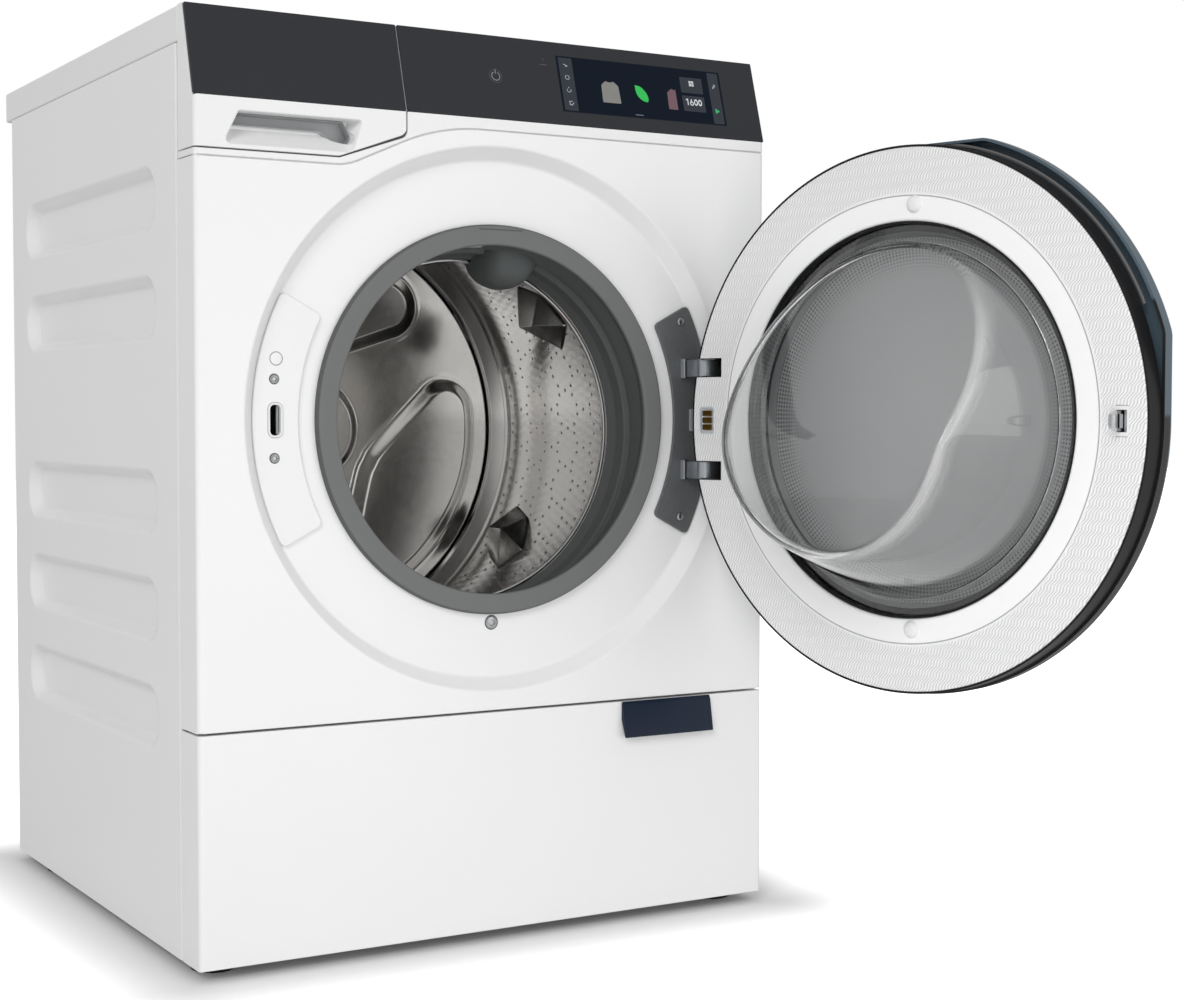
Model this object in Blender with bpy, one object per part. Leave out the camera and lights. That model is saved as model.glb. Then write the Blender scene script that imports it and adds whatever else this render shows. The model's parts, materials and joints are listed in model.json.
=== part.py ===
"""Front-loading washing machine, built as separate pieces on one frame.

Lengths are in metres. Inside the model X runs to the right, Y runs from the front panel to the
back and Z runs up from the floor. The empty named machine carries everything and moves the origin
to the middle of the base pan's pad.
"""

from math import atan, atan2, cos, hypot, pi, radians, sin, tan, tau

import bmesh
import bpy
from mathutils import Matrix, Vector

# Cabinet
WIDTH = 0.596
BODY_DEPTH = 0.5847
LID_THICKNESS = 0.0315
LID_OVERHANG = 0.0245
LID_ROUNDING = 0.002
FLOOR_GAP = 0.0104
SHEET = 0.0012
FRONT_WALL = 0.0015
RETURN_DEPTH = 0.044
FRONT_ROUNDING = 0.004
SIDE_FLANGE = 0.0135
SEAM = 0.0020
GAP = 0.0003
OVERRUN = 0.010
HALF_WIDTH = WIDTH / 2
CABINET_DEPTH = BODY_DEPTH + LID_OVERHANG
SIDE_FRONT = RETURN_DEPTH + SEAM

# Heights of the front, each zone on top of the one below
DRUM_SIDE_ROOM = 0.048
RECESS_MARGIN = 0.003
LOWER_SEAM = 0.2172
LOWER_BAND = 0.0195
UPPER_BAND = 0.0151
CARRIER_STRIP = 0.0107
FASCIA_HEIGHT = 0.0815
DRUM_RADIUS = HALF_WIDTH - DRUM_SIDE_ROOM
RECESS_RADIUS = DRUM_RADIUS + RECESS_MARGIN
DOOR_Z = LOWER_SEAM + LOWER_BAND + RECESS_RADIUS
SEAM_HIGH = DOOR_Z + RECESS_RADIUS + UPPER_BAND
FASCIA_BOTTOM = SEAM_HIGH + CARRIER_STRIP
HEIGHT = FASCIA_BOTTOM + FASCIA_HEIGHT
LID_BOTTOM = HEIGHT - LID_THICKNESS

# Stamped pockets of the side panels
POCKET_DEPTH = 0.012
POCKET_SLOPE = 0.006
POCKET_HEIGHT = 0.061
POCKET_PITCH = 0.0985
POCKET_FRONT = 0.103
POCKET_REAR_EDGE = 0.0547
POCKET_BACK = BODY_DEPTH - POCKET_REAR_EDGE
POCKET_FIRST = 0.218
POCKET_UPPER_FALL = 0.2585
POCKET_UPPER = HEIGHT - POCKET_UPPER_FALL
POCKETS_BELOW = 3
POCKETS_ABOVE = 2

# Fascia, dispenser drawer and the seams of the front
FASCIA_SLANT = 0.0237
FASCIA_DEPTH = 0.041
FASCIA_GLASS = 0.004
FASCIA_WALL = 0.008
SLANT_ANGLE = atan2(FASCIA_SLANT, FASCIA_HEIGHT)
SEAM_DROP = 0.0411
SEAM_LOW = SEAM_HIGH - SEAM_DROP
SEAM_RISE_START_SHARE = -0.5218
SEAM_RISE_END_SHARE = -0.2114
SEAM_RISE_START = SEAM_RISE_START_SHARE * HALF_WIDTH
SEAM_RISE_END = SEAM_RISE_END_SHARE * HALF_WIDTH
SEAM_START_RADIUS = 0.055
SEAM_END_RADIUS = 0.200
DRAWER_DROP = 0.045
DRAWER_BOTTOM = FASCIA_BOTTOM - DRAWER_DROP
DRAWER_RIGHT_SHARE = -0.3255
DRAWER_RIGHT = DRAWER_RIGHT_SHARE * HALF_WIDTH
DRAWER_DIAGONAL = 0.066
DRAWER_RISE_START = DRAWER_RIGHT - DRAWER_DIAGONAL
DRAWER_RISE = 0.0235
DRAWER_RISE_TOP = DRAWER_BOTTOM + DRAWER_RISE
DRAWER_CORNER = 0.008
FLAP_TOP_FALL = 0.002
FLAP_PIN_RADIUS = 0.003
FLAP_EAR = 0.006

# Drawer grip, tray and housing
CLIP_WIDTH = 0.030
CLIP_DEPTH = 0.014
CLIP_PLACE_SHARES = (0.2013, 0.8054)
CLIP_PLACES = tuple(share * HALF_WIDTH for share in CLIP_PLACE_SHARES)
CLIP_EDGE = 0.033
CLIP_LEFT = CLIP_EDGE - HALF_WIDTH
GRIP_TOP_FALL = 0.0115
GRIP_TOP = FASCIA_BOTTOM - GRIP_TOP_FALL
GRIP_LIP = 0.005
GRIP_BOTTOM = DRAWER_BOTTOM + GRIP_LIP
GRIP_DEPTH = 0.026
GRIP_UPPER_EDGE = 0.041
GRIP_LOWER_EDGE = 0.027
GRIP_UPPER_END = 0.044
GRIP_LOWER_END = 0.053
GRIP_TOP_LEFT = GRIP_UPPER_EDGE - HALF_WIDTH
GRIP_TOP_RIGHT = DRAWER_RIGHT - GRIP_UPPER_END
GRIP_BOTTOM_LEFT = GRIP_LOWER_EDGE - HALF_WIDTH
GRIP_BOTTOM_RIGHT = DRAWER_RIGHT - GRIP_LOWER_END
GRIP_FLOOR_RISE = 0.014
GRIP_FLOOR_SHARE = 0.88
GRIP_CORNER = 0.004
DRAWER_FACE = 0.018
TRAY_SIDE_ROOM = 0.0175
TRAY_LEFT = TRAY_SIDE_ROOM - HALF_WIDTH
TRAY_END_ROOM = 0.011
TRAY_RIGHT = DRAWER_RIGHT - TRAY_END_ROOM
TRAY_DROP = 0.008
TRAY_BOTTOM = FASCIA_BOTTOM - TRAY_DROP
LID_ROOM = 0.0065
TRAY_TOP = LID_BOTTOM - LID_ROOM
TRAY_REAR_ROOM = 0.2947
TRAY_BACK = BODY_DEPTH - TRAY_REAR_ROOM
TRAY_WALL = 0.002
TRAY_COMPARTMENTS = 3
TRAY_RUNNING_GAP = 0.0004
HOUSING_WALL = 0.0015
HOUSING_REACH = 0.045
HOUSING_BACK = TRAY_BACK + HOUSING_REACH

# Door recess of the front panel
RECESS_SLOPE = 0.009
RECESS_FLOOR_RADIUS = RECESS_RADIUS - RECESS_SLOPE
RECESS_DEPTH = 0.015
RECESS_FLOOR = RECESS_DEPTH + FRONT_WALL
MOUTH_SHARE = 0.68775
MOUTH_RADIUS = MOUTH_SHARE * RECESS_RADIUS
PLATE_THICKNESS = 0.0035
PLATE_FLOOR_ROOM = 0.002
PLATE_OUTER = RECESS_FLOOR_RADIUS - PLATE_FLOOR_ROOM
PLATE_INNER_SHARE = 0.8223
PLATE_INNER = PLATE_INNER_SHARE * PLATE_OUTER
PLATE_HALF_ANGLE = radians(28)
PLATE_CORNER = 0.006
LOCK_SLOT_INSET = 0.021
LOCK_SLOT_X = PLATE_OUTER - LOCK_SLOT_INSET
LOCK_SLOT_WIDTH = 0.010
LOCK_SLOT_HEIGHT = 0.027
LOCK_BODY_WIDTH = 0.034
LOCK_BODY_HEIGHT = 0.074
LOCK_BODY_DEPTH = 0.030
LOCK_SLOT_DEPTH = 0.020

# Door
DOOR_ROOM = 0.0075
DOOR_RADIUS = RECESS_RADIUS - DOOR_ROOM
DOOR_OPEN = radians(105.37)
DOOR_FACE_Y = 0.005
PIVOT_INSET = 0.0141
PIVOT_X = DOOR_RADIUS - PIVOT_INSET
PIVOT_Y = -0.018
RING_LAP = 0.004
RING_INNER = MOUTH_RADIUS + RING_LAP
RING_THICKNESS = 0.011
RIM_WALL = 0.0012
RIM_BACK = 0.0215
RIM_ROOM = 0.005
RIM_INNER = MOUTH_RADIUS - RIM_ROOM
RIM_FALL = 0.0007
SHELL_LAP = 0.002
SHELL_RADIUS = DOOR_RADIUS + SHELL_LAP
SHELL_LOBE = 0.0105
SHELL_LOBE_RADIUS = SHELL_RADIUS + SHELL_LOBE
SHELL_FRONT = 0.039
SHELL_WALL = 0.0025
SHELL_CHAMFER = 0.006
SHELL_SOFT_SHARE = 0.30
BOWL_ROOM = 0.014
SHELL_INNER = MOUTH_RADIUS - BOWL_ROOM
WINDOW_THICKNESS = 0.005
WINDOW_LEDGE = 0.004
BOWL_LAP = 0.0025
BOWL_RIM = MOUTH_RADIUS + BOWL_LAP
BOWL_MOUTH = MOUTH_RADIUS - BOWL_ROOM
BOWL_TAPER = 0.042
BOWL_DEPTH = 0.113
BOWL_WALL = 0.004
BOWL_FLANGE = 0.004
BOWL_TOP = 0.004
BOWL_FOLD = 0.020
BOWL_EDGE = 0.010
BUFFER_UPPER_LAP = 0.014
BUFFER_LOWER_LAP = 0.009
BUFFER_PLACES = (RING_INNER + BUFFER_UPPER_LAP, -RING_INNER - BUFFER_LOWER_LAP)
BUFFER_SIDE = 0.015
BUFFER_RADIUS = 0.0065
BUFFER_HEIGHT = 0.004
CONTACT_INSET = 0.0195
CONTACT_X = DOOR_RADIUS - CONTACT_INSET
CONTACT_WIDTH = 0.014
CONTACT_HEIGHT = 0.022
CONTACT_DEPTH = 0.002
LATCH_BASE_WIDTH = 0.026
LATCH_BASE_HEIGHT = 0.024
LATCH_BASE = 0.002
LATCH_NOSE = 0.018
LATCH_THICKNESS = 0.007
LATCH_HEIGHT = 0.018
LATCH_EYE = 0.0075

# Door hinge
ARM_PLACES = (0.051, -0.049)
ARM_HEIGHT = 0.017
ARM_WIDTH = 0.006
ARM_INSET = 0.0219
ARM_X = PIVOT_X - ARM_INSET
ARM_KNUCKLE = 0.0055
ARM_SLOT_ROOM = 0.0015
ARM_SLOT_INNER = ARM_X - ARM_SLOT_ROOM
ARM_SLOT_HEIGHT = 0.0185
ARM_SLOT_DEPTH = 0.0295
PIN_RADIUS = 0.0030
PIN_PLAY = 0.0004
PIN_TOP = 0.0640
KNUCKLE_LEFT = 0.0094
KNUCKLE_RIGHT = 0.0044
KNUCKLE_FRONT = 0.0065
BRACKET_THICKNESS = 0.003
BRACKET_WIDTH = 0.034
BRACKET_HEIGHT = 0.150

# Drum and its place in the depth
DRUM_DROP = 0.0107
DRUM_Z = DOOR_Z - DRUM_DROP
DRUM_WALL = 0.0012
DRUM_FRONT = 0.0920
DRUM_REAR_ROOM = 0.1252
DRUM_BACK = BODY_DEPTH - DRUM_REAR_ROOM
DRUM_MOUTH_ROOM = 0.013
DRUM_MOUTH = MOUTH_RADIUS - DRUM_MOUTH_ROOM
DRUM_LIP = 0.0035
DRUM_SHOULDER = 0.012
DRUM_STEP = 0.0115
DRUM_GROOVE = 0.0215
DRUM_BACK_RADIUS = DRUM_RADIUS - DRUM_GROOVE

# Seal and tub
SEAL_LIP_ROOM = 0.011
SEAL_LIP = MOUTH_RADIUS - SEAL_LIP_ROOM
SEAL_LAP = 0.0085
SEAL_OUTER = MOUTH_RADIUS + SEAL_LAP
SEAL_REACH = 0.078
SEAL_THICKNESS = 0.0035
SEAL_FOLD = 0.016
SEAL_FOLD_RADIUS = MOUTH_RADIUS + SEAL_FOLD
SEAL_FOLD_SHARE = 0.60
NOZZLE_X = -0.018
NOZZLE_Y = 0.034
NOZZLE_NECK = 0.006
NOZZLE_RADIUS = 0.010
NOZZLE_HEIGHT = 0.005
TUB_ROOM = 0.015
TUB_RADIUS = DRUM_RADIUS + TUB_ROOM
TUB_WALL = 0.0030
TUB_FRONT = 0.0850
TUB_BACK_ROOM = 0.0205
TUB_BACK = DRUM_BACK + TUB_BACK_ROOM
TUB_REAR_LENGTH = 0.224
TUB_SPLIT = TUB_BACK - TUB_REAR_LENGTH
TUB_FLANGE = 0.009
TUB_COLLAR_LAP = 0.004
TUB_COLLAR = MOUTH_RADIUS + TUB_COLLAR_LAP
TUB_COLLAR_LENGTH = 0.0237
TUB_HUB_RADIUS = 0.055
TUB_HUB_LENGTH = 0.012
LIFTER_COUNT = 3
LIFTER_LENGTH = 0.085
LIFTER_WIDTH = 0.082
LIFTER_HEIGHT = 0.026
LIFTER_RIDGE = 0.030
LIFTER_REAR_ROOM = 0.0795
LIFTER_STAGGER = 0.075
LIFTER_BACK_Y = DRUM_BACK - LIFTER_REAR_ROOM
LIFTER_FRONT_Y = LIFTER_BACK_Y - LIFTER_STAGGER
LIFTER_PHASE = radians(30.5)
EMBOSS_COUNT = 3
EMBOSS_DEPTH = 0.009
EMBOSS_SLOPE = 0.015
EMBOSS_CAP_RADIUS_SHARE = 0.1663
EMBOSS_CAP_PLACE_SHARE = 0.7409
EMBOSS_WAIST_SHARE = 0.3370
EMBOSS_WAIST_HALF_SHARE = 0.1094
EMBOSS_CAP_RADIUS = EMBOSS_CAP_RADIUS_SHARE * DRUM_BACK_RADIUS
EMBOSS_CAP_PLACE = EMBOSS_CAP_PLACE_SHARE * DRUM_BACK_RADIUS
EMBOSS_WAIST = EMBOSS_WAIST_SHARE * DRUM_BACK_RADIUS
EMBOSS_WAIST_HALF = EMBOSS_WAIST_HALF_SHARE * DRUM_BACK_RADIUS
EMBOSS_SPREAD = radians(35.4)
EMBOSS_CAP_TURN = radians(170)
EMBOSS_PHASE = radians(-28.5)
SPIDER_ARM_WIDTH = 0.036
SPIDER_ARM_THICKNESS = 0.008
SPIDER_HUB_RADIUS = 0.026
SHAFT_RADIUS = 0.0125
SHAFT_PLAY = 0.0005
BEARING_RADIUS = 0.026
BEARING_LENGTH = 0.018

# Drive
PULLEY_INSET = 0.100
PULLEY_RADIUS = DRUM_RADIUS - PULLEY_INSET
PULLEY_ROOM = 0.015
PULLEY_FRONT = TUB_BACK + PULLEY_ROOM
PULLEY_WIDTH = 0.018
PULLEY_WEB = 0.004
PULLEY_RIM = 0.010
MOTOR_PULLEY_RADIUS = 0.0125
MOTOR_RADIUS = 0.062
MOTOR_ROOM = 0.020
MOTOR_Z = DRUM_Z - TUB_RADIUS - MOTOR_ROOM - MOTOR_RADIUS
MOTOR_LENGTH = 0.115
MOTOR_NOSE = 0.155
MOTOR_FRONT = PULLEY_FRONT - MOTOR_NOSE
MOTOR_SHAFT_RADIUS = 0.006
BELT_THICKNESS = 0.0020
BELT_WIDTH = 0.012
BELT_PLAY = 0.0006
WEIGHT_COLLAR_ROOM = 0.022
WEIGHT_INNER = TUB_COLLAR + WEIGHT_COLLAR_ROOM
WEIGHT_LAP = 0.008
WEIGHT_OUTER = DRUM_RADIUS + WEIGHT_LAP
WEIGHT_THICKNESS = 0.034
WEIGHT_HALF_ANGLE = radians(54)
LUG_WIDTH = 0.030
SPRING_INSET = 0.045
SPRING_X = DRUM_RADIUS - SPRING_INSET
SPRING_REAR_ROOM = 0.0595
SPRING_Y = DRUM_BACK - SPRING_REAR_ROOM
SPRING_RADIUS = 0.012
SPRING_WIRE = 0.0022
SPRING_TURNS = 7
LUG_RISE = 0.022
RAIL_HEIGHT = 0.024
RAIL_DEPTH = 0.034
DAMPER_X_SHARE = 0.50
DAMPER_X = DAMPER_X_SHARE * DRUM_RADIUS
DAMPER_LEAN = 0.060
DAMPER_FOOT_X = DAMPER_X + DAMPER_LEAN
DAMPER_RADIUS = 0.014
DAMPER_ROD = 0.006
DAMPER_REAR_ROOM = 0.0395
DAMPER_Y = DRUM_BACK - DAMPER_REAR_ROOM
DAMPER_BODY_SHARE = 0.55
MOTOR_SIDE_ROOM = 0.065
MOTOR_X = DAMPER_X - MOTOR_SIDE_ROOM

# Base, flap and what lies behind it
PAN_FRONT = 0.024
PAN_WALL = 0.0020
PAN_HEIGHT = 0.026
PAN_BOTTOM = FLOOR_GAP + SHEET + GAP
PAN_HALF_WIDTH = HALF_WIDTH - SIDE_FLANGE - GAP
FOOT_INSET = 0.030
FOOT_RADIUS = 0.021
FOOT_STEM = 0.006
FOOT_X = HALF_WIDTH - FOOT_INSET
FOOT_FRONT_Y = 0.048
FOOT_REAR_ROOM = 0.0817
FOOT_BACK_Y = BODY_DEPTH - FOOT_REAR_ROOM
FOOT_HEIGHT = 0.008
PAD_SIDE_ROOM = 0.108
PAD_WIDTH = WIDTH - PAD_SIDE_ROOM - PAD_SIDE_ROOM
PAD_LENGTH = 0.300
FLAP_PIVOT_Y = 0.010
FLAP_PIVOT_Z = 0.016
TAB_EDGE = 0.065
TAB_WIDTH = 0.102
TAB_RIGHT = HALF_WIDTH - TAB_EDGE
TAB_LEFT = TAB_RIGHT - TAB_WIDTH
TAB_HEIGHT = 0.0345
TAB_REACH = 0.009
TAB_THICKNESS = 0.0025
TAB_BEVEL = 0.004
CONTAINER_WIDTH = 0.104
CONTAINER_SEAM_ROOM = 0.0772
CONTAINER_HEIGHT = LOWER_SEAM - CONTAINER_SEAM_ROOM
CONTAINER_REAR_ROOM = 0.2247
CONTAINER_FRONT = 0.060
CONTAINER_LENGTH = BODY_DEPTH - CONTAINER_FRONT - CONTAINER_REAR_ROOM
CONTAINER_WALL = 0.002
CONTAINER_EDGE = 0.022
CONTAINER_LEFT = CONTAINER_EDGE - HALF_WIDTH
CONTAINER_ROOM = 0.008
CONTAINER_SPACING = CONTAINER_WIDTH + CONTAINER_ROOM
CONTAINER_ROUNDING = 0.004
CONTAINER_MOUTH = 0.024
PUMP_EDGE = 0.103
PUMP_X = HALF_WIDTH - PUMP_EDGE
PUMP_RADIUS = 0.036
PUMP_SEAM_ROOM = 0.0892
PUMP_Z = LOWER_SEAM - PUMP_SEAM_ROOM - PUMP_RADIUS
PUMP_LENGTH = 0.120
PUMP_FRONT = 0.066
PUMP_MOTOR_RADIUS = 0.028
PUMP_NECK_SHARE = 0.55
CAP_RADIUS = 0.031
CAP_DEPTH = 0.014
CAP_BAR = 0.010

# Back
REAR_SIDE_ROOM = 0.013
REAR_HALF_WIDTH = HALF_WIDTH - REAR_SIDE_ROOM
REAR_BOTTOM = 0.0200
REAR_TOP = LID_BOTTOM - LID_ROOM
ACCESS_MARGIN = 0.050
ACCESS_WIDTH = PULLEY_RADIUS + PULLEY_RADIUS + ACCESS_MARGIN + ACCESS_MARGIN
ACCESS_UPPER_ROOM = 0.131
ACCESS_TOP = DRUM_Z + ACCESS_UPPER_ROOM
ACCESS_HEIGHT = 0.420
ACCESS_Z = ACCESS_TOP - ACCESS_HEIGHT / 2
ACCESS_CORNER = 0.050
COVER_LAP = 0.018
COVER_BULGE = 0.012
COVER_DRAFT = 0.012
VALVE_EDGE = 0.083
VALVE_X = HALF_WIDTH - VALVE_EDGE
VALVE_FALL = 0.105
VALVE_Z = HEIGHT - VALVE_FALL
VALVE_RADIUS = 0.0131
VALVE_FLANGE = 0.022
VALVE_INSIDE = 0.060
VALVE_REACH = 0.019
SPIGOT_FALL = 0.055
SPIGOT_Z = VALVE_Z - SPIGOT_FALL
SPIGOT_RADIUS = 0.012
SPIGOT_BORE = 0.009
SPIGOT_REACH = 0.016
GLAND_EDGE = 0.063
GLAND_X = GLAND_EDGE - HALF_WIDTH
GLAND_RADIUS = 0.011
GLAND_BORE = 0.004
GLAND_REACH = 0.014

# Display
DISPLAY_EDGE = 0.042
DISPLAY_WIDTH = 0.188
DISPLAY_RIGHT = HALF_WIDTH - DISPLAY_EDGE
DISPLAY_LEFT = DISPLAY_RIGHT - DISPLAY_WIDTH
DISPLAY_LOW = 0.014
DISPLAY_TOP_ROOM = 0.0105
DISPLAY_HIGH = FASCIA_HEIGHT - DISPLAY_TOP_ROOM
DISPLAY_THICKNESS = 0.003

# Facets of round pieces
ROUND = 48
SMALL_ROUND = 16
ARC_STEPS = 6

FINISHES = {
    "white_enamel": ((0.86, 0.86, 0.86), 0.30, 0.0),
    "white_plastic": ((0.80, 0.80, 0.80), 0.35, 0.0),
    "dark_glass": ((0.035, 0.037, 0.041), 0.10, 0.0),
    "display": ((0.02, 0.03, 0.06), 0.20, 0.0),
    "grey_rubber": ((0.16, 0.18, 0.18), 0.60, 0.0),
    "black_rubber": ((0.02, 0.02, 0.02), 0.80, 0.0),
    "stainless": ((0.62, 0.61, 0.59), 0.18, 1.0),
    "chrome": ((0.75, 0.75, 0.76), 0.08, 1.0),
    "cast_zinc": ((0.09, 0.095, 0.10), 0.45, 0.6),
    "steel": ((0.35, 0.36, 0.38), 0.40, 1.0),
    "galvanised": ((0.55, 0.56, 0.57), 0.45, 1.0),
    "aluminium": ((0.60, 0.61, 0.62), 0.40, 1.0),
    "grey_plastic": ((0.32, 0.33, 0.34), 0.50, 0.0),
    "dark_plastic": ((0.03, 0.03, 0.033), 0.45, 0.0),
    "blue_shell": ((0.067, 0.102, 0.138), 0.40, 0.3),
    "clear_glass": ((0.80, 0.82, 0.83), 0.03, 0.0),
    "tinted_glass": ((0.12, 0.12, 0.125), 0.05, 0.0),
    "cast_iron": ((0.12, 0.12, 0.125), 0.75, 0.4),
    "gold": ((0.55, 0.36, 0.10), 0.30, 1.0),
    "navy": ((0.002, 0.006, 0.020), 0.30, 0.0),
}


def clear_scene():
    """Remove every object that the file starts with."""
    for item in list(bpy.data.objects):
        bpy.data.objects.remove(item, do_unlink=True)


def carrier(name, place, parent=None, turn=0.0):
    """Empty that carries the pieces of one body."""
    empty = bpy.data.objects.new(name, None)
    empty.location = place
    empty.rotation_euler = (0.0, 0.0, turn)
    empty.parent = parent
    bpy.context.collection.objects.link(empty)
    return empty


def material(name, finish):
    """Principled material with the colour, roughness and metallic value of a finish."""
    colour, roughness, metallic = FINISHES[finish]
    paint = bpy.data.materials.new(name)
    paint.use_nodes = True
    shader = paint.node_tree.nodes["Principled BSDF"]
    shader.inputs["Base Color"].default_value = (*colour, 1.0)
    shader.inputs["Roughness"].default_value = roughness
    shader.inputs["Metallic"].default_value = metallic
    return paint


def piece(name, shape, finish, parent, origin=(0.0, 0.0, 0.0), round_piece=False):
    """Object of a shape given in its parent's frame, with its origin at a chosen point."""
    bmesh.ops.translate(shape, verts=shape.verts, vec=-Vector(origin))
    mesh = bpy.data.meshes.new(name)
    shape.to_mesh(mesh)
    shape.free()
    if round_piece:
        mesh.shade_smooth()
        mesh.set_sharp_from_angle(angle=radians(35))
    mesh.materials.append(material(name, finish))
    item = bpy.data.objects.new(name, mesh)
    item.location = origin
    item.parent = parent
    bpy.context.collection.objects.link(item)
    return item


def tool(name, shape, parent):
    """Hidden helper shape for a Boolean, in its parent's frame."""
    mesh = bpy.data.meshes.new(name)
    shape.to_mesh(mesh)
    shape.free()
    item = bpy.data.objects.new(name, mesh)
    item.parent = parent
    item.hide_render = True
    item.display_type = "WIRE"
    bpy.context.collection.objects.link(item)
    return item


def combine(item, shape, operation):
    """Boolean of a piece with a shape that is given in the piece's parent's frame."""
    helper = tool(f"{item.name}_tool_{len(item.modifiers)}", shape, item.parent)
    modifier = item.modifiers.new(helper.name, "BOOLEAN")
    modifier.operation = operation
    modifier.solver = "EXACT"
    modifier.object = helper
    return item


def cut(item, shape):
    """Take a shape away from a piece."""
    return combine(item, shape, "DIFFERENCE")


def add(item, shape):
    """Join a shape to a piece."""
    return combine(item, shape, "UNION")


def round_edges(item, width, segments=2, angle=radians(40)):
    """Bevel the sharp edges of a piece."""
    modifier = item.modifiers.new("rounding", "BEVEL")
    modifier.width = width
    modifier.segments = segments
    modifier.limit_method = "ANGLE"
    modifier.angle_limit = angle
    return item


def box(low, high):
    """Box between two corners."""
    shape = bmesh.new()
    bmesh.ops.create_cube(shape, size=1.0)
    low, high = Vector(low), Vector(high)
    size = high - low
    bmesh.ops.scale(shape, verts=shape.verts, vec=size)
    bmesh.ops.translate(shape, verts=shape.verts, vec=(low + high) / 2)
    return shape


def boxes(corners):
    """Several separate boxes as one shape."""
    shape = bmesh.new()
    for low, high in corners:
        part = box(low, high)
        merge_into(shape, part)
    return shape


def merge_into(shape, part):
    """Add the geometry of one shape to another and free the added one."""
    mesh = bpy.data.meshes.new("part")
    part.to_mesh(mesh)
    part.free()
    shape.from_mesh(mesh)
    bpy.data.meshes.remove(mesh)


def placed(u, v, w, axis):
    """Point whose outline coordinates are u and v and whose place along the axis is w."""
    return {"X": (w, u, v), "Y": (u, w, v), "Z": (u, v, w)}[axis]


def prism(outline, low, high, axis="Y"):
    """Straight prism of a closed outline between two places along an axis."""
    shape = bmesh.new()
    verts = [shape.verts.new(placed(u, v, low, axis)) for u, v in outline]
    face = shape.faces.new(verts)
    grown = bmesh.ops.extrude_face_region(shape, geom=[face])
    moved = [g for g in grown["geom"] if isinstance(g, bmesh.types.BMVert)]
    step = Vector(placed(0.0, 0.0, high - low, axis))
    bmesh.ops.translate(shape, verts=moved, vec=step)
    bmesh.ops.recalc_face_normals(shape, faces=shape.faces)
    return shape


def tapered(outline_low, outline_high, low, high, axis="Y"):
    """Prism whose two ends have outlines of as many points, bridged by flat sides."""
    shape = bmesh.new()
    ends = []
    for outline, place in ((outline_low, low), (outline_high, high)):
        ends.append([shape.verts.new(placed(u, v, place, axis)) for u, v in outline])
    count = len(outline_low)
    shape.faces.new(ends[0])
    shape.faces.new(reversed(ends[1]))
    for i in range(count):
        j = (i + 1) % count
        shape.faces.new((ends[0][i], ends[1][i], ends[1][j], ends[0][j]))
    bmesh.ops.recalc_face_normals(shape, faces=shape.faces)
    return shape


def stepped(rings):
    """Solid through several (outline, place) rings along Y whose outlines have as many points."""
    shape = bmesh.new()
    rows = [[shape.verts.new((u, place, v)) for u, v in outline] for outline, place in rings]
    count = len(rows[0])
    shape.faces.new(rows[0])
    shape.faces.new(reversed(rows[-1]))
    for lower, upper in zip(rows, rows[1:]):
        for i in range(count):
            j = (i + 1) % count
            shape.faces.new((lower[i], upper[i], upper[j], lower[j]))
    bmesh.ops.recalc_face_normals(shape, faces=shape.faces)
    return shape


def turned(section, segments=ROUND):
    """Section of (radius, depth) points spun about the Y axis.

    A section that starts and ends on the axis is an open line, any other is a closed loop.
    """
    shape = bmesh.new()
    verts = [shape.verts.new((radius, depth, 0.0)) for radius, depth in section]
    edges = [shape.edges.new(pair) for pair in zip(verts, verts[1:])]
    if section[0][0] > 0:
        edges.append(shape.edges.new((verts[-1], verts[0])))
    bmesh.ops.spin(
        shape, geom=verts + edges, axis=(0.0, 1.0, 0.0), cent=(0.0, 0.0, 0.0),
        angle=tau, steps=segments, use_merge=True, use_duplicate=False,
    )
    bmesh.ops.remove_doubles(shape, verts=shape.verts, dist=GAP / 100)
    tips = [vert for vert in shape.verts if hypot(vert.co.x, vert.co.z) < GAP]
    bmesh.ops.dissolve_verts(shape, verts=tips)
    bmesh.ops.recalc_face_normals(shape, faces=shape.faces)
    return shape


def drum_like(radius, low, high, segments=ROUND):
    """Plain cylinder about the Y axis."""
    return turned([(0.0, low), (radius, low), (radius, high), (0.0, high)], segments)


def tube_shape(inner, outer, low, high, segments=ROUND):
    """Plain tube about the Y axis."""
    return turned([(inner, low), (outer, low), (outer, high), (inner, high)], segments)


def moved(shape, x=0.0, y=0.0, z=0.0):
    """Shape after a shift."""
    bmesh.ops.translate(shape, verts=shape.verts, vec=(x, y, z))
    return shape


def upright(shape):
    """Shape turned so that what ran along Y runs along Z."""
    bmesh.ops.rotate(shape, verts=shape.verts, cent=(0, 0, 0), matrix=Matrix.Rotation(pi / 2, 3, "X"))
    return shape


def filleted(corners, steps=ARC_STEPS):
    """Closed outline from (u, v, radius) corners, each rounded by an arc of its radius."""
    outline = []
    count = len(corners)
    for i in range(count):
        here = Vector(corners[i][:2])
        radius = corners[i][2]
        if radius == 0:
            outline.append(tuple(here))
            continue
        before = (Vector(corners[i - 1][:2]) - here).normalized()
        after = (Vector(corners[(i + 1) % count][:2]) - here).normalized()
        half = before.angle(after) / 2
        reach = radius / tan(half)
        centre = here + (before + after).normalized() * (radius / sin(half))
        first = here + before * reach - centre
        last = here + after * reach - centre
        start = atan2(first.y, first.x)
        sweep = (atan2(last.y, last.x) - start + pi) % tau - pi
        for step in range(steps + 1):
            angle = start + sweep * step / steps
            outline.append((centre.x + radius * cos(angle), centre.y + radius * sin(angle)))
    return outline


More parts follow.
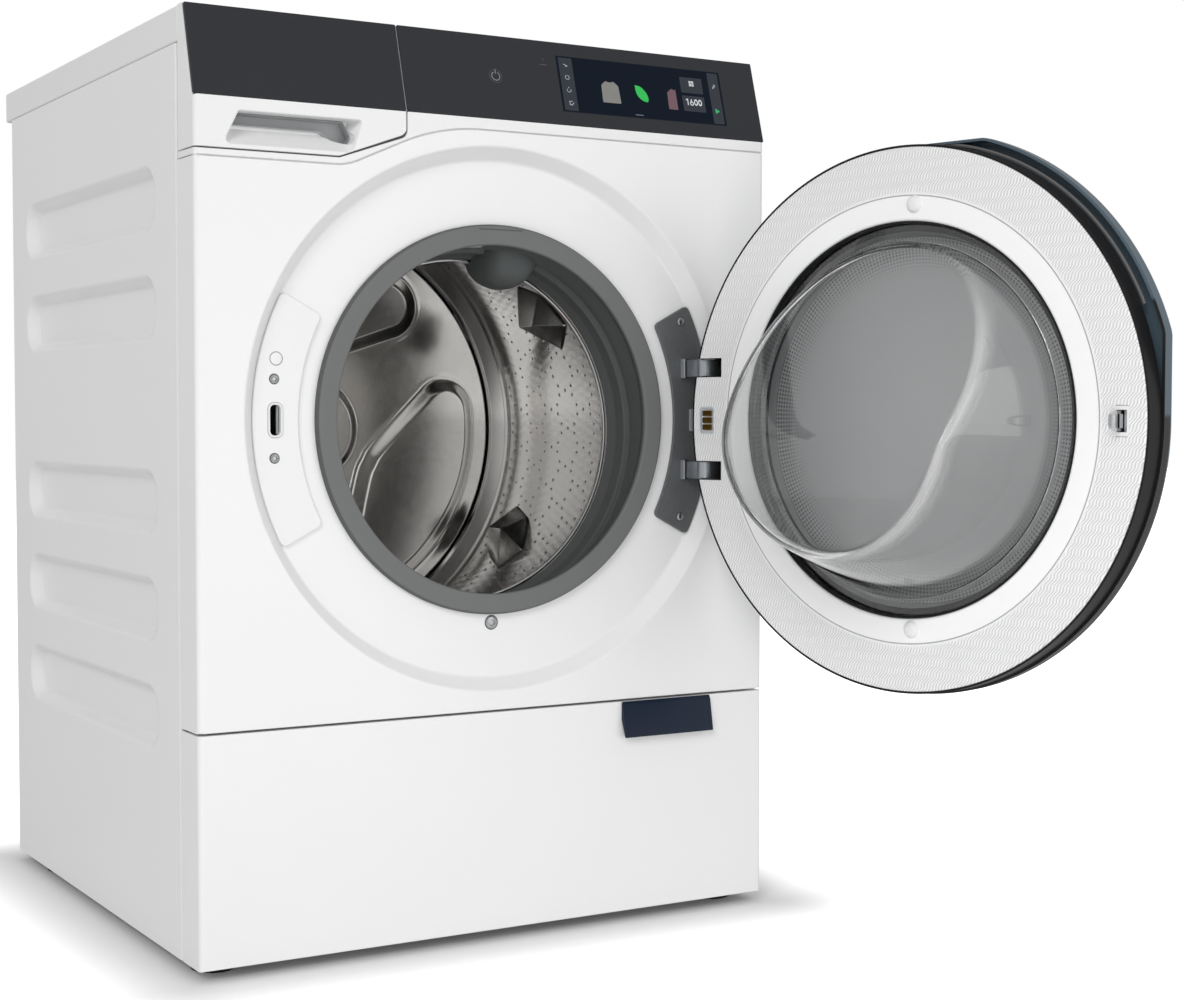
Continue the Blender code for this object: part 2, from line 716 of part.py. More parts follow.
def stadium(centre_u, centre_v, half_length, half_height, steps=ARC_STEPS):
    """Outline with straight long sides and round ends."""
    run = half_length - half_height
    outline = []
    for side in (1, -1):
        for step in range(steps + 1):
            angle = pi * step / steps - side * pi / 2
            across = side * run + half_height * cos(angle)
            outline.append((centre_u + across, centre_v + half_height * sin(angle)))
    return outline


def sector(inner, outer, half_angle, corner, facing=1, steps=ARC_STEPS * 2):
    """Annular sector about the door's centre with rounded corners, facing +X or -X."""
    inset_outer = corner / outer
    inset_inner = corner / inner
    outline = []
    for step in range(steps + 1):
        angle = (half_angle - inset_outer) * (2 * step / steps - 1)
        outline.append((outer * cos(angle), outer * sin(angle)))
    edge = half_angle
    outline.append(((outer - corner) * cos(edge), (outer - corner) * sin(edge)))
    outline.append(((inner + corner) * cos(edge), (inner + corner) * sin(edge)))
    for step in range(steps + 1):
        angle = (half_angle - inset_inner) * (1 - 2 * step / steps)
        outline.append((inner * cos(angle), inner * sin(angle)))
    outline.append(((inner + corner) * cos(edge), -(inner + corner) * sin(edge)))
    outline.append(((outer - corner) * cos(edge), -(outer - corner) * sin(edge)))
    return [(facing * u, v) for u, v in outline]


def shifted(outline, u=0.0, v=0.0):
    """Outline after a shift."""
    return [(a + u, b + v) for a, b in outline]


def seam_line(offset):
    """Corners of the seam over the front panel, from left to right, shifted by an offset."""
    return [
        (SEAM_RISE_START, SEAM_LOW + offset, SEAM_START_RADIUS),
        (SEAM_RISE_END, SEAM_HIGH + offset, SEAM_END_RADIUS),
    ]


def slant_wedge(offset):
    """Everything in front of the slanted fascia plane moved back by an offset."""
    back = offset / cos(SLANT_ANGLE)
    slope = tan(SLANT_ANGLE)
    top = HEIGHT + OVERRUN
    outline = [
        (back, FASCIA_BOTTOM),
        (back + slope * (top - FASCIA_BOTTOM), top),
        (-OVERRUN, top),
        (-OVERRUN, FASCIA_BOTTOM),
    ]
    return prism(outline, -HALF_WIDTH - OVERRUN, HALF_WIDTH + OVERRUN, axis="X")


def slanted_slab(left, right, low, high, front, back):
    """Slab with level ends on the fascia plane, between two heights along the slope and two depths."""
    corners = []
    for rise, depth in ((low, front), (high, front), (high, back), (low, back)):
        inward = rise * sin(SLANT_ANGLE) + depth / cos(SLANT_ANGLE)
        corners.append((inward, FASCIA_BOTTOM + rise * cos(SLANT_ANGLE)))
    return prism(corners, left, right, axis="X")


def side_panel(machine, side):
    """Folded side sheet with its flanges and five stamped pockets."""
    name = "side_panel_right" if side > 0 else "side_panel_left"
    outer = side * HALF_WIDTH
    inner = side * (HALF_WIDTH - SIDE_FLANGE)
    skin = side * (HALF_WIDTH - SHEET)
    bottom, top = FLOOR_GAP, LID_BOTTOM
    shape = box((min(outer, inner), SIDE_FRONT, bottom), (max(outer, inner), BODY_DEPTH, top))
    panel = piece(name, shape, "white_enamel", machine, origin=(outer, SIDE_FRONT, bottom))
    beyond = inner - side * OVERRUN
    hollow = box(
        (min(beyond, skin), SIDE_FRONT + SHEET, bottom + SHEET),
        (max(beyond, skin), BODY_DEPTH - SHEET, top - SHEET),
    )
    cut(panel, hollow)
    heights = [POCKET_FIRST + POCKET_PITCH * i for i in range(POCKETS_BELOW)]
    heights += [POCKET_UPPER + POCKET_PITCH * i for i in range(POCKETS_ABOVE)]
    middle = (POCKET_FRONT + POCKET_BACK) / 2
    half = (POCKET_BACK - POCKET_FRONT) / 2
    for grow, start, end, action in (
        (SHEET, outer - side * SHEET / 2, outer - side * (POCKET_DEPTH + SHEET), add),
        (0.0, outer + side * SHEET, outer - side * POCKET_DEPTH, cut),
    ):
        shape = bmesh.new()
        for height in heights:
            rim = stadium(middle, height, half + grow, POCKET_HEIGHT / 2 + grow)
            floor_grow = grow - POCKET_SLOPE
            floor = stadium(middle, height, half + floor_grow, POCKET_HEIGHT / 2 + floor_grow)
            merge_into(shape, tapered(rim, floor, start, end, axis="X"))
        action(panel, shape)
    return panel


def worktop(machine):
    """Lid that overhangs the back."""
    shape = box(
        (-HALF_WIDTH, FASCIA_DEPTH + SEAM, LID_BOTTOM + GAP),
        (HALF_WIDTH, CABINET_DEPTH, HEIGHT),
    )
    lid = piece("worktop", shape, "white_plastic", machine, origin=(0.0, CABINET_DEPTH / 2, HEIGHT))
    round_edges(lid, LID_ROUNDING)


def base_pan(machine):
    """Tray under the machine, with a proud pad and holes for the feet's stems."""
    back = BODY_DEPTH - SHEET - GAP
    middle = CABINET_DEPTH / 2
    shape = box((-PAN_HALF_WIDTH, PAN_FRONT, PAN_BOTTOM), (PAN_HALF_WIDTH, back, PAN_BOTTOM + PAN_HEIGHT))
    pan = piece("base_pan", shape, "galvanised", machine, origin=(0.0, middle, FLOOR_GAP))
    cut(pan, box(
        (-PAN_HALF_WIDTH + PAN_WALL, PAN_FRONT + PAN_WALL, PAN_BOTTOM + PAN_WALL),
        (PAN_HALF_WIDTH - PAN_WALL, back - PAN_WALL, PAN_BOTTOM + PAN_HEIGHT + OVERRUN),
    ))
    add(pan, box(
        (-PAD_WIDTH / 2, middle - PAD_LENGTH / 2, FLOOR_GAP),
        (PAD_WIDTH / 2, middle + PAD_LENGTH / 2, PAN_BOTTOM + PAN_WALL / 2),
    ))
    ears = bmesh.new()
    for side in (-1, 1):
        near, far = side * (PAN_HALF_WIDTH - FLAP_EAR), side * PAN_HALF_WIDTH
        merge_into(ears, box(
            (min(near, far), FLAP_PIVOT_Y - FLAP_EAR, PAN_BOTTOM),
            (max(near, far), PAN_FRONT + PAN_WALL / 2, FLAP_PIVOT_Z + FLAP_EAR / 2),
        ))
    add(pan, ears)
    pins = [(side * (PAN_HALF_WIDTH - FLAP_EAR / 2), side * (HALF_WIDTH - GAP)) for side in (-1, 1)]
    add(pan, flap_pins(FLAP_PIN_RADIUS, pins))
    holes = bmesh.new()
    for x in (-FOOT_X, FOOT_X):
        for y in (FOOT_FRONT_Y, FOOT_BACK_Y):
            hole = upright(drum_like(FOOT_STEM + GAP, -OVERRUN * 2, OVERRUN, SMALL_ROUND))
            merge_into(holes, moved(hole, x, y, PAN_BOTTOM))
    cut(pan, holes)


def flap_pins(radius, spans):
    """Round pins on the flap's axis, each along its own span of X."""
    shape = bmesh.new()
    for start, end in spans:
        outline = []
        for step in range(SMALL_ROUND):
            angle = tau * step / SMALL_ROUND
            outline.append((FLAP_PIVOT_Y + radius * cos(angle), FLAP_PIVOT_Z + radius * sin(angle)))
        merge_into(shape, prism(outline, start, end, axis="X"))
    return shape


def foot(machine, name, x, y):
    """Screw foot: a pad on the floor and a stem up into the base pan."""
    stem_top = PAN_BOTTOM + PAN_HEIGHT / 2
    section = [
        (0.0, 0.0),
        (FOOT_RADIUS - FOOT_STEM / 4, 0.0),
        (FOOT_RADIUS, FOOT_STEM / 4),
        (FOOT_RADIUS, FOOT_HEIGHT / 2),
        (FOOT_STEM * 2, FOOT_HEIGHT),
        (FOOT_STEM, FOOT_HEIGHT),
        (FOOT_STEM, stem_top),
        (0.0, stem_top),
    ]
    shape = moved(upright(turned(section, SMALL_ROUND)), x, y)
    piece(name, shape, "black_rubber", machine, origin=(x, y, 0.0), round_piece=True)


def front_outline(inset):
    """Outline of the front panel, drawn in by an inset on every side."""
    bottom = LOWER_SEAM + SEAM / 2 + inset
    left, right = -HALF_WIDTH + inset, HALF_WIDTH - inset
    rise = seam_line(-SEAM / 2 - inset)
    top_left = SEAM_LOW - SEAM / 2 - inset
    top_right = SEAM_HIGH - SEAM / 2 - inset
    return filleted([
        (left, bottom, 0), (right, bottom, 0), (right, top_right, 0), rise[1], rise[0], (left, top_left, 0),
    ])


def front_panel(machine):
    """Pressed front with its side returns, the sloped door recess and the holes in its floor."""
    panel = piece(
        "front_panel", prism(front_outline(0.0), 0.0, RETURN_DEPTH), "white_enamel", machine,
        origin=(0.0, 0.0, DOOR_Z),
    )
    modifier = round_edges(panel, FRONT_ROUNDING, segments=3).modifiers[-1]
    modifier.limit_method = "WEIGHT"
    weights = panel.data.attributes.new("bevel_weight_edge", "FLOAT", "EDGE")
    for edge in panel.data.edges:
        ends = [panel.data.vertices[i].co for i in edge.vertices]
        at_front = all(abs(end.y) < GAP for end in ends)
        at_side = all(abs(abs(end.x) - HALF_WIDTH) < GAP for end in ends)
        weights.data[edge.index].value = 1.0 if at_front and at_side else 0.0
    cut(panel, prism(front_outline(FRONT_WALL), FRONT_WALL, RETURN_DEPTH + OVERRUN))
    slope = (RECESS_RADIUS - RECESS_FLOOR_RADIUS) / RECESS_DEPTH
    dish = turned([
        (0.0, FRONT_WALL / 2),
        (RECESS_RADIUS + FRONT_WALL, FRONT_WALL / 2),
        (RECESS_FLOOR_RADIUS + FRONT_WALL, RECESS_FLOOR),
        (0.0, RECESS_FLOOR),
    ])
    add(panel, moved(dish, z=DOOR_Z))
    bowl = turned([
        (0.0, -OVERRUN),
        (RECESS_RADIUS + slope * OVERRUN, -OVERRUN),
        (RECESS_FLOOR_RADIUS, RECESS_DEPTH),
        (MOUTH_RADIUS, RECESS_DEPTH),
        (MOUTH_RADIUS, RECESS_FLOOR + OVERRUN),
        (0.0, RECESS_FLOOR + OVERRUN),
    ])
    cut(panel, moved(bowl, z=DOOR_Z))
    cut(panel, recess_holes(RECESS_DEPTH - OVERRUN, RECESS_FLOOR + OVERRUN, play=SEAM / 2))
    return panel


def recess_holes(front, back, play):
    """Lock slot and the two arm windows, as cutters between two depths."""
    slot = (LOCK_SLOT_WIDTH / 2 + play, LOCK_SLOT_HEIGHT / 2 + play)
    corners = [(
        (-LOCK_SLOT_X - slot[0], front, DOOR_Z - slot[1]),
        (-LOCK_SLOT_X + slot[0], back, DOOR_Z + slot[1]),
    )]
    for place in ARM_PLACES:
        half = ARM_HEIGHT / 2 + play
        corners.append((
            (ARM_X - play, front, DOOR_Z + place - half),
            (ARM_X + ARM_WIDTH + play, back, DOOR_Z + place + half),
        ))
    return boxes(corners)


def lock_parts(machine):
    """Raised cover with the latch slot, and the lock behind the recess floor."""
    back = RECESS_DEPTH - GAP
    front = back - PLATE_THICKNESS
    outline = shifted(sector(PLATE_INNER, PLATE_OUTER, PLATE_HALF_ANGLE, PLATE_CORNER, facing=-1), v=DOOR_Z)
    plate = prism(outline, front, back)
    cover = piece("lock_cover", plate, "white_plastic", machine, (-LOCK_SLOT_X, front, DOOR_Z))
    cut(cover, boxes([(
        (-LOCK_SLOT_X - LOCK_SLOT_WIDTH / 2, front - OVERRUN, DOOR_Z - LOCK_SLOT_HEIGHT / 2),
        (-LOCK_SLOT_X + LOCK_SLOT_WIDTH / 2, back + OVERRUN, DOOR_Z + LOCK_SLOT_HEIGHT / 2),
    )]))
    start = RECESS_FLOOR + GAP
    body = piece("door_lock", box(
        (-LOCK_SLOT_X - LOCK_BODY_WIDTH / 2, start, DOOR_Z - LOCK_BODY_HEIGHT / 2),
        (-LOCK_SLOT_X + LOCK_BODY_WIDTH / 2, start + LOCK_BODY_DEPTH, DOOR_Z + LOCK_BODY_HEIGHT / 2),
    ), "dark_plastic", machine, (-LOCK_SLOT_X, start, DOOR_Z))
    cut(body, box(
        (-LOCK_SLOT_X - LOCK_SLOT_WIDTH / 2, start - OVERRUN, DOOR_Z - LOCK_SLOT_HEIGHT / 2),
        (-LOCK_SLOT_X + LOCK_SLOT_WIDTH / 2, start + LOCK_SLOT_DEPTH, DOOR_Z + LOCK_SLOT_HEIGHT / 2),
    ))


def arm_outline():
    """Plan of one hooked hinge arm, from the bracket to the knuckle on the pin."""
    root = RECESS_FLOOR + GAP + BRACKET_THICKNESS / 2
    inner, outer = ARM_X, ARM_X + ARM_WIDTH
    knuckle = []
    for step in range(ARC_STEPS * 2 + 1):
        angle = radians(-100) + radians(210) * step / (ARC_STEPS * 2)
        knuckle.append((PIVOT_X + ARM_KNUCKLE * cos(angle), PIVOT_Y + ARM_KNUCKLE * sin(angle)))
    return [
        (inner, root),
        (inner, PIVOT_Y + ARM_WIDTH),
        (inner + ARM_WIDTH, PIVOT_Y - ARM_WIDTH / 3),
        *knuckle,
        (outer + ARM_WIDTH, PIVOT_Y + ARM_WIDTH * 3 / 4),
        (outer, PIVOT_Y + ARM_WIDTH * 3 / 2),
        (outer, root),
    ]


def hinge_parts(machine):
    """Bracket behind the recess floor with its two hooked arms, and the cover in front."""
    start = RECESS_FLOOR + GAP
    middle = ARM_X + ARM_WIDTH + BRACKET_WIDTH / 4
    bracket = piece("hinge_bracket", box(
        (middle - BRACKET_WIDTH / 2, start, DOOR_Z - BRACKET_HEIGHT / 2),
        (middle + BRACKET_WIDTH / 2, start + BRACKET_THICKNESS, DOOR_Z + BRACKET_HEIGHT / 2),
    ), "steel", machine, (PIVOT_X, PIVOT_Y, DOOR_Z))
    arms = bmesh.new()
    for place in ARM_PLACES:
        low = DOOR_Z + place - ARM_HEIGHT / 2
        merge_into(arms, prism(arm_outline(), low, low + ARM_HEIGHT, axis="Z"))
    add(bracket, arms)
    bores = upright(drum_like(PIN_RADIUS + PIN_PLAY, -PIN_TOP - OVERRUN, PIN_TOP + OVERRUN, SMALL_ROUND))
    cut(bracket, moved(bores, PIVOT_X, PIVOT_Y, DOOR_Z))
    back = RECESS_DEPTH - GAP
    front = back - PLATE_THICKNESS
    outline = shifted(sector(PLATE_INNER, PLATE_OUTER, PLATE_HALF_ANGLE, PLATE_CORNER), v=DOOR_Z)
    cover = piece("hinge_cover", prism(outline, front, back), "cast_zinc", machine, (PIVOT_X, front, DOOR_Z))
    cut(cover, recess_holes(front - OVERRUN, back + OVERRUN, play=SEAM / 4))


def fascia_parts(machine):
    """White carrier across the front, the dark control glass and the display behind it."""
    drawer_gap = DRAWER_RIGHT + SEAM / 2
    outline = filleted([
        (-HALF_WIDTH, SEAM_LOW + SEAM / 2, 0),
        *seam_line(SEAM / 2),
        (HALF_WIDTH, SEAM_HIGH + SEAM / 2, 0),
        (HALF_WIDTH, HEIGHT, 0),
        (drawer_gap, HEIGHT, 0),
        (drawer_gap, DRAWER_RISE_TOP - SEAM / 2, DRAWER_CORNER),
        (DRAWER_RISE_START, DRAWER_BOTTOM - SEAM / 2, DRAWER_CORNER),
        (-HALF_WIDTH, DRAWER_BOTTOM - SEAM / 2, 0),
    ])
    bar = prism(outline, 0.0, FASCIA_DEPTH)
    body = piece("fascia_carrier", bar, "white_plastic", machine, (0.0, 0.0, FASCIA_BOTTOM))
    clips = [(place, SEAM_HIGH) for place in CLIP_PLACES] + [(CLIP_LEFT, SEAM_LOW)]
    add(body, boxes([(
        (place, CLIP_DEPTH, seam - SEAM / 2 + GAP),
        (place + CLIP_WIDTH, CLIP_DEPTH * 2, seam + SEAM / 2 + GAP),
    ) for place, seam in clips]))
    cut(body, slant_wedge(FASCIA_GLASS + GAP))
    cut(body, box(
        (drawer_gap + FASCIA_WALL, FASCIA_WALL, FASCIA_BOTTOM),
        (HALF_WIDTH - FASCIA_WALL, FASCIA_DEPTH + OVERRUN, HEIGHT - FASCIA_WALL),
    ))
    slope_length = hypot(FASCIA_SLANT, HEIGHT - FASCIA_BOTTOM)
    glass = slanted_slab(drawer_gap, HALF_WIDTH, GAP, slope_length, 0.0, FASCIA_GLASS)
    piece("control_glass", glass, "dark_glass", machine, (0.0, 0.0, FASCIA_BOTTOM))
    front = FASCIA_GLASS + GAP
    back = front + DISPLAY_THICKNESS
    screen = slanted_slab(DISPLAY_LEFT, DISPLAY_RIGHT, DISPLAY_LOW, DISPLAY_HIGH, front, back)
    piece("display_module", screen, "display", machine, (DISPLAY_LEFT, 0.0, FASCIA_BOTTOM))
    cut(body, slanted_slab(
        DISPLAY_LEFT - GAP, DISPLAY_RIGHT + GAP, DISPLAY_LOW - GAP, DISPLAY_HIGH + GAP, 0.0,
        front + DISPLAY_THICKNESS + OVERRUN,
    ))


def drawer_parts(slide):
    """Drawer front with its scooped grip, its glass, and the tray with its compartments."""
    right = DRAWER_RIGHT - SEAM / 2
    outline = filleted([
        (-HALF_WIDTH, DRAWER_BOTTOM + SEAM / 2, 0),
        (DRAWER_RISE_START, DRAWER_BOTTOM + SEAM / 2, DRAWER_CORNER),
        (right, DRAWER_RISE_TOP + SEAM / 2, DRAWER_CORNER),
        (right, HEIGHT, 0),
        (-HALF_WIDTH, HEIGHT, 0),
    ])
    block = prism(outline, 0.0, FASCIA_DEPTH)
    front = piece("drawer_front", block, "white_plastic", slide, (TRAY_LEFT, 0.0, DRAWER_BOTTOM))
    cut(front, slant_wedge(FASCIA_GLASS + GAP))
    cut(front, box(
        (TRAY_LEFT - GAP, DRAWER_FACE, TRAY_BOTTOM - GAP),
        (TRAY_RIGHT + GAP, FASCIA_DEPTH + OVERRUN, HEIGHT - FASCIA_WALL),
    ))
    mouth = filleted([
        (GRIP_BOTTOM_LEFT, GRIP_BOTTOM, GRIP_CORNER),
        (GRIP_BOTTOM_RIGHT, GRIP_BOTTOM, GRIP_CORNER * 2),
        (GRIP_TOP_RIGHT, GRIP_TOP, GRIP_CORNER / 2),
        (GRIP_TOP_LEFT, GRIP_TOP, GRIP_CORNER / 2),
    ])
    middle = (GRIP_TOP_LEFT + GRIP_TOP_RIGHT) / 2
    shrink = 1 - GRIP_FLOOR_RISE / (GRIP_TOP - GRIP_BOTTOM)
    deep = [(middle + (u - middle) * GRIP_FLOOR_SHARE, GRIP_TOP - (GRIP_TOP - v) * shrink) for u, v in mouth]
    cut(front, tapered(mouth, deep, -GAP, GRIP_DEPTH))
    slope_length = hypot(FASCIA_SLANT, HEIGHT - FASCIA_BOTTOM)
    glass = slanted_slab(-HALF_WIDTH, right, GAP, slope_length, 0.0, FASCIA_GLASS)
    piece("drawer_glass", glass, "dark_glass", slide, (right, 0.0, FASCIA_BOTTOM))
    start = DRAWER_FACE + GAP
    tray = piece("drawer_tray", box((TRAY_LEFT, start, TRAY_BOTTOM), (TRAY_RIGHT, TRAY_BACK, TRAY_TOP)),
                 "grey_plastic", slide, (TRAY_LEFT, start, TRAY_BOTTOM))
    pitch = (TRAY_RIGHT - TRAY_LEFT - TRAY_WALL) / TRAY_COMPARTMENTS
    cells = []
    for i in range(TRAY_COMPARTMENTS):
        left = TRAY_LEFT + TRAY_WALL + pitch * i
        cells.append((
            (left, RETURN_DEPTH + TRAY_WALL, TRAY_BOTTOM + TRAY_WALL),
            (left + pitch - TRAY_WALL, TRAY_BACK - TRAY_WALL, TRAY_TOP + OVERRUN),
        ))
    cut(tray, boxes(cells))


def dispenser_housing(machine):
    """Sleeve that the drawer's tray slides in."""
    play = TRAY_RUNNING_GAP
    inner_low = (TRAY_LEFT - play, SIDE_FRONT - OVERRUN, TRAY_BOTTOM - play)
    inner_high = (TRAY_RIGHT + play, HOUSING_BACK - HOUSING_WALL, TRAY_TOP + play)
    wall = HOUSING_WALL
    housing = piece("dispenser_housing", box(
        (inner_low[0] - wall, SIDE_FRONT, inner_low[2] - wall),
        (inner_high[0] + wall, HOUSING_BACK, LID_BOTTOM),
    ), "grey_plastic", machine, (TRAY_LEFT, SIDE_FRONT, TRAY_BOTTOM))
    cut(housing, box(inner_low, inner_high))


def seal_centre(depth):
    """Height of the seal's centre line, which falls from the door's centre to the drum's axis."""
    start = RECESS_FLOOR + GAP + SEAL_THICKNESS
    end = TUB_FRONT - TUB_COLLAR_LENGTH - SEAL_THICKNESS * 2
    share = min(max((depth - start) / (end - start), 0.0), 1.0)
    return DOOR_Z + (DRUM_Z - DOOR_Z) * share


def seal_bore(depth):
    """Inner radius of the seal between its lip and its fold."""
    start = RECESS_FLOOR + GAP + SEAL_THICKNESS
    end = RECESS_FLOOR + GAP + (TUB_FRONT - TUB_COLLAR_LENGTH - RECESS_FLOOR - GAP) * SEAL_FOLD_SHARE
    widening = SEAL_THICKNESS / 2 * (depth - start) / (end - start)
    return SEAL_LIP + SEAL_THICKNESS * 3 / 2 + widening


def seal(machine):
    """Rubber bellows from the recess floor's edge to the tub's collar."""
    wall = SEAL_THICKNESS
    groove = MOUTH_RADIUS - GAP
    front = RECESS_DEPTH - GAP
    behind = RECESS_FLOOR + GAP
    lip_front = DOOR_FACE_Y + SEAM
    collar_front = TUB_FRONT - TUB_COLLAR_LENGTH
    sleeve = TUB_COLLAR + GAP
    fold_front = behind + (collar_front - behind) * SEAL_FOLD_SHARE
    inner = SEAL_LIP + wall * 2
    section = [
        (SEAL_LIP, lip_front + wall / 2),
        (SEAL_LIP + wall / 2, lip_front),
        (SEAL_OUTER - wall / 2, lip_front + wall / 4),
        (SEAL_OUTER, lip_front + wall),
        (SEAL_OUTER, front),
        (groove, front),
        (groove, behind),
        (SEAL_OUTER - wall, behind),
        (SEAL_OUTER - wall, behind + wall),
        (groove, behind + wall * 3 / 2),
        (groove, fold_front),
        (SEAL_FOLD_RADIUS, fold_front + wall / 2),
        (SEAL_FOLD_RADIUS, collar_front - wall / 2),
        (sleeve + wall, collar_front),
        (sleeve + wall, TUB_FRONT - wall),
        (sleeve, TUB_FRONT - wall),
        (sleeve, collar_front - GAP),
        (TUB_COLLAR - TUB_WALL - GAP, collar_front - GAP),
        (TUB_COLLAR - TUB_WALL - GAP, SEAL_REACH),
        (SEAL_LIP + wall / 2, TUB_FRONT + wall / 2),
        (SEAL_LIP, TUB_FRONT),
        (inner, SEAL_REACH - wall),
        (inner, collar_front - wall),
        (SEAL_FOLD_RADIUS - wall, collar_front - wall * 3 / 2),
        (SEAL_FOLD_RADIUS - wall, fold_front + wall * 3 / 2),
        (inner, fold_front),
        (inner - wall / 2, behind + wall),
    ]
    shape = turned(section)
    for vert in shape.verts:
        vert.co.z += seal_centre(vert.co.y)
    piece("door_seal", shape, "grey_rubber", machine, (0.0, lip_front, DOOR_Z), round_piece=True)


def tub_parts(machine):
    """Front and rear halves of the tub, with the collar, the hub and the mounting lugs."""
    outer, inner = TUB_RADIUS, TUB_RADIUS - TUB_WALL
    rib = TUB_WALL * 2
    front = turned([
        (TUB_COLLAR - TUB_WALL, TUB_FRONT - TUB_COLLAR_LENGTH),
        (TUB_COLLAR, TUB_FRONT - TUB_COLLAR_LENGTH),
        (TUB_COLLAR, TUB_FRONT),
        (outer, TUB_FRONT),
        (outer, TUB_SPLIT - rib),
        (outer + TUB_FLANGE, TUB_SPLIT - rib),
        (outer + TUB_FLANGE, TUB_SPLIT),
        (inner, TUB_SPLIT),
        (inner, TUB_FRONT + TUB_WALL),
        (TUB_COLLAR - TUB_WALL, TUB_FRONT + TUB_WALL),
    ])
    front = moved(front, z=DRUM_Z)
    piece("tub_front", front, "grey_plastic", machine, (0.0, TUB_FRONT, DRUM_Z), round_piece=True)
    start = TUB_SPLIT + GAP
    body = turned([
        (0.0, start),
        (outer + TUB_FLANGE, start),
        (outer + TUB_FLANGE, start + rib),
        (outer, start + rib),
        (outer, TUB_BACK),
        (TUB_HUB_RADIUS, TUB_BACK),
        (TUB_HUB_RADIUS, TUB_BACK + TUB_HUB_LENGTH),
        (0.0, TUB_BACK + TUB_HUB_LENGTH),
    ])
    body = moved(body, z=DRUM_Z)
    rear = piece("tub_rear", body, "grey_plastic", machine, (0.0, TUB_BACK, DRUM_Z), round_piece=True)
    lugs = []
    for side in (-1, 1):
        lugs.append(spring_lug(side))
        lugs.append(damper_lug(side))
    lugs.append(motor_lug())
    add(rear, boxes(lugs))
    cavity = turned([
        (0.0, start - OVERRUN),
        (inner, start - OVERRUN),
        (inner, TUB_BACK - TUB_WALL),
        (BEARING_RADIUS + GAP, TUB_BACK - TUB_WALL),
        (BEARING_RADIUS + GAP, TUB_BACK + TUB_HUB_LENGTH + OVERRUN),
        (0.0, TUB_BACK + TUB_HUB_LENGTH + OVERRUN),
    ])
    cut(rear, moved(cavity, z=DRUM_Z))


def tub_surface(x):
    """Height of the tub's skin over its axis at a sideways place."""
    return (TUB_RADIUS ** 2 - x ** 2) ** 0.5


def spring_lug(side):
    """Block on the tub's shoulder that a spring hangs it from."""
    x = side * SPRING_X
    top = DRUM_Z + tub_surface(SPRING_X) + LUG_RISE
    low = DRUM_Z + tub_surface(SPRING_X + LUG_WIDTH / 2) - LUG_WIDTH / 2
    return (
        (x - LUG_WIDTH / 2, SPRING_Y - LUG_WIDTH / 2, low),
        (x + LUG_WIDTH / 2, SPRING_Y + LUG_WIDTH / 2, top),
    )


def damper_lug(side):
    """Block under the tub that a damper stands against."""
    x = side * DAMPER_X
    low = DRUM_Z - tub_surface(DAMPER_X) - LUG_RISE
    top = DRUM_Z - tub_surface(DAMPER_X + LUG_WIDTH / 2) + LUG_WIDTH / 2
    return (
        (x - LUG_WIDTH / 2, DAMPER_Y - LUG_WIDTH / 2, low),
        (x + LUG_WIDTH / 2, DAMPER_Y + LUG_WIDTH / 2, top),
    )


def motor_lug():
    """Foot under the tub that the motor hangs from."""
    low = MOTOR_Z + MOTOR_RADIUS + GAP
    top = DRUM_Z - tub_surface(MOTOR_X + LUG_WIDTH) + TUB_WALL
    return (
        (MOTOR_X - LUG_WIDTH, MOTOR_FRONT, low),
        (MOTOR_X + LUG_WIDTH, MOTOR_FRONT + MOTOR_LENGTH, top),
    )


def weights(machine):
    """Two counterweights on the tub's front."""
    back = TUB_FRONT - GAP
    for name, turn in (("counterweight_upper", pi / 2), ("counterweight_lower", -pi / 2)):
        outline = sector(WEIGHT_INNER, WEIGHT_OUTER, WEIGHT_HALF_ANGLE, PLATE_CORNER)
        spun = [(u * cos(turn) - v * sin(turn), u * sin(turn) + v * cos(turn)) for u, v in outline]
        shape = prism(shifted(spun, v=DRUM_Z), back - WEIGHT_THICKNESS, back)
        piece(name, shape, "cast_iron", machine, (0.0, back, DRUM_Z))


def top_rail(machine):
    """Cross rail between the side panels that the springs hang from."""
    half = HALF_WIDTH - SHEET - GAP
    top = LID_BOTTOM - SHEET - GAP
    shape = box(
        (-half, SPRING_Y - RAIL_DEPTH / 2, top - RAIL_HEIGHT),
        (half, SPRING_Y + RAIL_DEPTH / 2, top),
    )
    piece("top_rail", shape, "galvanised", machine, (0.0, SPRING_Y, top))


def springs(machine):
    """Coil springs between the rail and the tub's lugs, each one helix of round wire."""
    top = LID_BOTTOM - SHEET - GAP - RAIL_HEIGHT - GAP
    bottom = DRUM_Z + tub_surface(SPRING_X) + LUG_RISE + GAP
    steps = SPRING_TURNS * ARC_STEPS
    for name, side in (("spring_left", -1), ("spring_right", 1)):
        line = bpy.data.curves.new(name, "CURVE")
        line.dimensions = "3D"
        line.bevel_depth = SPRING_WIRE / 2
        line.bevel_resolution = 1
        line.use_fill_caps = True
        run = line.splines.new("POLY")
        run.points.add(steps + 2)
        low, high = bottom + SPRING_WIRE * 2, top - SPRING_WIRE * 2
        places = [(0.0, 0.0, bottom)]
        for step in range(steps + 1):
            angle = tau * step * SPRING_TURNS / steps
            height = low + (high - low) * step / steps
            places.append((SPRING_RADIUS * sin(angle), SPRING_RADIUS * (1 - cos(angle)), height))
        places.append((0.0, 0.0, top))
        for point, place in zip(run.points, places):
            point.co = (*place, 1.0)
        line.materials.append(material(name, "steel"))
        coil = bpy.data.objects.new(name, line)
        coil.location = (side * SPRING_X, SPRING_Y, 0.0)
        coil.parent = machine
        bpy.context.collection.objects.link(coil)


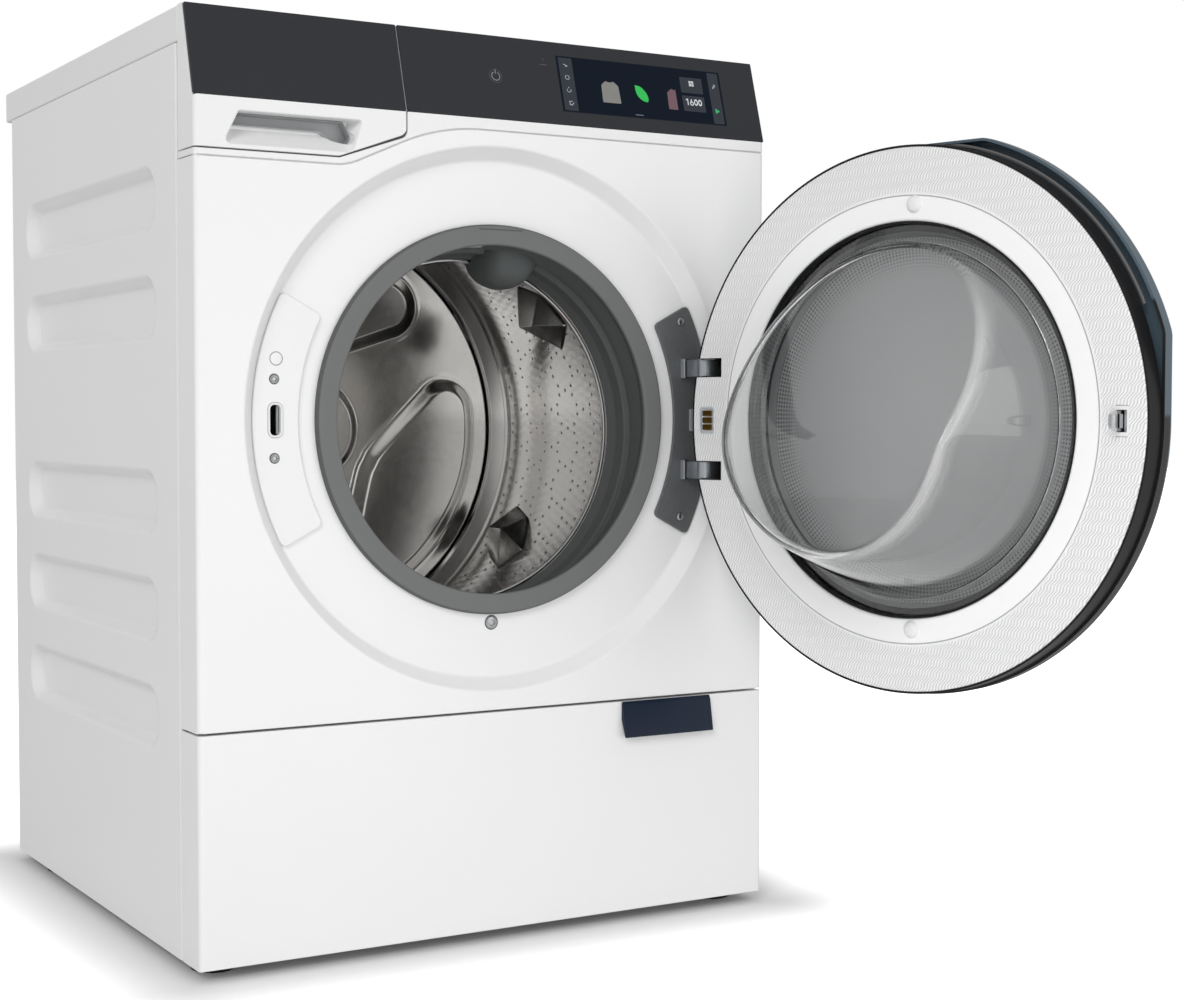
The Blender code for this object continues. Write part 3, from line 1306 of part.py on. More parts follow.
def dampers(machine):
    """Friction dampers from the base pan up to the tub's lower lugs."""
    foot_z = PAN_BOTTOM + PAN_WALL + GAP
    head_z = DRUM_Z - tub_surface(DAMPER_X) - LUG_RISE - GAP
    for name, side in (("damper_left", -1), ("damper_right", 1)):
        foot_point = Vector((side * DAMPER_FOOT_X, DAMPER_Y, foot_z))
        head_point = Vector((side * DAMPER_X, DAMPER_Y, head_z))
        line = head_point - foot_point
        tilt = atan(line.x / line.z)
        foot_drop = DAMPER_RADIUS * abs(tan(tilt))
        head_drop = DAMPER_ROD * abs(tan(tilt))
        length = line.length
        shift = foot_drop + GAP
        section = [
            (0.0, shift),
            (DAMPER_RADIUS, shift),
            (DAMPER_RADIUS, length * DAMPER_BODY_SHARE),
            (DAMPER_ROD, length * DAMPER_BODY_SHARE),
            (DAMPER_ROD, length - head_drop),
            (0.0, length - head_drop),
        ]
        shape = upright(turned(section, SMALL_ROUND))
        bmesh.ops.rotate(shape, verts=shape.verts, cent=(0, 0, 0), matrix=Matrix.Rotation(tilt, 3, "Y"))
        piece(name, moved(shape, *foot_point), "dark_plastic", machine, tuple(foot_point), round_piece=True)


def drive_parts(machine, drum, motor_shaft):
    """Motor, its pulley, the drum's pulley and the belt round both."""
    stator = drum_like(MOTOR_RADIUS, MOTOR_FRONT, MOTOR_FRONT + MOTOR_LENGTH, ROUND // 2)
    motor = piece("motor", moved(stator, MOTOR_X, 0.0, MOTOR_Z), "aluminium", machine,
                  (MOTOR_X, MOTOR_FRONT, MOTOR_Z), round_piece=True)
    bore_start = MOTOR_FRONT + MOTOR_LENGTH / 2
    bore_end = MOTOR_FRONT + MOTOR_LENGTH + OVERRUN
    bore = drum_like(MOTOR_SHAFT_RADIUS + SHAFT_PLAY, bore_start, bore_end, SMALL_ROUND)
    cut(motor, moved(bore, MOTOR_X, 0.0, MOTOR_Z))
    back = PULLEY_FRONT + PULLEY_WIDTH
    belt_front = PULLEY_FRONT + (PULLEY_WIDTH - BELT_WIDTH) / 2
    pinion = turned([
        (0.0, MOTOR_FRONT + MOTOR_LENGTH / 2 + SHAFT_PLAY),
        (MOTOR_SHAFT_RADIUS, MOTOR_FRONT + MOTOR_LENGTH / 2 + SHAFT_PLAY),
        (MOTOR_SHAFT_RADIUS, PULLEY_FRONT),
        (MOTOR_PULLEY_RADIUS, PULLEY_FRONT),
        (MOTOR_PULLEY_RADIUS, back),
        (0.0, back),
    ], SMALL_ROUND)
    piece("motor_pulley", pinion, "steel", motor_shaft, round_piece=True)
    web_front = (PULLEY_FRONT + back - PULLEY_WEB) / 2
    wheel = turned([
        (SHAFT_RADIUS + GAP, PULLEY_FRONT),
        (SHAFT_RADIUS * 2, PULLEY_FRONT),
        (SHAFT_RADIUS * 2, web_front),
        (PULLEY_RADIUS - PULLEY_RIM, web_front),
        (PULLEY_RADIUS - PULLEY_RIM, PULLEY_FRONT),
        (PULLEY_RADIUS, PULLEY_FRONT),
        (PULLEY_RADIUS, back),
        (PULLEY_RADIUS - PULLEY_RIM, back),
        (PULLEY_RADIUS - PULLEY_RIM, web_front + PULLEY_WEB),
        (SHAFT_RADIUS * 2, web_front + PULLEY_WEB),
        (SHAFT_RADIUS * 2, back),
        (SHAFT_RADIUS + GAP, back),
    ])
    piece("drum_pulley", wheel, "aluminium", drum, round_piece=True)
    inner = belt_line(BELT_PLAY)
    outer = belt_line(BELT_PLAY + BELT_THICKNESS)
    belt = piece("drive_belt", prism(outer, belt_front, belt_front + BELT_WIDTH), "black_rubber", machine,
                 (MOTOR_X, belt_front, MOTOR_Z))
    cut(belt, prism(inner, belt_front - OVERRUN, belt_front + BELT_WIDTH + OVERRUN))


def belt_line(offset):
    """Outline of a belt held a distance off both pulleys: two arcs joined by their tangents."""
    large, small = PULLEY_RADIUS + offset, MOTOR_PULLEY_RADIUS + offset
    across = Vector((MOTOR_X, MOTOR_Z - DRUM_Z))
    facing = atan2(across.y, across.x)
    spread = pi / 2 - atan2(large - small, (across.length ** 2 - (large - small) ** 2) ** 0.5)
    outline = []
    for step in range(ROUND + 1):
        angle = facing + spread + (tau - 2 * spread) * step / ROUND
        outline.append((large * cos(angle), DRUM_Z + large * sin(angle)))
    for step in range(SMALL_ROUND + 1):
        angle = facing - spread + 2 * spread * step / SMALL_ROUND
        outline.append((MOTOR_X + small * cos(angle), MOTOR_Z + small * sin(angle)))
    return outline


def lifter(angle, depth):
    """Faceted lifter: a six-cornered block from outside the drum's wall that narrows to a ridge."""
    half, reach = LIFTER_WIDTH / 2, LIFTER_LENGTH / 2
    foot_plan = [
        (-half, reach / 3), (-half / 3, reach), (half * 2 / 3, reach / 2),
        (half, -reach / 3), (half / 3, -reach), (-half * 2 / 3, -reach / 2),
    ]
    shape = bmesh.new()
    foot = []
    sole = []
    for across, along in foot_plan:
        turn = across / DRUM_RADIUS
        foot.append(shape.verts.new((DRUM_RADIUS * sin(turn), depth + along, DRUM_RADIUS * cos(turn))))
        outside = DRUM_RADIUS + OVERRUN
        sole.append(shape.verts.new((outside * sin(turn), depth + along, outside * cos(turn))))
    height = DRUM_RADIUS - LIFTER_HEIGHT
    ridge = [shape.verts.new((0.0, depth + end * LIFTER_RIDGE / 2, height)) for end in (1, -1)]
    tops = (0, 0, 0, 1, 1, 1)
    shape.faces.new(sole)
    for i in range(6):
        j = (i + 1) % 6
        shape.faces.new((sole[i], sole[j], foot[j], foot[i]))
        shape.faces.new((foot[i], foot[j], ridge[tops[i]]))
        if tops[j] != tops[i]:
            shape.faces.new((foot[j], ridge[tops[j]], ridge[tops[i]]))
    bmesh.ops.recalc_face_normals(shape, faces=shape.faces)
    turn = Matrix.Rotation(pi / 2 - angle, 3, "Y")
    bmesh.ops.rotate(shape, verts=shape.verts, cent=(0, 0, 0), matrix=turn)
    return shape


def emboss_outline(grow):
    """Bean-shaped field of the drum's back: an outer arc, two round ends and a waist at the hub."""
    cap_radius = EMBOSS_CAP_RADIUS + grow
    place_u, place_v = EMBOSS_CAP_PLACE * cos(EMBOSS_SPREAD), EMBOSS_CAP_PLACE * sin(EMBOSS_SPREAD)
    cap = []
    for step in range(ARC_STEPS + 1):
        angle = EMBOSS_SPREAD + (EMBOSS_CAP_TURN - EMBOSS_SPREAD) * step / ARC_STEPS
        cap.append((place_u + cap_radius * cos(angle), place_v + cap_radius * sin(angle)))
    waist = (EMBOSS_WAIST - grow, EMBOSS_WAIST_HALF)
    half = [*cap, waist]
    outline = [(u, -v) for u, v in reversed(half)]
    for step in range(1, ARC_STEPS):
        angle = EMBOSS_SPREAD * (2 * step / ARC_STEPS - 1)
        radius = EMBOSS_CAP_PLACE + cap_radius
        outline.append((radius * cos(angle), radius * sin(angle)))
    return outline + half


def drum_parts(drum):
    """Drum shell with its lifters, embossed back, spider, shaft and bearing seats."""
    wall = DRUM_WALL
    lip = DRUM_LIP
    corner_back = DRUM_BACK - DRUM_STEP
    section = [
        (DRUM_MOUTH, DRUM_FRONT),
        (DRUM_MOUTH + lip / 2, DRUM_FRONT - lip / 2),
        (DRUM_MOUTH + lip, DRUM_FRONT),
        (DRUM_RADIUS - DRUM_SHOULDER, DRUM_FRONT + lip),
        (DRUM_RADIUS, DRUM_FRONT + lip + DRUM_SHOULDER),
        (DRUM_RADIUS, corner_back),
        (DRUM_BACK_RADIUS, DRUM_BACK),
        (DRUM_BACK_RADIUS - wall, DRUM_BACK - wall),
        (DRUM_RADIUS - wall, corner_back - wall / 2),
        (DRUM_RADIUS - wall, DRUM_FRONT + lip + DRUM_SHOULDER + wall / 2),
        (DRUM_RADIUS - DRUM_SHOULDER, DRUM_FRONT + lip + wall),
        (DRUM_MOUTH + lip, DRUM_FRONT + lip),
        (DRUM_MOUTH, DRUM_FRONT + lip),
    ]
    shell = piece("drum_shell", turned(section), "stainless", drum, round_piece=True)
    bumps = bmesh.new()
    for i in range(LIFTER_COUNT):
        turn = tau * i / LIFTER_COUNT
        merge_into(bumps, lifter(LIFTER_PHASE + turn, LIFTER_FRONT_Y))
        merge_into(bumps, lifter(-LIFTER_PHASE + turn, LIFTER_BACK_Y))
    add(shell, bumps)
    lifters = shell.modifiers[-1].object
    combine(lifters, drum_like(DRUM_RADIUS - wall / 2, DRUM_FRONT, DRUM_BACK), "INTERSECT")
    disc_front = DRUM_BACK + GAP
    disc = turned([
        (SHAFT_RADIUS + GAP, disc_front), (DRUM_BACK_RADIUS, disc_front),
        (DRUM_BACK_RADIUS, disc_front + wall), (SHAFT_RADIUS + GAP, disc_front + wall),
    ])
    back = piece("drum_rear", disc, "stainless", drum, round_piece=True)
    for grow, low, high, action in (
        (wall, disc_front - EMBOSS_DEPTH - wall, disc_front + wall / 2, add),
        (0.0, disc_front - EMBOSS_DEPTH, disc_front + OVERRUN / 2, cut),
    ):
        fields = bmesh.new()
        for i in range(EMBOSS_COUNT):
            field = tapered(emboss_outline(grow - EMBOSS_SLOPE), emboss_outline(grow), low, high)
            turn = Matrix.Rotation(-EMBOSS_PHASE - tau * i / EMBOSS_COUNT, 3, "Y")
            bmesh.ops.rotate(field, verts=field.verts, cent=(0, 0, 0), matrix=turn)
            merge_into(fields, field)
        action(back, fields)
    spider_front = disc_front + wall + GAP
    hub = turned([
        (SHAFT_RADIUS + GAP, spider_front), (SPIDER_HUB_RADIUS, spider_front),
        (SPIDER_HUB_RADIUS, spider_front + SPIDER_ARM_THICKNESS),
        (SHAFT_RADIUS + GAP, spider_front + SPIDER_ARM_THICKNESS),
    ], ROUND // 2)
    spider = piece("drum_spider", hub, "aluminium", drum, round_piece=True)
    arms = bmesh.new()
    for i in range(EMBOSS_COUNT):
        arm = box(
            (SPIDER_HUB_RADIUS - SPIDER_ARM_THICKNESS, spider_front, -SPIDER_ARM_WIDTH / 2),
            (DRUM_BACK_RADIUS, spider_front + SPIDER_ARM_THICKNESS, SPIDER_ARM_WIDTH / 2),
        )
        turn = -EMBOSS_PHASE - (tau * i + pi) / EMBOSS_COUNT
        bmesh.ops.rotate(arm, verts=arm.verts, cent=(0, 0, 0), matrix=Matrix.Rotation(turn, 3, "Y"))
        merge_into(arms, arm)
    add(spider, arms)
    end = PULLEY_FRONT + PULLEY_WIDTH
    shaft = turned([
        (0.0, disc_front), (SHAFT_RADIUS, disc_front), (SHAFT_RADIUS, end), (0.0, end),
    ], ROUND // 2)
    piece("drum_shaft", shaft, "steel", drum, round_piece=True)


def drum_bearing(machine):
    """Bearing unit pressed into the tub's hub."""
    back = TUB_BACK + TUB_HUB_LENGTH
    inner = SHAFT_RADIUS + SHAFT_PLAY
    shape = tube_shape(inner, BEARING_RADIUS, back - BEARING_LENGTH + TUB_WALL * 2, back, ROUND // 2)
    piece("drum_bearing", moved(shape, z=DRUM_Z), "steel", machine, (0.0, back, DRUM_Z), round_piece=True)


def spray_nozzle(machine):
    """Nozzle that hangs from the top of the seal."""
    front = NOZZLE_Y - NOZZLE_RADIUS
    back = NOZZLE_Y + NOZZLE_RADIUS
    top = seal_centre(NOZZLE_Y) + (seal_bore(NOZZLE_Y) ** 2 - NOZZLE_X ** 2) ** 0.5
    section = [
        (0.0, -NOZZLE_HEIGHT),
        (NOZZLE_NECK, -NOZZLE_HEIGHT),
        (NOZZLE_RADIUS, -NOZZLE_HEIGHT * 2 / 3),
        (NOZZLE_RADIUS, -NOZZLE_HEIGHT / 2),
        (NOZZLE_NECK, -NOZZLE_HEIGHT / 3),
        (NOZZLE_NECK, SEAL_THICKNESS),
        (0.0, SEAL_THICKNESS),
    ]
    shape = moved(upright(turned(section, SMALL_ROUND)), NOZZLE_X, NOZZLE_Y, top)
    place = (NOZZLE_X, NOZZLE_Y, top)
    nozzle = piece("spray_nozzle", shape, "dark_plastic", machine, place, round_piece=True)
    skin = turned([
        (seal_bore(front) - GAP, front), (SEAL_FOLD_RADIUS, front),
        (SEAL_FOLD_RADIUS, back), (seal_bore(back) - GAP, back),
    ])
    for vert in skin.verts:
        vert.co.z += seal_centre(vert.co.y)
    cut(nozzle, skin)


def door_outline():
    """Outline of the door's shell: a circle whose latch-side upper quarter is filled to a wider arc."""
    radius, wide = SHELL_RADIUS, SHELL_LOBE_RADIUS
    touch = atan2((wide ** 2 - radius ** 2) ** 0.5, radius)
    outline = []
    for step in range(ROUND * 3 // 4 + 1):
        angle = pi + (3 * pi / 2) * step / (ROUND * 3 // 4)
        outline.append((radius * cos(angle), radius * sin(angle)))
    for step in range(ARC_STEPS * 2 + 1):
        angle = pi / 2 + touch + (pi / 2 - 2 * touch) * step / (ARC_STEPS * 2)
        outline.append((wide * cos(angle), wide * sin(angle)))
    return outline


def scaled_outline(outline, inset):
    """Outline drawn in towards its centre by an inset."""
    drawn = []
    for u, v in outline:
        radius = hypot(u, v)
        drawn.append((u * (radius - inset) / radius, v * (radius - inset) / radius))
    return drawn


def arm_slots(front, back):
    """Cutters for the two hinge windows at the door's edge, between two depths."""
    corners = []
    for place in ARM_PLACES:
        half = ARM_SLOT_HEIGHT / 2
        corners.append((
            (ARM_SLOT_INNER, front, place - half),
            (SHELL_RADIUS + OVERRUN, back, place + half),
        ))
    return boxes(corners)


def door_parts(pivot):
    """Every piece of the door, in closed position about its own centre, carried by the pivot."""
    centre = carrier("door_centre", (-PIVOT_X, -PIVOT_Y, 0.0), pivot)
    face = DOOR_FACE_Y
    ring_front = face - RING_THICKNESS
    ring_radius = DOOR_RADIUS - RIM_WALL - GAP
    ring = piece("door_ring", turned([
        (RING_INNER, ring_front), (ring_radius, ring_front), (ring_radius, face), (RING_INNER, face),
    ]), "white_plastic", centre, round_piece=True)
    buffers = bmesh.new()
    for place in BUFFER_PLACES:
        bump = turned([
            (0.0, face - RING_THICKNESS / 2), (BUFFER_RADIUS, face - RING_THICKNESS / 2),
            (BUFFER_RADIUS, face), (BUFFER_RADIUS / 2, face + BUFFER_HEIGHT), (0.0, face + BUFFER_HEIGHT),
        ], SMALL_ROUND)
        merge_into(buffers, moved(bump, -BUFFER_SIDE, 0.0, place))
    add(ring, buffers)
    slot_front = face - ARM_SLOT_DEPTH
    cut(ring, arm_slots(slot_front, face + OVERRUN))
    rim_back = face - RIM_BACK
    rim = piece("door_rim", turned([
        (RIM_INNER, rim_back), (DOOR_RADIUS, rim_back), (DOOR_RADIUS, face - RIM_FALL),
        (DOOR_RADIUS - RIM_WALL, face - RIM_FALL),
        (DOOR_RADIUS - RIM_WALL, ring_front - GAP),
        (RIM_INNER, ring_front - GAP),
    ]), "dark_plastic", centre, round_piece=True)
    add(rim, boxes(knuckle_boxes(rim_back)))
    cut(rim, arm_slots(slot_front, face + OVERRUN))
    bore = upright(drum_like(PIN_RADIUS + GAP, -PIN_TOP - OVERRUN, PIN_TOP + OVERRUN, SMALL_ROUND))
    cut(rim, moved(bore, PIVOT_X, PIVOT_Y))
    pin = upright(drum_like(PIN_RADIUS, -PIN_TOP, PIN_TOP, SMALL_ROUND))
    pin = moved(pin, PIVOT_X, PIVOT_Y)
    piece("hinge_pin", pin, "steel", centre, (PIVOT_X, PIVOT_Y, 0.0), round_piece=True)
    shell_back = rim_back - GAP
    shell_front = face - SHELL_FRONT
    outline = door_outline()
    soft = SHELL_CHAMFER * SHELL_SOFT_SHARE
    shell = piece("door_shell", stepped([
        (scaled_outline(outline, SHELL_CHAMFER), shell_front),
        (scaled_outline(outline, soft), shell_front + soft),
        (outline, shell_front + SHELL_CHAMFER),
        (outline, shell_back),
    ]), "blue_shell", centre, round_piece=True)
    hollow = scaled_outline(outline, SHELL_WALL)
    deep = scaled_outline(outline, SHELL_CHAMFER + SHELL_WALL)
    cut(shell, prism(hollow, shell_front + SHELL_CHAMFER, shell_back + OVERRUN))
    bottom = shell_front + SHELL_WALL
    wide = scaled_outline(outline, SHELL_WALL + GAP)
    cut(shell, tapered(deep, wide, bottom, shell_front + SHELL_CHAMFER + GAP))
    cut(shell, drum_like(SHELL_INNER, shell_front - OVERRUN, shell_back + OVERRUN))
    cut(shell, arm_slots(slot_front, face))
    ledge = SHELL_INNER + WINDOW_LEDGE
    window_front = shell_front + SHELL_WALL + GAP
    piece("door_window", turned([
        (0.0, window_front),
        (ledge, window_front),
        (ledge, window_front + WINDOW_THICKNESS),
        (0.0, window_front + WINDOW_THICKNESS),
    ]), "tinted_glass", centre, round_piece=True)
    bowl_parts(centre, ring_front)
    latch_parts(centre)


def knuckle_boxes(rim_back):
    """Blocks on the rim that hold the pin above, between and below the two arms."""
    left, right = PIVOT_X - KNUCKLE_LEFT, PIVOT_X + KNUCKLE_RIGHT
    front = PIVOT_Y - KNUCKLE_FRONT
    upper, lower = ARM_PLACES
    half = ARM_SLOT_HEIGHT / 2
    spans = (
        (upper + half, PIN_TOP + GAP), (lower + half, upper - half), (-PIN_TOP - GAP, lower - half),
    )
    return [((left, front, low), (right, rim_back + RIM_WALL, high)) for low, high in spans]


def bowl_parts(centre, ring_front):
    """Glass bowl: a flange behind the ring, a wall that narrows and a face that slopes at the top.

    Below its fold the face is level and deepest. Above the fold it slopes back and meets the wall
    close behind the flange at the bowl's top.
    """
    wall = BOWL_WALL
    flange_back = ring_front + BOWL_FLANGE
    start = flange_back + wall
    end = DOOR_FACE_Y + BOWL_DEPTH
    taper = BOWL_TAPER / (end - start)
    slope = (end - start - BOWL_TOP) / (BOWL_MOUTH - taper * BOWL_TOP + BOWL_FOLD)
    outer = bowl_skin(BOWL_MOUTH, start, end, -BOWL_FOLD, taper, slope)
    inner_radius = BOWL_MOUTH + taper * wall - wall * hypot(1, taper)
    inner_fold = -BOWL_FOLD - wall * (hypot(1, slope) - 1) / slope
    inner = bowl_skin(inner_radius, flange_back, end - wall, inner_fold, taper, slope)
    rings = [
        circle_ring(BOWL_RIM, ring_front),
        circle_ring(BOWL_RIM, flange_back),
        circle_ring(BOWL_MOUTH, start),
        *outer,
        *reversed(inner),
        circle_ring(inner_radius, flange_back),
        circle_ring(inner_radius, ring_front),
    ]
    shape = bmesh.new()
    rows = [[shape.verts.new(point) for point in ring] for ring in rings]
    turn = 2 + len(outer)
    for k, row in enumerate(rows):
        if k == turn:
            continue
        following = rows[(k + 1) % len(rows)]
        for i in range(ROUND):
            j = (i + 1) % ROUND
            shape.faces.new((row[i], following[i], following[j], row[j]))
    hearts = ((0.0, end, -BOWL_FOLD), (0.0, end - wall, inner_fold))
    for row, heart in zip(rows[turn:], hearts):
        middle = shape.verts.new(heart)
        for i in range(ROUND):
            shape.faces.new((row[i], middle, row[(i + 1) % ROUND]))
    bmesh.ops.recalc_face_normals(shape, faces=shape.faces)
    piece("door_bowl", shape, "clear_glass", centre, round_piece=True)


def circle_ring(radius, depth):
    """Points of a circle about the Y axis."""
    turns = [tau * i / ROUND for i in range(ROUND)]
    return [(radius * cos(turn), depth, radius * sin(turn)) for turn in turns]


def bowl_skin(radius, start, end, fold, taper, slope):
    """Two rings of one skin of the bowl, where its wall ends and where its face begins.

    The wall starts with the given radius and narrows by the taper for each length of depth. The
    face lies at the end below the fold and comes back by the slope for each length above it.
    """
    level = radius - taper * (end - start)
    heart = Vector((0.0, end, fold))
    wall_ring, face_ring = [], []
    for i in range(ROUND):
        side, rise = cos(tau * i / ROUND), sin(tau * i / ROUND)
        sloped = (radius - taper * (end + slope * fold - start)) / (1 - taper * slope * rise)
        reach = max(level, sloped)
        depth = start + (radius - reach) / taper
        edge = min(BOWL_EDGE, (depth - start) / 2)
        rim = Vector((reach * side, depth, reach * rise))
        wall_ring.append(rim + edge * Vector((taper * side, -1.0, taper * rise)))
        face_ring.append(rim + edge * (heart - rim).normalized())
    return [wall_ring, face_ring]


def latch_parts(centre):
    """Latch hook on the free side and the lamp's contacts on the hinge side."""
    face = DOOR_FACE_Y + GAP
    hook = piece("door_latch", box(
        (-LOCK_SLOT_X - LATCH_BASE_WIDTH / 2, face, -LATCH_BASE_HEIGHT / 2),
        (-LOCK_SLOT_X + LATCH_BASE_WIDTH / 2, face + LATCH_BASE, LATCH_BASE_HEIGHT / 2),
    ), "chrome", centre, (-LOCK_SLOT_X, face, 0.0))
    half = LATCH_THICKNESS / 2
    add(hook, box(
        (-LOCK_SLOT_X - half, face + LATCH_BASE / 2, -LATCH_HEIGHT / 2),
        (-LOCK_SLOT_X + half, face + LATCH_NOSE, LATCH_HEIGHT / 2),
    ))
    eye_middle = face + LATCH_BASE + (LATCH_NOSE - LATCH_BASE) / 2
    cut(hook, box(
        (-LOCK_SLOT_X - half - OVERRUN, eye_middle - LATCH_EYE / 2, -LATCH_EYE / 2),
        (-LOCK_SLOT_X + half + OVERRUN, eye_middle + LATCH_EYE / 2, LATCH_EYE / 2),
    ))
    piece("door_contacts", box(
        (CONTACT_X - CONTACT_WIDTH / 2, face, -CONTACT_HEIGHT / 2),
        (CONTACT_X + CONTACT_WIDTH / 2, face + CONTACT_DEPTH, CONTACT_HEIGHT / 2),
    ), "gold", centre, (CONTACT_X, face, 0.0))


def flap_parts(pivot):
    """Lower flap with its folded edges, and the tab that it is pulled open by."""
    back, front = RETURN_DEPTH - FLAP_PIVOT_Y, -FLAP_PIVOT_Y
    bottom = FLOOR_GAP - FLAP_PIVOT_Z
    top = LOWER_SEAM - SEAM / 2 - FLAP_PIVOT_Z
    outline = [(front, bottom), (back, bottom), (back, top - FLAP_TOP_FALL), (front, top)]
    flap = piece("service_flap", prism(outline, -HALF_WIDTH, HALF_WIDTH, axis="X"), "white_enamel", pivot)
    wall = FRONT_WALL
    inner = [
        (front + wall, bottom - OVERRUN), (back + OVERRUN, bottom - OVERRUN),
        (back + OVERRUN, top - FLAP_TOP_FALL - wall), (front + wall, top - wall),
    ]
    cut(flap, prism(inner, -HALF_WIDTH + SHEET, HALF_WIDTH - SHEET, axis="X"))
    bores = flap_pins(FLAP_PIN_RADIUS + GAP, [(-HALF_WIDTH - OVERRUN, HALF_WIDTH + OVERRUN)])
    cut(flap, moved(bores, 0.0, -FLAP_PIVOT_Y, -FLAP_PIVOT_Z))
    lean = TAB_REACH / TAB_HEIGHT
    seat = front - GAP
    low = top - TAB_HEIGHT
    wedge = [
        (seat, top - TAB_BEVEL / 2),
        (seat, low + TAB_HEIGHT / 2),
        (seat - TAB_REACH + TAB_THICKNESS, low),
        (seat - TAB_REACH, low),
        (seat - TAB_THICKNESS - lean * TAB_BEVEL, top - TAB_BEVEL),
        (seat - TAB_THICKNESS / 2, top),
    ]
    piece("flap_tab", prism(wedge, TAB_LEFT, TAB_RIGHT, axis="X"), "navy", pivot, (TAB_LEFT, front, top))


def containers(machine):
    """Two detergent containers behind the flap, each with its filling mouth."""
    bottom = PAN_BOTTOM + PAN_WALL + GAP
    for i in range(2):
        left = CONTAINER_LEFT + CONTAINER_SPACING * i
        low = (left, CONTAINER_FRONT, bottom)
        high = (left + CONTAINER_WIDTH, CONTAINER_FRONT + CONTAINER_LENGTH, bottom + CONTAINER_HEIGHT)
        item = piece(f"dosing_container_{i + 1}", box(low, high), "white_plastic", machine, low)
        round_edges(item, CONTAINER_ROUNDING)
        wall = CONTAINER_WALL
        cut(item, box([a + wall for a in low], [b - wall for b in high]))
        mouth = upright(drum_like(CONTAINER_MOUTH, -OVERRUN, OVERRUN, SMALL_ROUND))
        middle = left + CONTAINER_WIDTH / 2
        cut(item, moved(mouth, middle, CONTAINER_FRONT + CONTAINER_WIDTH / 2, high[2]))


def pump_parts(machine, cap):
    """Drain pump behind the flap, on its foot, and the filter cap in front of it."""
    back = PUMP_FRONT + PUMP_LENGTH
    neck = PUMP_FRONT + PUMP_LENGTH * PUMP_NECK_SHARE
    body = turned([
        (0.0, PUMP_FRONT), (PUMP_RADIUS, PUMP_FRONT), (PUMP_RADIUS, neck),
        (PUMP_MOTOR_RADIUS, neck), (PUMP_MOTOR_RADIUS, back), (0.0, back),
    ], ROUND // 2)
    pump = piece("drain_pump", moved(body, PUMP_X, 0.0, PUMP_Z), "dark_plastic", machine,
                 (PUMP_X, PUMP_FRONT, PUMP_Z), round_piece=True)
    floor = PAN_BOTTOM + PAN_WALL + GAP
    add(pump, box(
        (PUMP_X - PUMP_MOTOR_RADIUS / 2, PUMP_FRONT + TUB_WALL, floor),
        (PUMP_X + PUMP_MOTOR_RADIUS / 2, neck - TUB_WALL, PUMP_Z - PUMP_MOTOR_RADIUS),
    ))
    start = -GAP
    disc = turned([
        (0.0, start - CAP_DEPTH), (CAP_RADIUS - TUB_WALL, start - CAP_DEPTH),
        (CAP_RADIUS, start - CAP_DEPTH + TUB_WALL), (CAP_RADIUS, start), (0.0, start),
    ], ROUND // 2)
    item = piece("filter_cap", disc, "grey_plastic", cap, round_piece=True)
    for side in (-1, 1):
        middle = side * (CAP_BAR / 2 + CAP_RADIUS) / 2
        cut(item, box(
            (middle - CAP_RADIUS / 4, start - CAP_DEPTH - OVERRUN, -CAP_RADIUS / 2),
            (middle + CAP_RADIUS / 4, start - CAP_DEPTH / 2, CAP_RADIUS / 2),
        ))


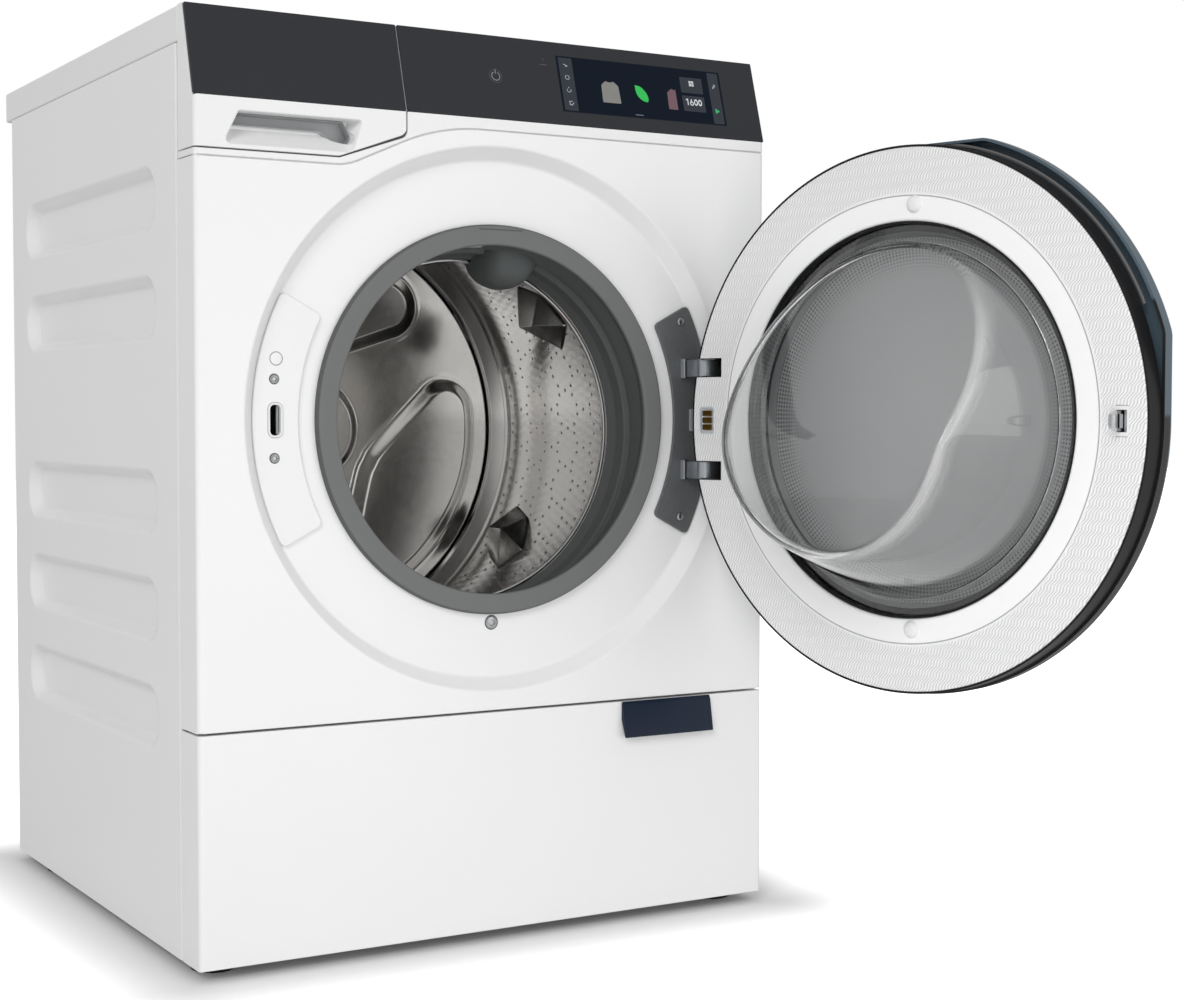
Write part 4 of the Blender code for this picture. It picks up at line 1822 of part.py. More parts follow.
def rear_parts(machine):
    """Rear panel with its access opening, the cover over it and the water and mains fittings."""
    front = BODY_DEPTH + GAP
    back = front + SHEET
    panel = piece("rear_panel", box(
        (-REAR_HALF_WIDTH, front, REAR_BOTTOM), (REAR_HALF_WIDTH, back, REAR_TOP),
    ), "galvanised", machine, (0.0, front, REAR_BOTTOM))

    def window(grow):
        half_w, half_h = ACCESS_WIDTH / 2 + grow, ACCESS_HEIGHT / 2 + grow
        radius = ACCESS_CORNER + grow
        return filleted([
            (-half_w, ACCESS_Z - half_h, radius), (half_w, ACCESS_Z - half_h, radius),
            (half_w, ACCESS_Z + half_h, radius), (-half_w, ACCESS_Z + half_h, radius),
        ])

    cut(panel, prism(window(0.0), front - OVERRUN, back + OVERRUN))
    holes = bmesh.new()
    for x, z, radius in (
        (VALVE_X, VALVE_Z, VALVE_RADIUS),
        (VALVE_X, SPIGOT_Z, SPIGOT_RADIUS),
        (GLAND_X, VALVE_Z, GLAND_RADIUS),
    ):
        hole = drum_like(radius + GAP, front - OVERRUN, back + OVERRUN, ROUND // 2)
        merge_into(holes, moved(hole, x, 0.0, z))
    cut(panel, holes)
    start = back + GAP
    plate = prism(window(COVER_LAP), start, start + SHEET)
    cover = piece("rear_cover", plate, "galvanised", machine, (0.0, start, ACCESS_Z))
    add(cover, tapered(window(0.0), window(-COVER_DRAFT), start + SHEET / 2, start + COVER_BULGE))
    cut(cover, tapered(
        window(-SHEET), window(-COVER_DRAFT - SHEET), start - SHEET, start + COVER_BULGE - SHEET,
    ))
    valve = turned([
        (0.0, front - VALVE_INSIDE),
        (VALVE_FLANGE, front - VALVE_INSIDE),
        (VALVE_FLANGE, front - SHEET - GAP),
        (VALVE_RADIUS, front - SHEET - GAP),
        (VALVE_RADIUS, back + VALVE_REACH),
        (SPIGOT_BORE, back + VALVE_REACH),
        (SPIGOT_BORE, front), (0.0, front),
    ], ROUND // 2)
    piece("inlet_valve", moved(valve, VALVE_X, 0.0, VALVE_Z), "white_plastic", machine,
          (VALVE_X, front, VALVE_Z), round_piece=True)
    for name, x, z, radius, bore, reach, finish in (
        ("drain_spigot", VALVE_X, SPIGOT_Z, SPIGOT_RADIUS, SPIGOT_BORE, SPIGOT_REACH, "grey_plastic"),
        ("cable_gland", GLAND_X, VALVE_Z, GLAND_RADIUS, GLAND_BORE, GLAND_REACH, "dark_plastic"),
    ):
        shape = turned([
            (bore, front - SHEET * 3),
            (radius + SHEET * 2, front - SHEET * 3),
            (radius + SHEET * 2, front - GAP),
            (radius, front - GAP), (radius, back + reach), (bore, back + reach),
        ], ROUND // 2)
        piece(name, moved(shape, x, 0.0, z), finish, machine, (x, front, z), round_piece=True)


def build():
    """Make every piece of the machine."""
    clear_scene()
    machine = carrier("machine", (0.0, -CABINET_DEPTH / 2, -FLOOR_GAP))
    for side in (-1, 1):
        side_panel(machine, side)
    worktop(machine)
    base_pan(machine)
    for name, x, y in (
        ("foot_front_left", -FOOT_X, FOOT_FRONT_Y), ("foot_front_right", FOOT_X, FOOT_FRONT_Y),
        ("foot_rear_left", -FOOT_X, FOOT_BACK_Y), ("foot_rear_right", FOOT_X, FOOT_BACK_Y),
    ):
        foot(machine, name, x, y)
    front_panel(machine)
    lock_parts(machine)
    hinge_parts(machine)
    fascia_parts(machine)
    dispenser_housing(machine)
    seal(machine)
    spray_nozzle(machine)
    tub_parts(machine)
    weights(machine)
    top_rail(machine)
    springs(machine)
    dampers(machine)
    drum = carrier("drum_axis", (0.0, 0.0, DRUM_Z), machine)
    motor_shaft = carrier("motor_axis", (MOTOR_X, 0.0, MOTOR_Z), machine)
    drive_parts(machine, drum, motor_shaft)
    drum_parts(drum)
    drum_bearing(machine)
    drawer_parts(carrier("drawer_slide", (0.0, 0.0, 0.0), machine))
    door_parts(carrier("door_pivot", (PIVOT_X, PIVOT_Y, DOOR_Z), machine, DOOR_OPEN))
    flap_parts(carrier("flap_pivot", (0.0, FLAP_PIVOT_Y, FLAP_PIVOT_Z), machine))
    containers(machine)
    pump_parts(machine, carrier("cap_axis", (PUMP_X, PUMP_FRONT, PUMP_Z), machine))
    rear_parts(machine)


build()
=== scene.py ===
"""Looks of a front-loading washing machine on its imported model.

Each sub-assembly is a class whose sizes are fields and whose methods work out surfaces with numpy
and dress them. Lengths are in metres in the machine's own frame: X to the right, Y from the front
panel to the back, Z up from the floor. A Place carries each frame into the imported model's frame.
"""

import json
import logging
from collections.abc import Sequence
from dataclasses import dataclass, field
from enum import Enum
from math import atan2, cos, pi, radians, sin, tau

import bmesh
import bpy
import numpy as np
from mathutils import Matrix, Vector

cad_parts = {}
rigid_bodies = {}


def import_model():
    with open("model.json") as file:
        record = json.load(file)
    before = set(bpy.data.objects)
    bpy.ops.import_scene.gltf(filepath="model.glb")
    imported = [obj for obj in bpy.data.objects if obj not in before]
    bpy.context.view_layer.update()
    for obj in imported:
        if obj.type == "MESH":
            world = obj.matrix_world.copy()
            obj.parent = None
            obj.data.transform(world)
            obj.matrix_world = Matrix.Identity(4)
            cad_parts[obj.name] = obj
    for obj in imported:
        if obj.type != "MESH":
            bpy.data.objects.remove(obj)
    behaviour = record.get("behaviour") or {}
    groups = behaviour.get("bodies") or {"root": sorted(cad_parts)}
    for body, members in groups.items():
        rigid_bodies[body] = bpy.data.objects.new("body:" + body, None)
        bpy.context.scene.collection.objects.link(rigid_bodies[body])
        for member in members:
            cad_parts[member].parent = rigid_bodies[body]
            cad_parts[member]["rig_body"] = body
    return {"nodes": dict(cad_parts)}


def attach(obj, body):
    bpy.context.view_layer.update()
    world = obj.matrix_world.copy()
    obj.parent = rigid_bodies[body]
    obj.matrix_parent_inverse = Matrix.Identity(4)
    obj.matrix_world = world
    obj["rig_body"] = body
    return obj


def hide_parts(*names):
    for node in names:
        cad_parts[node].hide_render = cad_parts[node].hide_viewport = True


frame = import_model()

LOG = logging.getLogger("washing_machine")
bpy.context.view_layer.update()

FLOOR_GAP = 0.0104
HALF_DEPTH = 0.3046
HALF_WIDTH = 0.298
HEIGHT = 0.850
BODY_DEPTH = 0.5847
LID_BOTTOM = 0.8185
DOOR_Z = 0.4897
DRUM_Z = 0.4790
DOOR_OPEN = radians(105.37)
PIVOT = (0.2314, -0.018)
DOOR_FACE = 0.005
GLASS_FOOT = 0.7685
GLASS_SLANT = 0.0237
SLANT = atan2(GLASS_SLANT, HEIGHT - GLASS_FOOT)
SHARP = radians(32)
ARM_HEIGHTS = (0.051, -0.049)
LATCH_X = -0.221
ARM_X = 0.2125
CRISP = 0.0001
WELD = 2e-6
FLAT = 1e-7


# Places.


@dataclass(frozen=True)
class Place:
    """Own frame of a sub-assembly: tilted about X, turned about Z, then moved in its parent."""

    offset: tuple[float, float, float] = (0.0, 0.0, 0.0)
    tilt: float = 0.0
    turn: float = 0.0
    parent: "Place | None" = None

    def matrix(self) -> Matrix:
        """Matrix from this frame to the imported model's frame."""
        turned = Matrix.Rotation(self.turn, 4, "Z") @ Matrix.Rotation(self.tilt, 4, "X")
        own = Matrix.Translation(self.offset) @ turned
        return self.parent.matrix() @ own if self.parent else own

    def carry(self, points: np.ndarray) -> np.ndarray:
        """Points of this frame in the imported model's frame."""
        grid = np.array(self.matrix())
        return points @ grid[:3, :3].T + grid[:3, 3]


MACHINE = Place(offset=(0.0, -HALF_DEPTH, -FLOOR_GAP))
FASCIA = Place(offset=(0.0, 0.0, GLASS_FOOT), tilt=-SLANT, parent=MACHINE)
RECESS = Place(offset=(0.0, 0.0, DOOR_Z), parent=MACHINE)
DRUM = Place(offset=(0.0, 0.0, DRUM_Z), parent=MACHINE)
HINGE = Place(offset=(PIVOT[0], PIVOT[1], DOOR_Z), turn=DOOR_OPEN, parent=MACHINE)
DOOR = Place(offset=(-PIVOT[0], -PIVOT[1], 0.0), parent=HINGE)


# Surfaces.


def closed(points: np.ndarray, axis: int) -> np.ndarray:
    """Grid of points with its first row or column repeated at the end."""
    return np.concatenate([points, np.take(points, [0], axis=axis)], axis=axis)


def polar(radius: float | np.ndarray, angles: np.ndarray, depth: float | np.ndarray) -> np.ndarray:
    """Points round the axis Y: at angle a, radius r and depth y lies (r cos a, y, r sin a)."""
    return np.stack([radius * np.cos(angles), depth * np.ones_like(angles), radius * np.sin(angles)], axis=-1)


def on_circle(radius: float, angles: np.ndarray, u: float = 0.0, v: float = 0.0) -> np.ndarray:
    """Points of the plane at angles on a circle about a place."""
    return np.stack([u + radius * np.cos(angles), v + radius * np.sin(angles)], axis=-1)


def at_depth(outline: np.ndarray, depth: float | np.ndarray) -> np.ndarray:
    """Outline in X and Z at a depth, one value or one per point."""
    return np.stack([outline[:, 0], np.broadcast_to(depth, (len(outline),)), outline[:, 1]], axis=-1)


def layers(rows: Sequence[tuple[np.ndarray, float]]) -> np.ndarray:
    """Grid through closed outlines, each at its depth."""
    return closed(np.stack([at_depth(outline, depth) for outline, depth in rows]), 1)


def revolve(profile: Sequence[Sequence[float]] | np.ndarray, segments: int = 128) -> np.ndarray:
    """Surface of revolution about Y.

    Args:
        profile: Radius and depth of each profile point.
        segments: Steps round the axis.

    Returns:
        Grid of points, one row per profile point, closed round the axis.
    """
    line = np.asarray(profile)
    return polar(line[:, :1], np.linspace(0.0, tau, segments + 1), line[:, 1:])


def rounded(corners: list[tuple[float, ...]], steps: int = 6, loop: bool = False) -> np.ndarray:
    """Polyline whose corners (u, v, radius) are replaced by arcs of their radius.

    Args:
        corners: Corner points, each with the radius of its arc.
        steps: Steps of each arc.
        loop: Whether the last corner joins the first.

    Returns:
        Points of the line in order.
    """
    line = []
    count = len(corners)
    for i, (u, v, radius) in enumerate(corners):
        here = np.array((u, v))
        at_end = not loop and i in (0, count - 1)
        if radius == 0.0 or at_end:
            line.append(here[None])
            continue
        before = np.array(corners[i - 1][:2]) - here
        after = np.array(corners[(i + 1) % count][:2]) - here
        before, after = before / np.linalg.norm(before), after / np.linalg.norm(after)
        half = np.arccos(np.clip(before @ after, -1.0, 1.0)) / 2
        middle = before + after
        centre = here + middle / np.linalg.norm(middle) * radius / np.sin(half)
        start = here + before * radius / np.tan(half) - centre
        end = here + after * radius / np.tan(half) - centre
        first = np.arctan2(start[1], start[0])
        sweep = (np.arctan2(end[1], end[0]) - first + pi) % tau - pi
        angles = first + sweep * np.linspace(0.0, 1.0, steps + 1)
        line.append(on_circle(radius, angles, *centre))
    return np.concatenate(line)


def rectangle(u: float, v: float, width: float, height: float, radius: float, steps: int = 6) -> np.ndarray:
    """Anticlockwise upright rectangle about a place, with rounded corners."""
    a, b = width / 2, height / 2
    corners = [(u - a, v - b, radius), (u + a, v - b, radius), (u + a, v + b, radius), (u - a, v + b, radius)]
    return rounded(corners, steps, loop=True)


def spun(outline: np.ndarray, angle: float) -> np.ndarray:
    """Outline turned about the middle of its plane."""
    c, s = cos(angle), sin(angle)
    return outline @ np.array(((c, s), (-s, c)))


def offset(outline: np.ndarray, distance: float | np.ndarray) -> np.ndarray:
    """Closed outline moved outwards: each corner goes along its mitre by the distance.

    Args:
        outline: Points of an anticlockwise outline.
        distance: How far it moves out, one value or one per point.

    Returns:
        The moved points.
    """
    ahead = np.roll(outline, -1, axis=0) - outline
    behind = outline - np.roll(outline, 1, axis=0)
    normals = []
    for run in (behind, ahead):
        run = run / np.maximum(np.linalg.norm(run, axis=1, keepdims=True), 1e-9)
        normals.append(np.stack([run[:, 1], -run[:, 0]], axis=-1))
    dot = np.sum(normals[0] * normals[1], axis=1, keepdims=True)
    mitre = (normals[0] + normals[1]) / (1.0 + np.clip(dot, -0.2, 1.0))
    return outline + mitre * np.broadcast_to(np.reshape(distance, (-1, 1)), (len(outline), 1))


def arc_rows(edge: float, steps: int = 4) -> tuple[np.ndarray, np.ndarray]:
    """Inset and depth of a quarter-round edge, from the flat face to the side."""
    angle = np.linspace(0.0, pi / 2, steps + 1)
    return edge * (1.0 - np.sin(angle)), edge * (1.0 - np.cos(angle))


def slab(
    outline: np.ndarray, front: float, back: float, edge: float | np.ndarray = 0.001, steps: int = 4
) -> np.ndarray:
    """Closed outline carried along Y between two depths, with quarter-round edges at both ends.

    Args:
        outline: Anticlockwise outline in X and Z.
        front: Depth of the front face.
        back: Depth of the back face.
        edge: Radius of both edges, one value or one per point.
        steps: Steps of each edge.

    Returns:
        Grid of points whose first and last rows are the rims of the two flat faces.
    """
    inset, depth = arc_rows(1.0, steps)
    edges = np.broadcast_to(edge, (len(outline),))
    rows = []
    for shares, face, sign in ((zip(inset, depth), front, 1.0), (zip(inset[::-1], depth[::-1]), back, -1.0)):
        for across, along in shares:
            ring = offset(outline, -edges * across)
            rows.append(at_depth(ring, face + sign * edges * along))
    return closed(np.stack(rows), 1)


def brick(
    low: tuple[float, float, float], high: tuple[float, float, float], edge: float, steps: int = 3
) -> np.ndarray:
    """Box with rounded edges and corners.

    Each unit direction n of a lat-long grid lies at the nearest inner corner plus edge times n, with
    every quarter's border taken twice, so that flat sides appear between the quarters.

    Args:
        low: Lowest corner.
        high: Highest corner.
        edge: Radius of the edges.
        steps: Steps of each quarter.

    Returns:
        Grid of points from the bottom rim to the top rim.
    """
    low, high = np.array(low), np.array(high)
    quarter = np.linspace(0.0, pi / 2, steps + 1)
    turns = np.concatenate([quarter + k * pi / 2 for k in range(4)])
    signs_x = np.repeat([1.0, -1.0, -1.0, 1.0], steps + 1)
    signs_y = np.repeat([1.0, 1.0, -1.0, -1.0], steps + 1)
    lifts = np.concatenate([quarter - pi / 2, quarter])
    signs_z = np.repeat([-1.0, 1.0], steps + 1)
    across = np.cos(lifts)[:, None]
    normals = np.stack(
        [across * np.cos(turns), across * np.sin(turns), np.sin(lifts)[:, None] * np.ones_like(turns)],
        axis=-1,
    )
    signs = np.stack(np.broadcast_arrays(signs_x, signs_y, signs_z[:, None]), axis=-1)
    half = (high - low) / 2 - edge
    return closed((low + high) / 2 + signs * half + edge * normals, 1)


def smooth(value: np.ndarray) -> np.ndarray:
    """Smooth step 3t^2 - 2t^3 of a value held between 0 and 1."""
    held = np.clip(value, 0.0, 1.0)
    return held * held * (3.0 - 2.0 * held)


def curve_through(points: np.ndarray, steps: int = 4) -> np.ndarray:
    """Catmull-Rom curve through an open row of points, with a number of steps between each two."""
    padded = np.concatenate([2 * points[:1] - points[1:2], points, 2 * points[-1:] - points[-2:-1]])
    share = np.linspace(0.0, 1.0, steps, endpoint=False)[None, :, None]
    a, b, c, d = (padded[k : len(padded) - 3 + k][:, None] for k in range(4))
    blend = (
        2 * b
        + (c - a) * share
        + (2 * a - 5 * b + 4 * c - d) * share**2
        + (3 * b - a - 3 * c + d) * share**3
    )
    return np.concatenate([(blend / 2).reshape(-1, points.shape[1]), points[-1:]])


def along_x(points: np.ndarray) -> np.ndarray:
    """Slab turned so that its depth runs along X and its outline lies in Y and Z."""
    return points[..., [1, 0, 2]]


def along_z(points: np.ndarray) -> np.ndarray:
    """Slab turned so that its depth runs along Z and its outline lies in X and Y."""
    return points[..., [0, 2, 1]]


def spans(*parts: tuple[float, float, float]) -> np.ndarray:
    """Rising row of values through several stretches, each given as start, end and step."""
    rows = []
    for start, end, step in parts:
        rows.append(np.linspace(start, end, max(int(round((end - start) / step)), 1) + 1))
    return np.unique(np.round(np.concatenate(rows), 7))


def moved(points: np.ndarray, x: float = 0.0, z: float = 0.0, y: float = 0.0) -> np.ndarray:
    """Points moved sideways, up and in depth."""
    return points + np.array((x, y, z))


def circle(radius: float, steps: int, u: float = 0.0, v: float = 0.0) -> np.ndarray:
    """Anticlockwise circle of points about a place."""
    return on_circle(radius, np.linspace(0.0, tau, steps, endpoint=False), u, v)


def area(outline: np.ndarray) -> float:
    """Signed area of a closed outline, positive if it runs anticlockwise."""
    after = np.roll(outline, -1, axis=0)
    return float(np.sum(outline[:, 0] * after[:, 1] - after[:, 0] * outline[:, 1]) / 2)


def bezier(start: np.ndarray, corner: np.ndarray, end: np.ndarray, steps: int) -> np.ndarray:
    """Quadratic curve from start to end that leaves and arrives along the lines through the corner."""
    share = np.linspace(0.0, 1.0, steps + 1)[:, None]
    return start * (1 - share) ** 2 + corner * 2 * share * (1 - share) + end * share**2


def divided(outline: np.ndarray, length: float) -> np.ndarray:
    """Closed outline with points added so that no step is longer than a length."""
    points = []
    for start, end in zip(outline, np.roll(outline, -1, axis=0)):
        count = max(int(np.ceil(np.linalg.norm(end - start) / length)), 1)
        share = np.arange(count)[:, None] / count
        points.append(start + (end - start) * share)
    return np.concatenate(points)


def signed_distance(points: np.ndarray, outline: np.ndarray) -> np.ndarray:
    """Distance of points from a closed outline, negative inside it.

    The least distance to all of its edges is taken, and a point is inside where a level ray from it
    crosses the outline an odd number of times.

    Args:
        points: Places in the plane.
        outline: Corners of the closed outline.

    Returns:
        One distance per point.
    """
    nearest = np.full(len(points), np.inf)
    inside = np.zeros(len(points), dtype=bool)
    for start, end in zip(outline, np.roll(outline, -1, axis=0)):
        run = end - start
        share = np.clip(((points - start) @ run) / max(run @ run, 1e-12), 0.0, 1.0)
        away = points - start - share[:, None] * run
        nearest = np.minimum(nearest, np.hypot(away[:, 0], away[:, 1]))
        if start[1] != end[1]:
            crossing = (points[:, 1] >= min(start[1], end[1])) & (points[:, 1] < max(start[1], end[1]))
            place = start[0] + (points[:, 1] - start[1]) * run[0] / run[1]
            inside ^= crossing & (place > points[:, 0])
    return np.where(inside, -nearest, nearest)


def screw_head(radius: float, depth: float) -> np.ndarray:
    """Domed head with a six-lobed recess, from the recess floor's middle over the rim to the side.

    The recess's wall stands at 0.42 + 0.07 cos 6a of the head's radius.

    Args:
        radius: Radius of the head.
        depth: Depth of the surface that it sits on.

    Returns:
        Grid of points closed round the axis, in X, depth and Z.
    """
    angles = np.linspace(0.0, tau, 49)
    lobes = 0.42 + 0.07 * np.cos(6 * angles)
    rows = (
        (0.0, -0.0004),
        (lobes * 0.92, -0.0004),
        (lobes, -0.0012),
        (lobes + 0.08, -0.0016),
        (0.80, -0.0014),
        (0.95, -0.0009),
        (1.0, -0.0003),
        (1.0, 0.0004),
        (0.0, 0.0004),
    )
    return np.stack([polar(share * radius, angles, depth + rise) for share, rise in rows])


class Meeting(Enum):
    """What is left of a piece where a closed grid meets it: its outside or its inside."""

    CUT = "DIFFERENCE"
    KEEP = "INTERSECT"


@dataclass
class Piece:
    """One piece of the scene: patches of surface in a place's frame, made into one mesh object."""

    name: str
    place: Place = MACHINE
    points: list[np.ndarray] = field(default_factory=list)
    faces: list[list[int]] = field(default_factory=list)
    cutters: list[tuple[Meeting, np.ndarray, Place]] = field(default_factory=list)
    soften: float = 0.0
    count: int = 0

    def grid(self, points: np.ndarray, flip: bool = False) -> "Piece":
        """Add a grid of points as quads; flip turns their faces round."""
        rows, columns = points.shape[:2]
        index = np.arange(rows * columns).reshape(rows, columns) + self.count
        quads = np.stack(
            [index[:-1, :-1], index[:-1, 1:], index[1:, 1:], index[1:, :-1]], axis=-1
        ).reshape(-1, 4)
        self.faces += (quads[:, ::-1] if flip else quads).tolist()
        self.points.append(points.reshape(-1, 3))
        self.count += rows * columns
        return self

    def cap(self, ring: np.ndarray, flip: bool = False) -> "Piece":
        """Close a ring of points with one flat face."""
        index = (np.arange(len(ring)) + self.count).tolist()
        self.faces.append(index[::-1] if flip else index)
        self.points.append(ring)
        self.count += len(ring)
        return self

    def plate(self, points: np.ndarray, thickness: float, wrap: bool = False) -> "Piece":
        """Add a grid as a closed sheet: its second face lies at points + thickness times the normal.

        Args:
            points: Grid of the sheet's outer face.
            thickness: Distance along the grid's own normals, of either sign.
            wrap: Whether the last column repeats the first.

        Returns:
            The piece.
        """
        down = np.gradient(points, axis=0)
        if wrap:
            ring = points[:, :-1]
            across = closed(np.roll(ring, -1, axis=1) - np.roll(ring, 1, axis=1), 1)
        else:
            across = np.gradient(points, axis=1)
        normal = np.cross(down, across)
        normal /= np.maximum(np.linalg.norm(normal, axis=-1, keepdims=True), 1e-12)
        under = points + thickness * normal
        self.grid(points).grid(under)
        self.grid(np.stack([points[0], under[0]])).grid(np.stack([points[-1], under[-1]]))
        if not wrap:
            self.grid(np.stack([points[:, 0], under[:, 0]])).grid(np.stack([points[:, -1], under[:, -1]]))
        return self

    def hole(self, points: np.ndarray, place: Place | None = None) -> "Piece":
        """Note a closed grid that is cut out of the piece when it is made."""
        self.cutters.append((Meeting.CUT, points, place or self.place))
        return self

    def keep(self, points: np.ndarray) -> "Piece":
        """Note a closed grid outside which the piece is cut away when it is made."""
        self.cutters.append((Meeting.KEEP, points, self.place))
        return self

    def facets(self, points: np.ndarray, faces: list[list[int]]) -> "Piece":
        """Add a body of flat faces given by their corners' numbers."""
        self.faces += [[index + self.count for index in face] for face in faces]
        self.points.append(points)
        self.count += len(points)
        return self

    def body(self, points: np.ndarray) -> "Piece":
        """Add a grid that is closed round its columns, with flat caps over its first and last rows."""
        return self.grid(points).cap(points[0, :-1]).cap(points[-1, :-1])

    def solid(self, name: str) -> bpy.types.Object:
        """Object of the piece's patches, joined into a closed mesh with its normals outwards."""
        mesh = bpy.data.meshes.new(name)
        mesh.from_pydata(self.place.carry(np.concatenate(self.points)), [], self.faces)
        shape = bmesh.new()
        shape.from_mesh(mesh)
        bmesh.ops.remove_doubles(shape, verts=shape.verts, dist=WELD)
        bmesh.ops.dissolve_degenerate(shape, edges=shape.edges, dist=FLAT)
        bmesh.ops.recalc_face_normals(shape, faces=shape.faces)
        if self.soften:
            edges = list(shape.edges)
            bmesh.ops.bevel(shape, geom=edges, offset=self.soften, segments=2, profile=0.5, affect="EDGES")
        shape.to_mesh(mesh)
        shape.free()
        item = bpy.data.objects.new(name, mesh)
        bpy.context.collection.objects.link(item)
        return item

    def cut(self, item: bpy.types.Object) -> None:
        """Meet the object's mesh with the noted closed grids, one after the other."""
        tools = []
        for meeting, points, place in self.cutters:
            tools.append(Piece("cutter", place).body(points).solid("cutter"))
            modifier = item.modifiers.new("cut", "BOOLEAN")
            modifier.solver = "EXACT"
            modifier.operation = meeting.value
            modifier.object = tools[-1]
        self.bake(item)
        for used in tools:
            bpy.data.objects.remove(used)

    def bake(self, item: bpy.types.Object) -> None:
        """Put the result of the object's modifiers into its mesh."""
        view = bpy.context.evaluated_depsgraph_get()
        mesh = bpy.data.meshes.new_from_object(item.evaluated_get(view))
        item.modifiers.clear()
        item.data = mesh

    def make(
        self, rider: str, finish: "Finish", slot: str, replaces: tuple[str, ...] = ()
    ) -> bpy.types.Object:
        """Make the object, dress it and fix it to its body.

        Args:
            rider: Body that the piece moves with.
            finish: Finish of the whole piece.
            slot: Material slot of the record; not used.
            replaces: Nodes that this piece stands for.

        Returns:
            The new object.
        """
        item = self.solid(self.name)
        if self.cutters:
            self.cut(item)
        item.data.shade_smooth()
        item.data.set_sharp_from_angle(angle=SHARP)
        weighted = item.modifiers.new("normals", "WEIGHTED_NORMAL")
        weighted.keep_sharp = True
        self.bake(item)
        item.data.name = self.name
        item.data.materials.clear()
        item.data.materials.append(finish.material(self.place))
        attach(item, rider)
        if replaces:
            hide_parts(*replaces)
        LOG.info("%s: %d faces on %s", self.name, len(item.data.polygons), rider)
        return item


# Finishes.


class Field:
    """A number that varies over a surface: a shader socket with Python's operators."""

    def __init__(self, graph: "Graph", socket: bpy.types.NodeSocket) -> None:
        """Wrap a socket of a graph."""
        self.graph = graph
        self.socket = socket

    def maths(self, operation: str, other: "Field | float | None" = None, swapped: bool = False) -> "Field":
        """Math node of an operation on this field and another value.

        Args:
            operation: Name of the Math node's operation.
            other: Second value, if the operation takes one.
            swapped: Whether the other value comes first.

        Returns:
            The result as a field.
        """
        inputs = {0: self} if other is None else {0: other, 1: self} if swapped else {0: self, 1: other}
        return self.graph.field("ShaderNodeMath", {"operation": operation}, inputs)

    def __add__(self, other: "Field | float") -> "Field":
        """Sum."""
        return self.maths("ADD", other)

    __radd__ = __add__

    def __sub__(self, other: "Field | float") -> "Field":
        """Difference."""
        return self.maths("SUBTRACT", other)

    def __rsub__(self, other: float) -> "Field":
        """Difference with the number first."""
        return self.maths("SUBTRACT", other, swapped=True)

    def __mul__(self, other: "Field | float") -> "Field":
        """Product."""
        return self.maths("MULTIPLY", other)

    __rmul__ = __mul__

    def __truediv__(self, other: "Field | float") -> "Field":
        """Quotient."""
        return self.maths("DIVIDE", other)

    def __rtruediv__(self, other: float) -> "Field":
        """Quotient with the number first."""
        return self.maths("DIVIDE", other, swapped=True)

    def __neg__(self) -> "Field":
        """Opposite."""
        return self.maths("MULTIPLY", -1.0)

    def __pow__(self, other: float) -> "Field":
        """Power."""
        return self.maths("POWER", other)

    def __abs__(self) -> "Field":
        """Size without sign."""
        return self.maths("ABSOLUTE")

    def sine(self) -> "Field":
        """Sine."""
        return self.maths("SINE")

    def root(self) -> "Field":
        """Square root."""
        return self.maths("SQRT")

    def wrap(self, period: float) -> "Field":
        """Signed distance from the nearest multiple of a period."""
        return (self + period / 2).maths("FLOORED_MODULO", period) - period / 2

    def least(self, other: "Field | float") -> "Field":
        """Smaller of two."""
        return self.maths("MINIMUM", other)

    def most(self, other: "Field | float") -> "Field":
        """Larger of two."""
        return self.maths("MAXIMUM", other)

    def between(self, start: float, end: float, soft: float) -> "Field":
        """1 between two values and 0 outside them, with soft borders."""
        return self.step(start - soft, start + soft) * self.step(end + soft, end - soft)

    def step(self, start: float, end: float) -> "Field":
        """Smooth rise from 0 at one value to 1 at another, or a fall where the first is the larger."""
        rising = end >= start
        low, high = (start, end) if rising else (end, start)
        settings = {"interpolation_type": "SMOOTHSTEP"}
        inputs = {
            "Value": self,
            "From Min": low,
            "From Max": high,
            "To Min": 0.0 if rising else 1.0,
            "To Max": 1.0 if rising else 0.0,
        }
        return self.graph.field("ShaderNodeMapRange", settings, inputs)


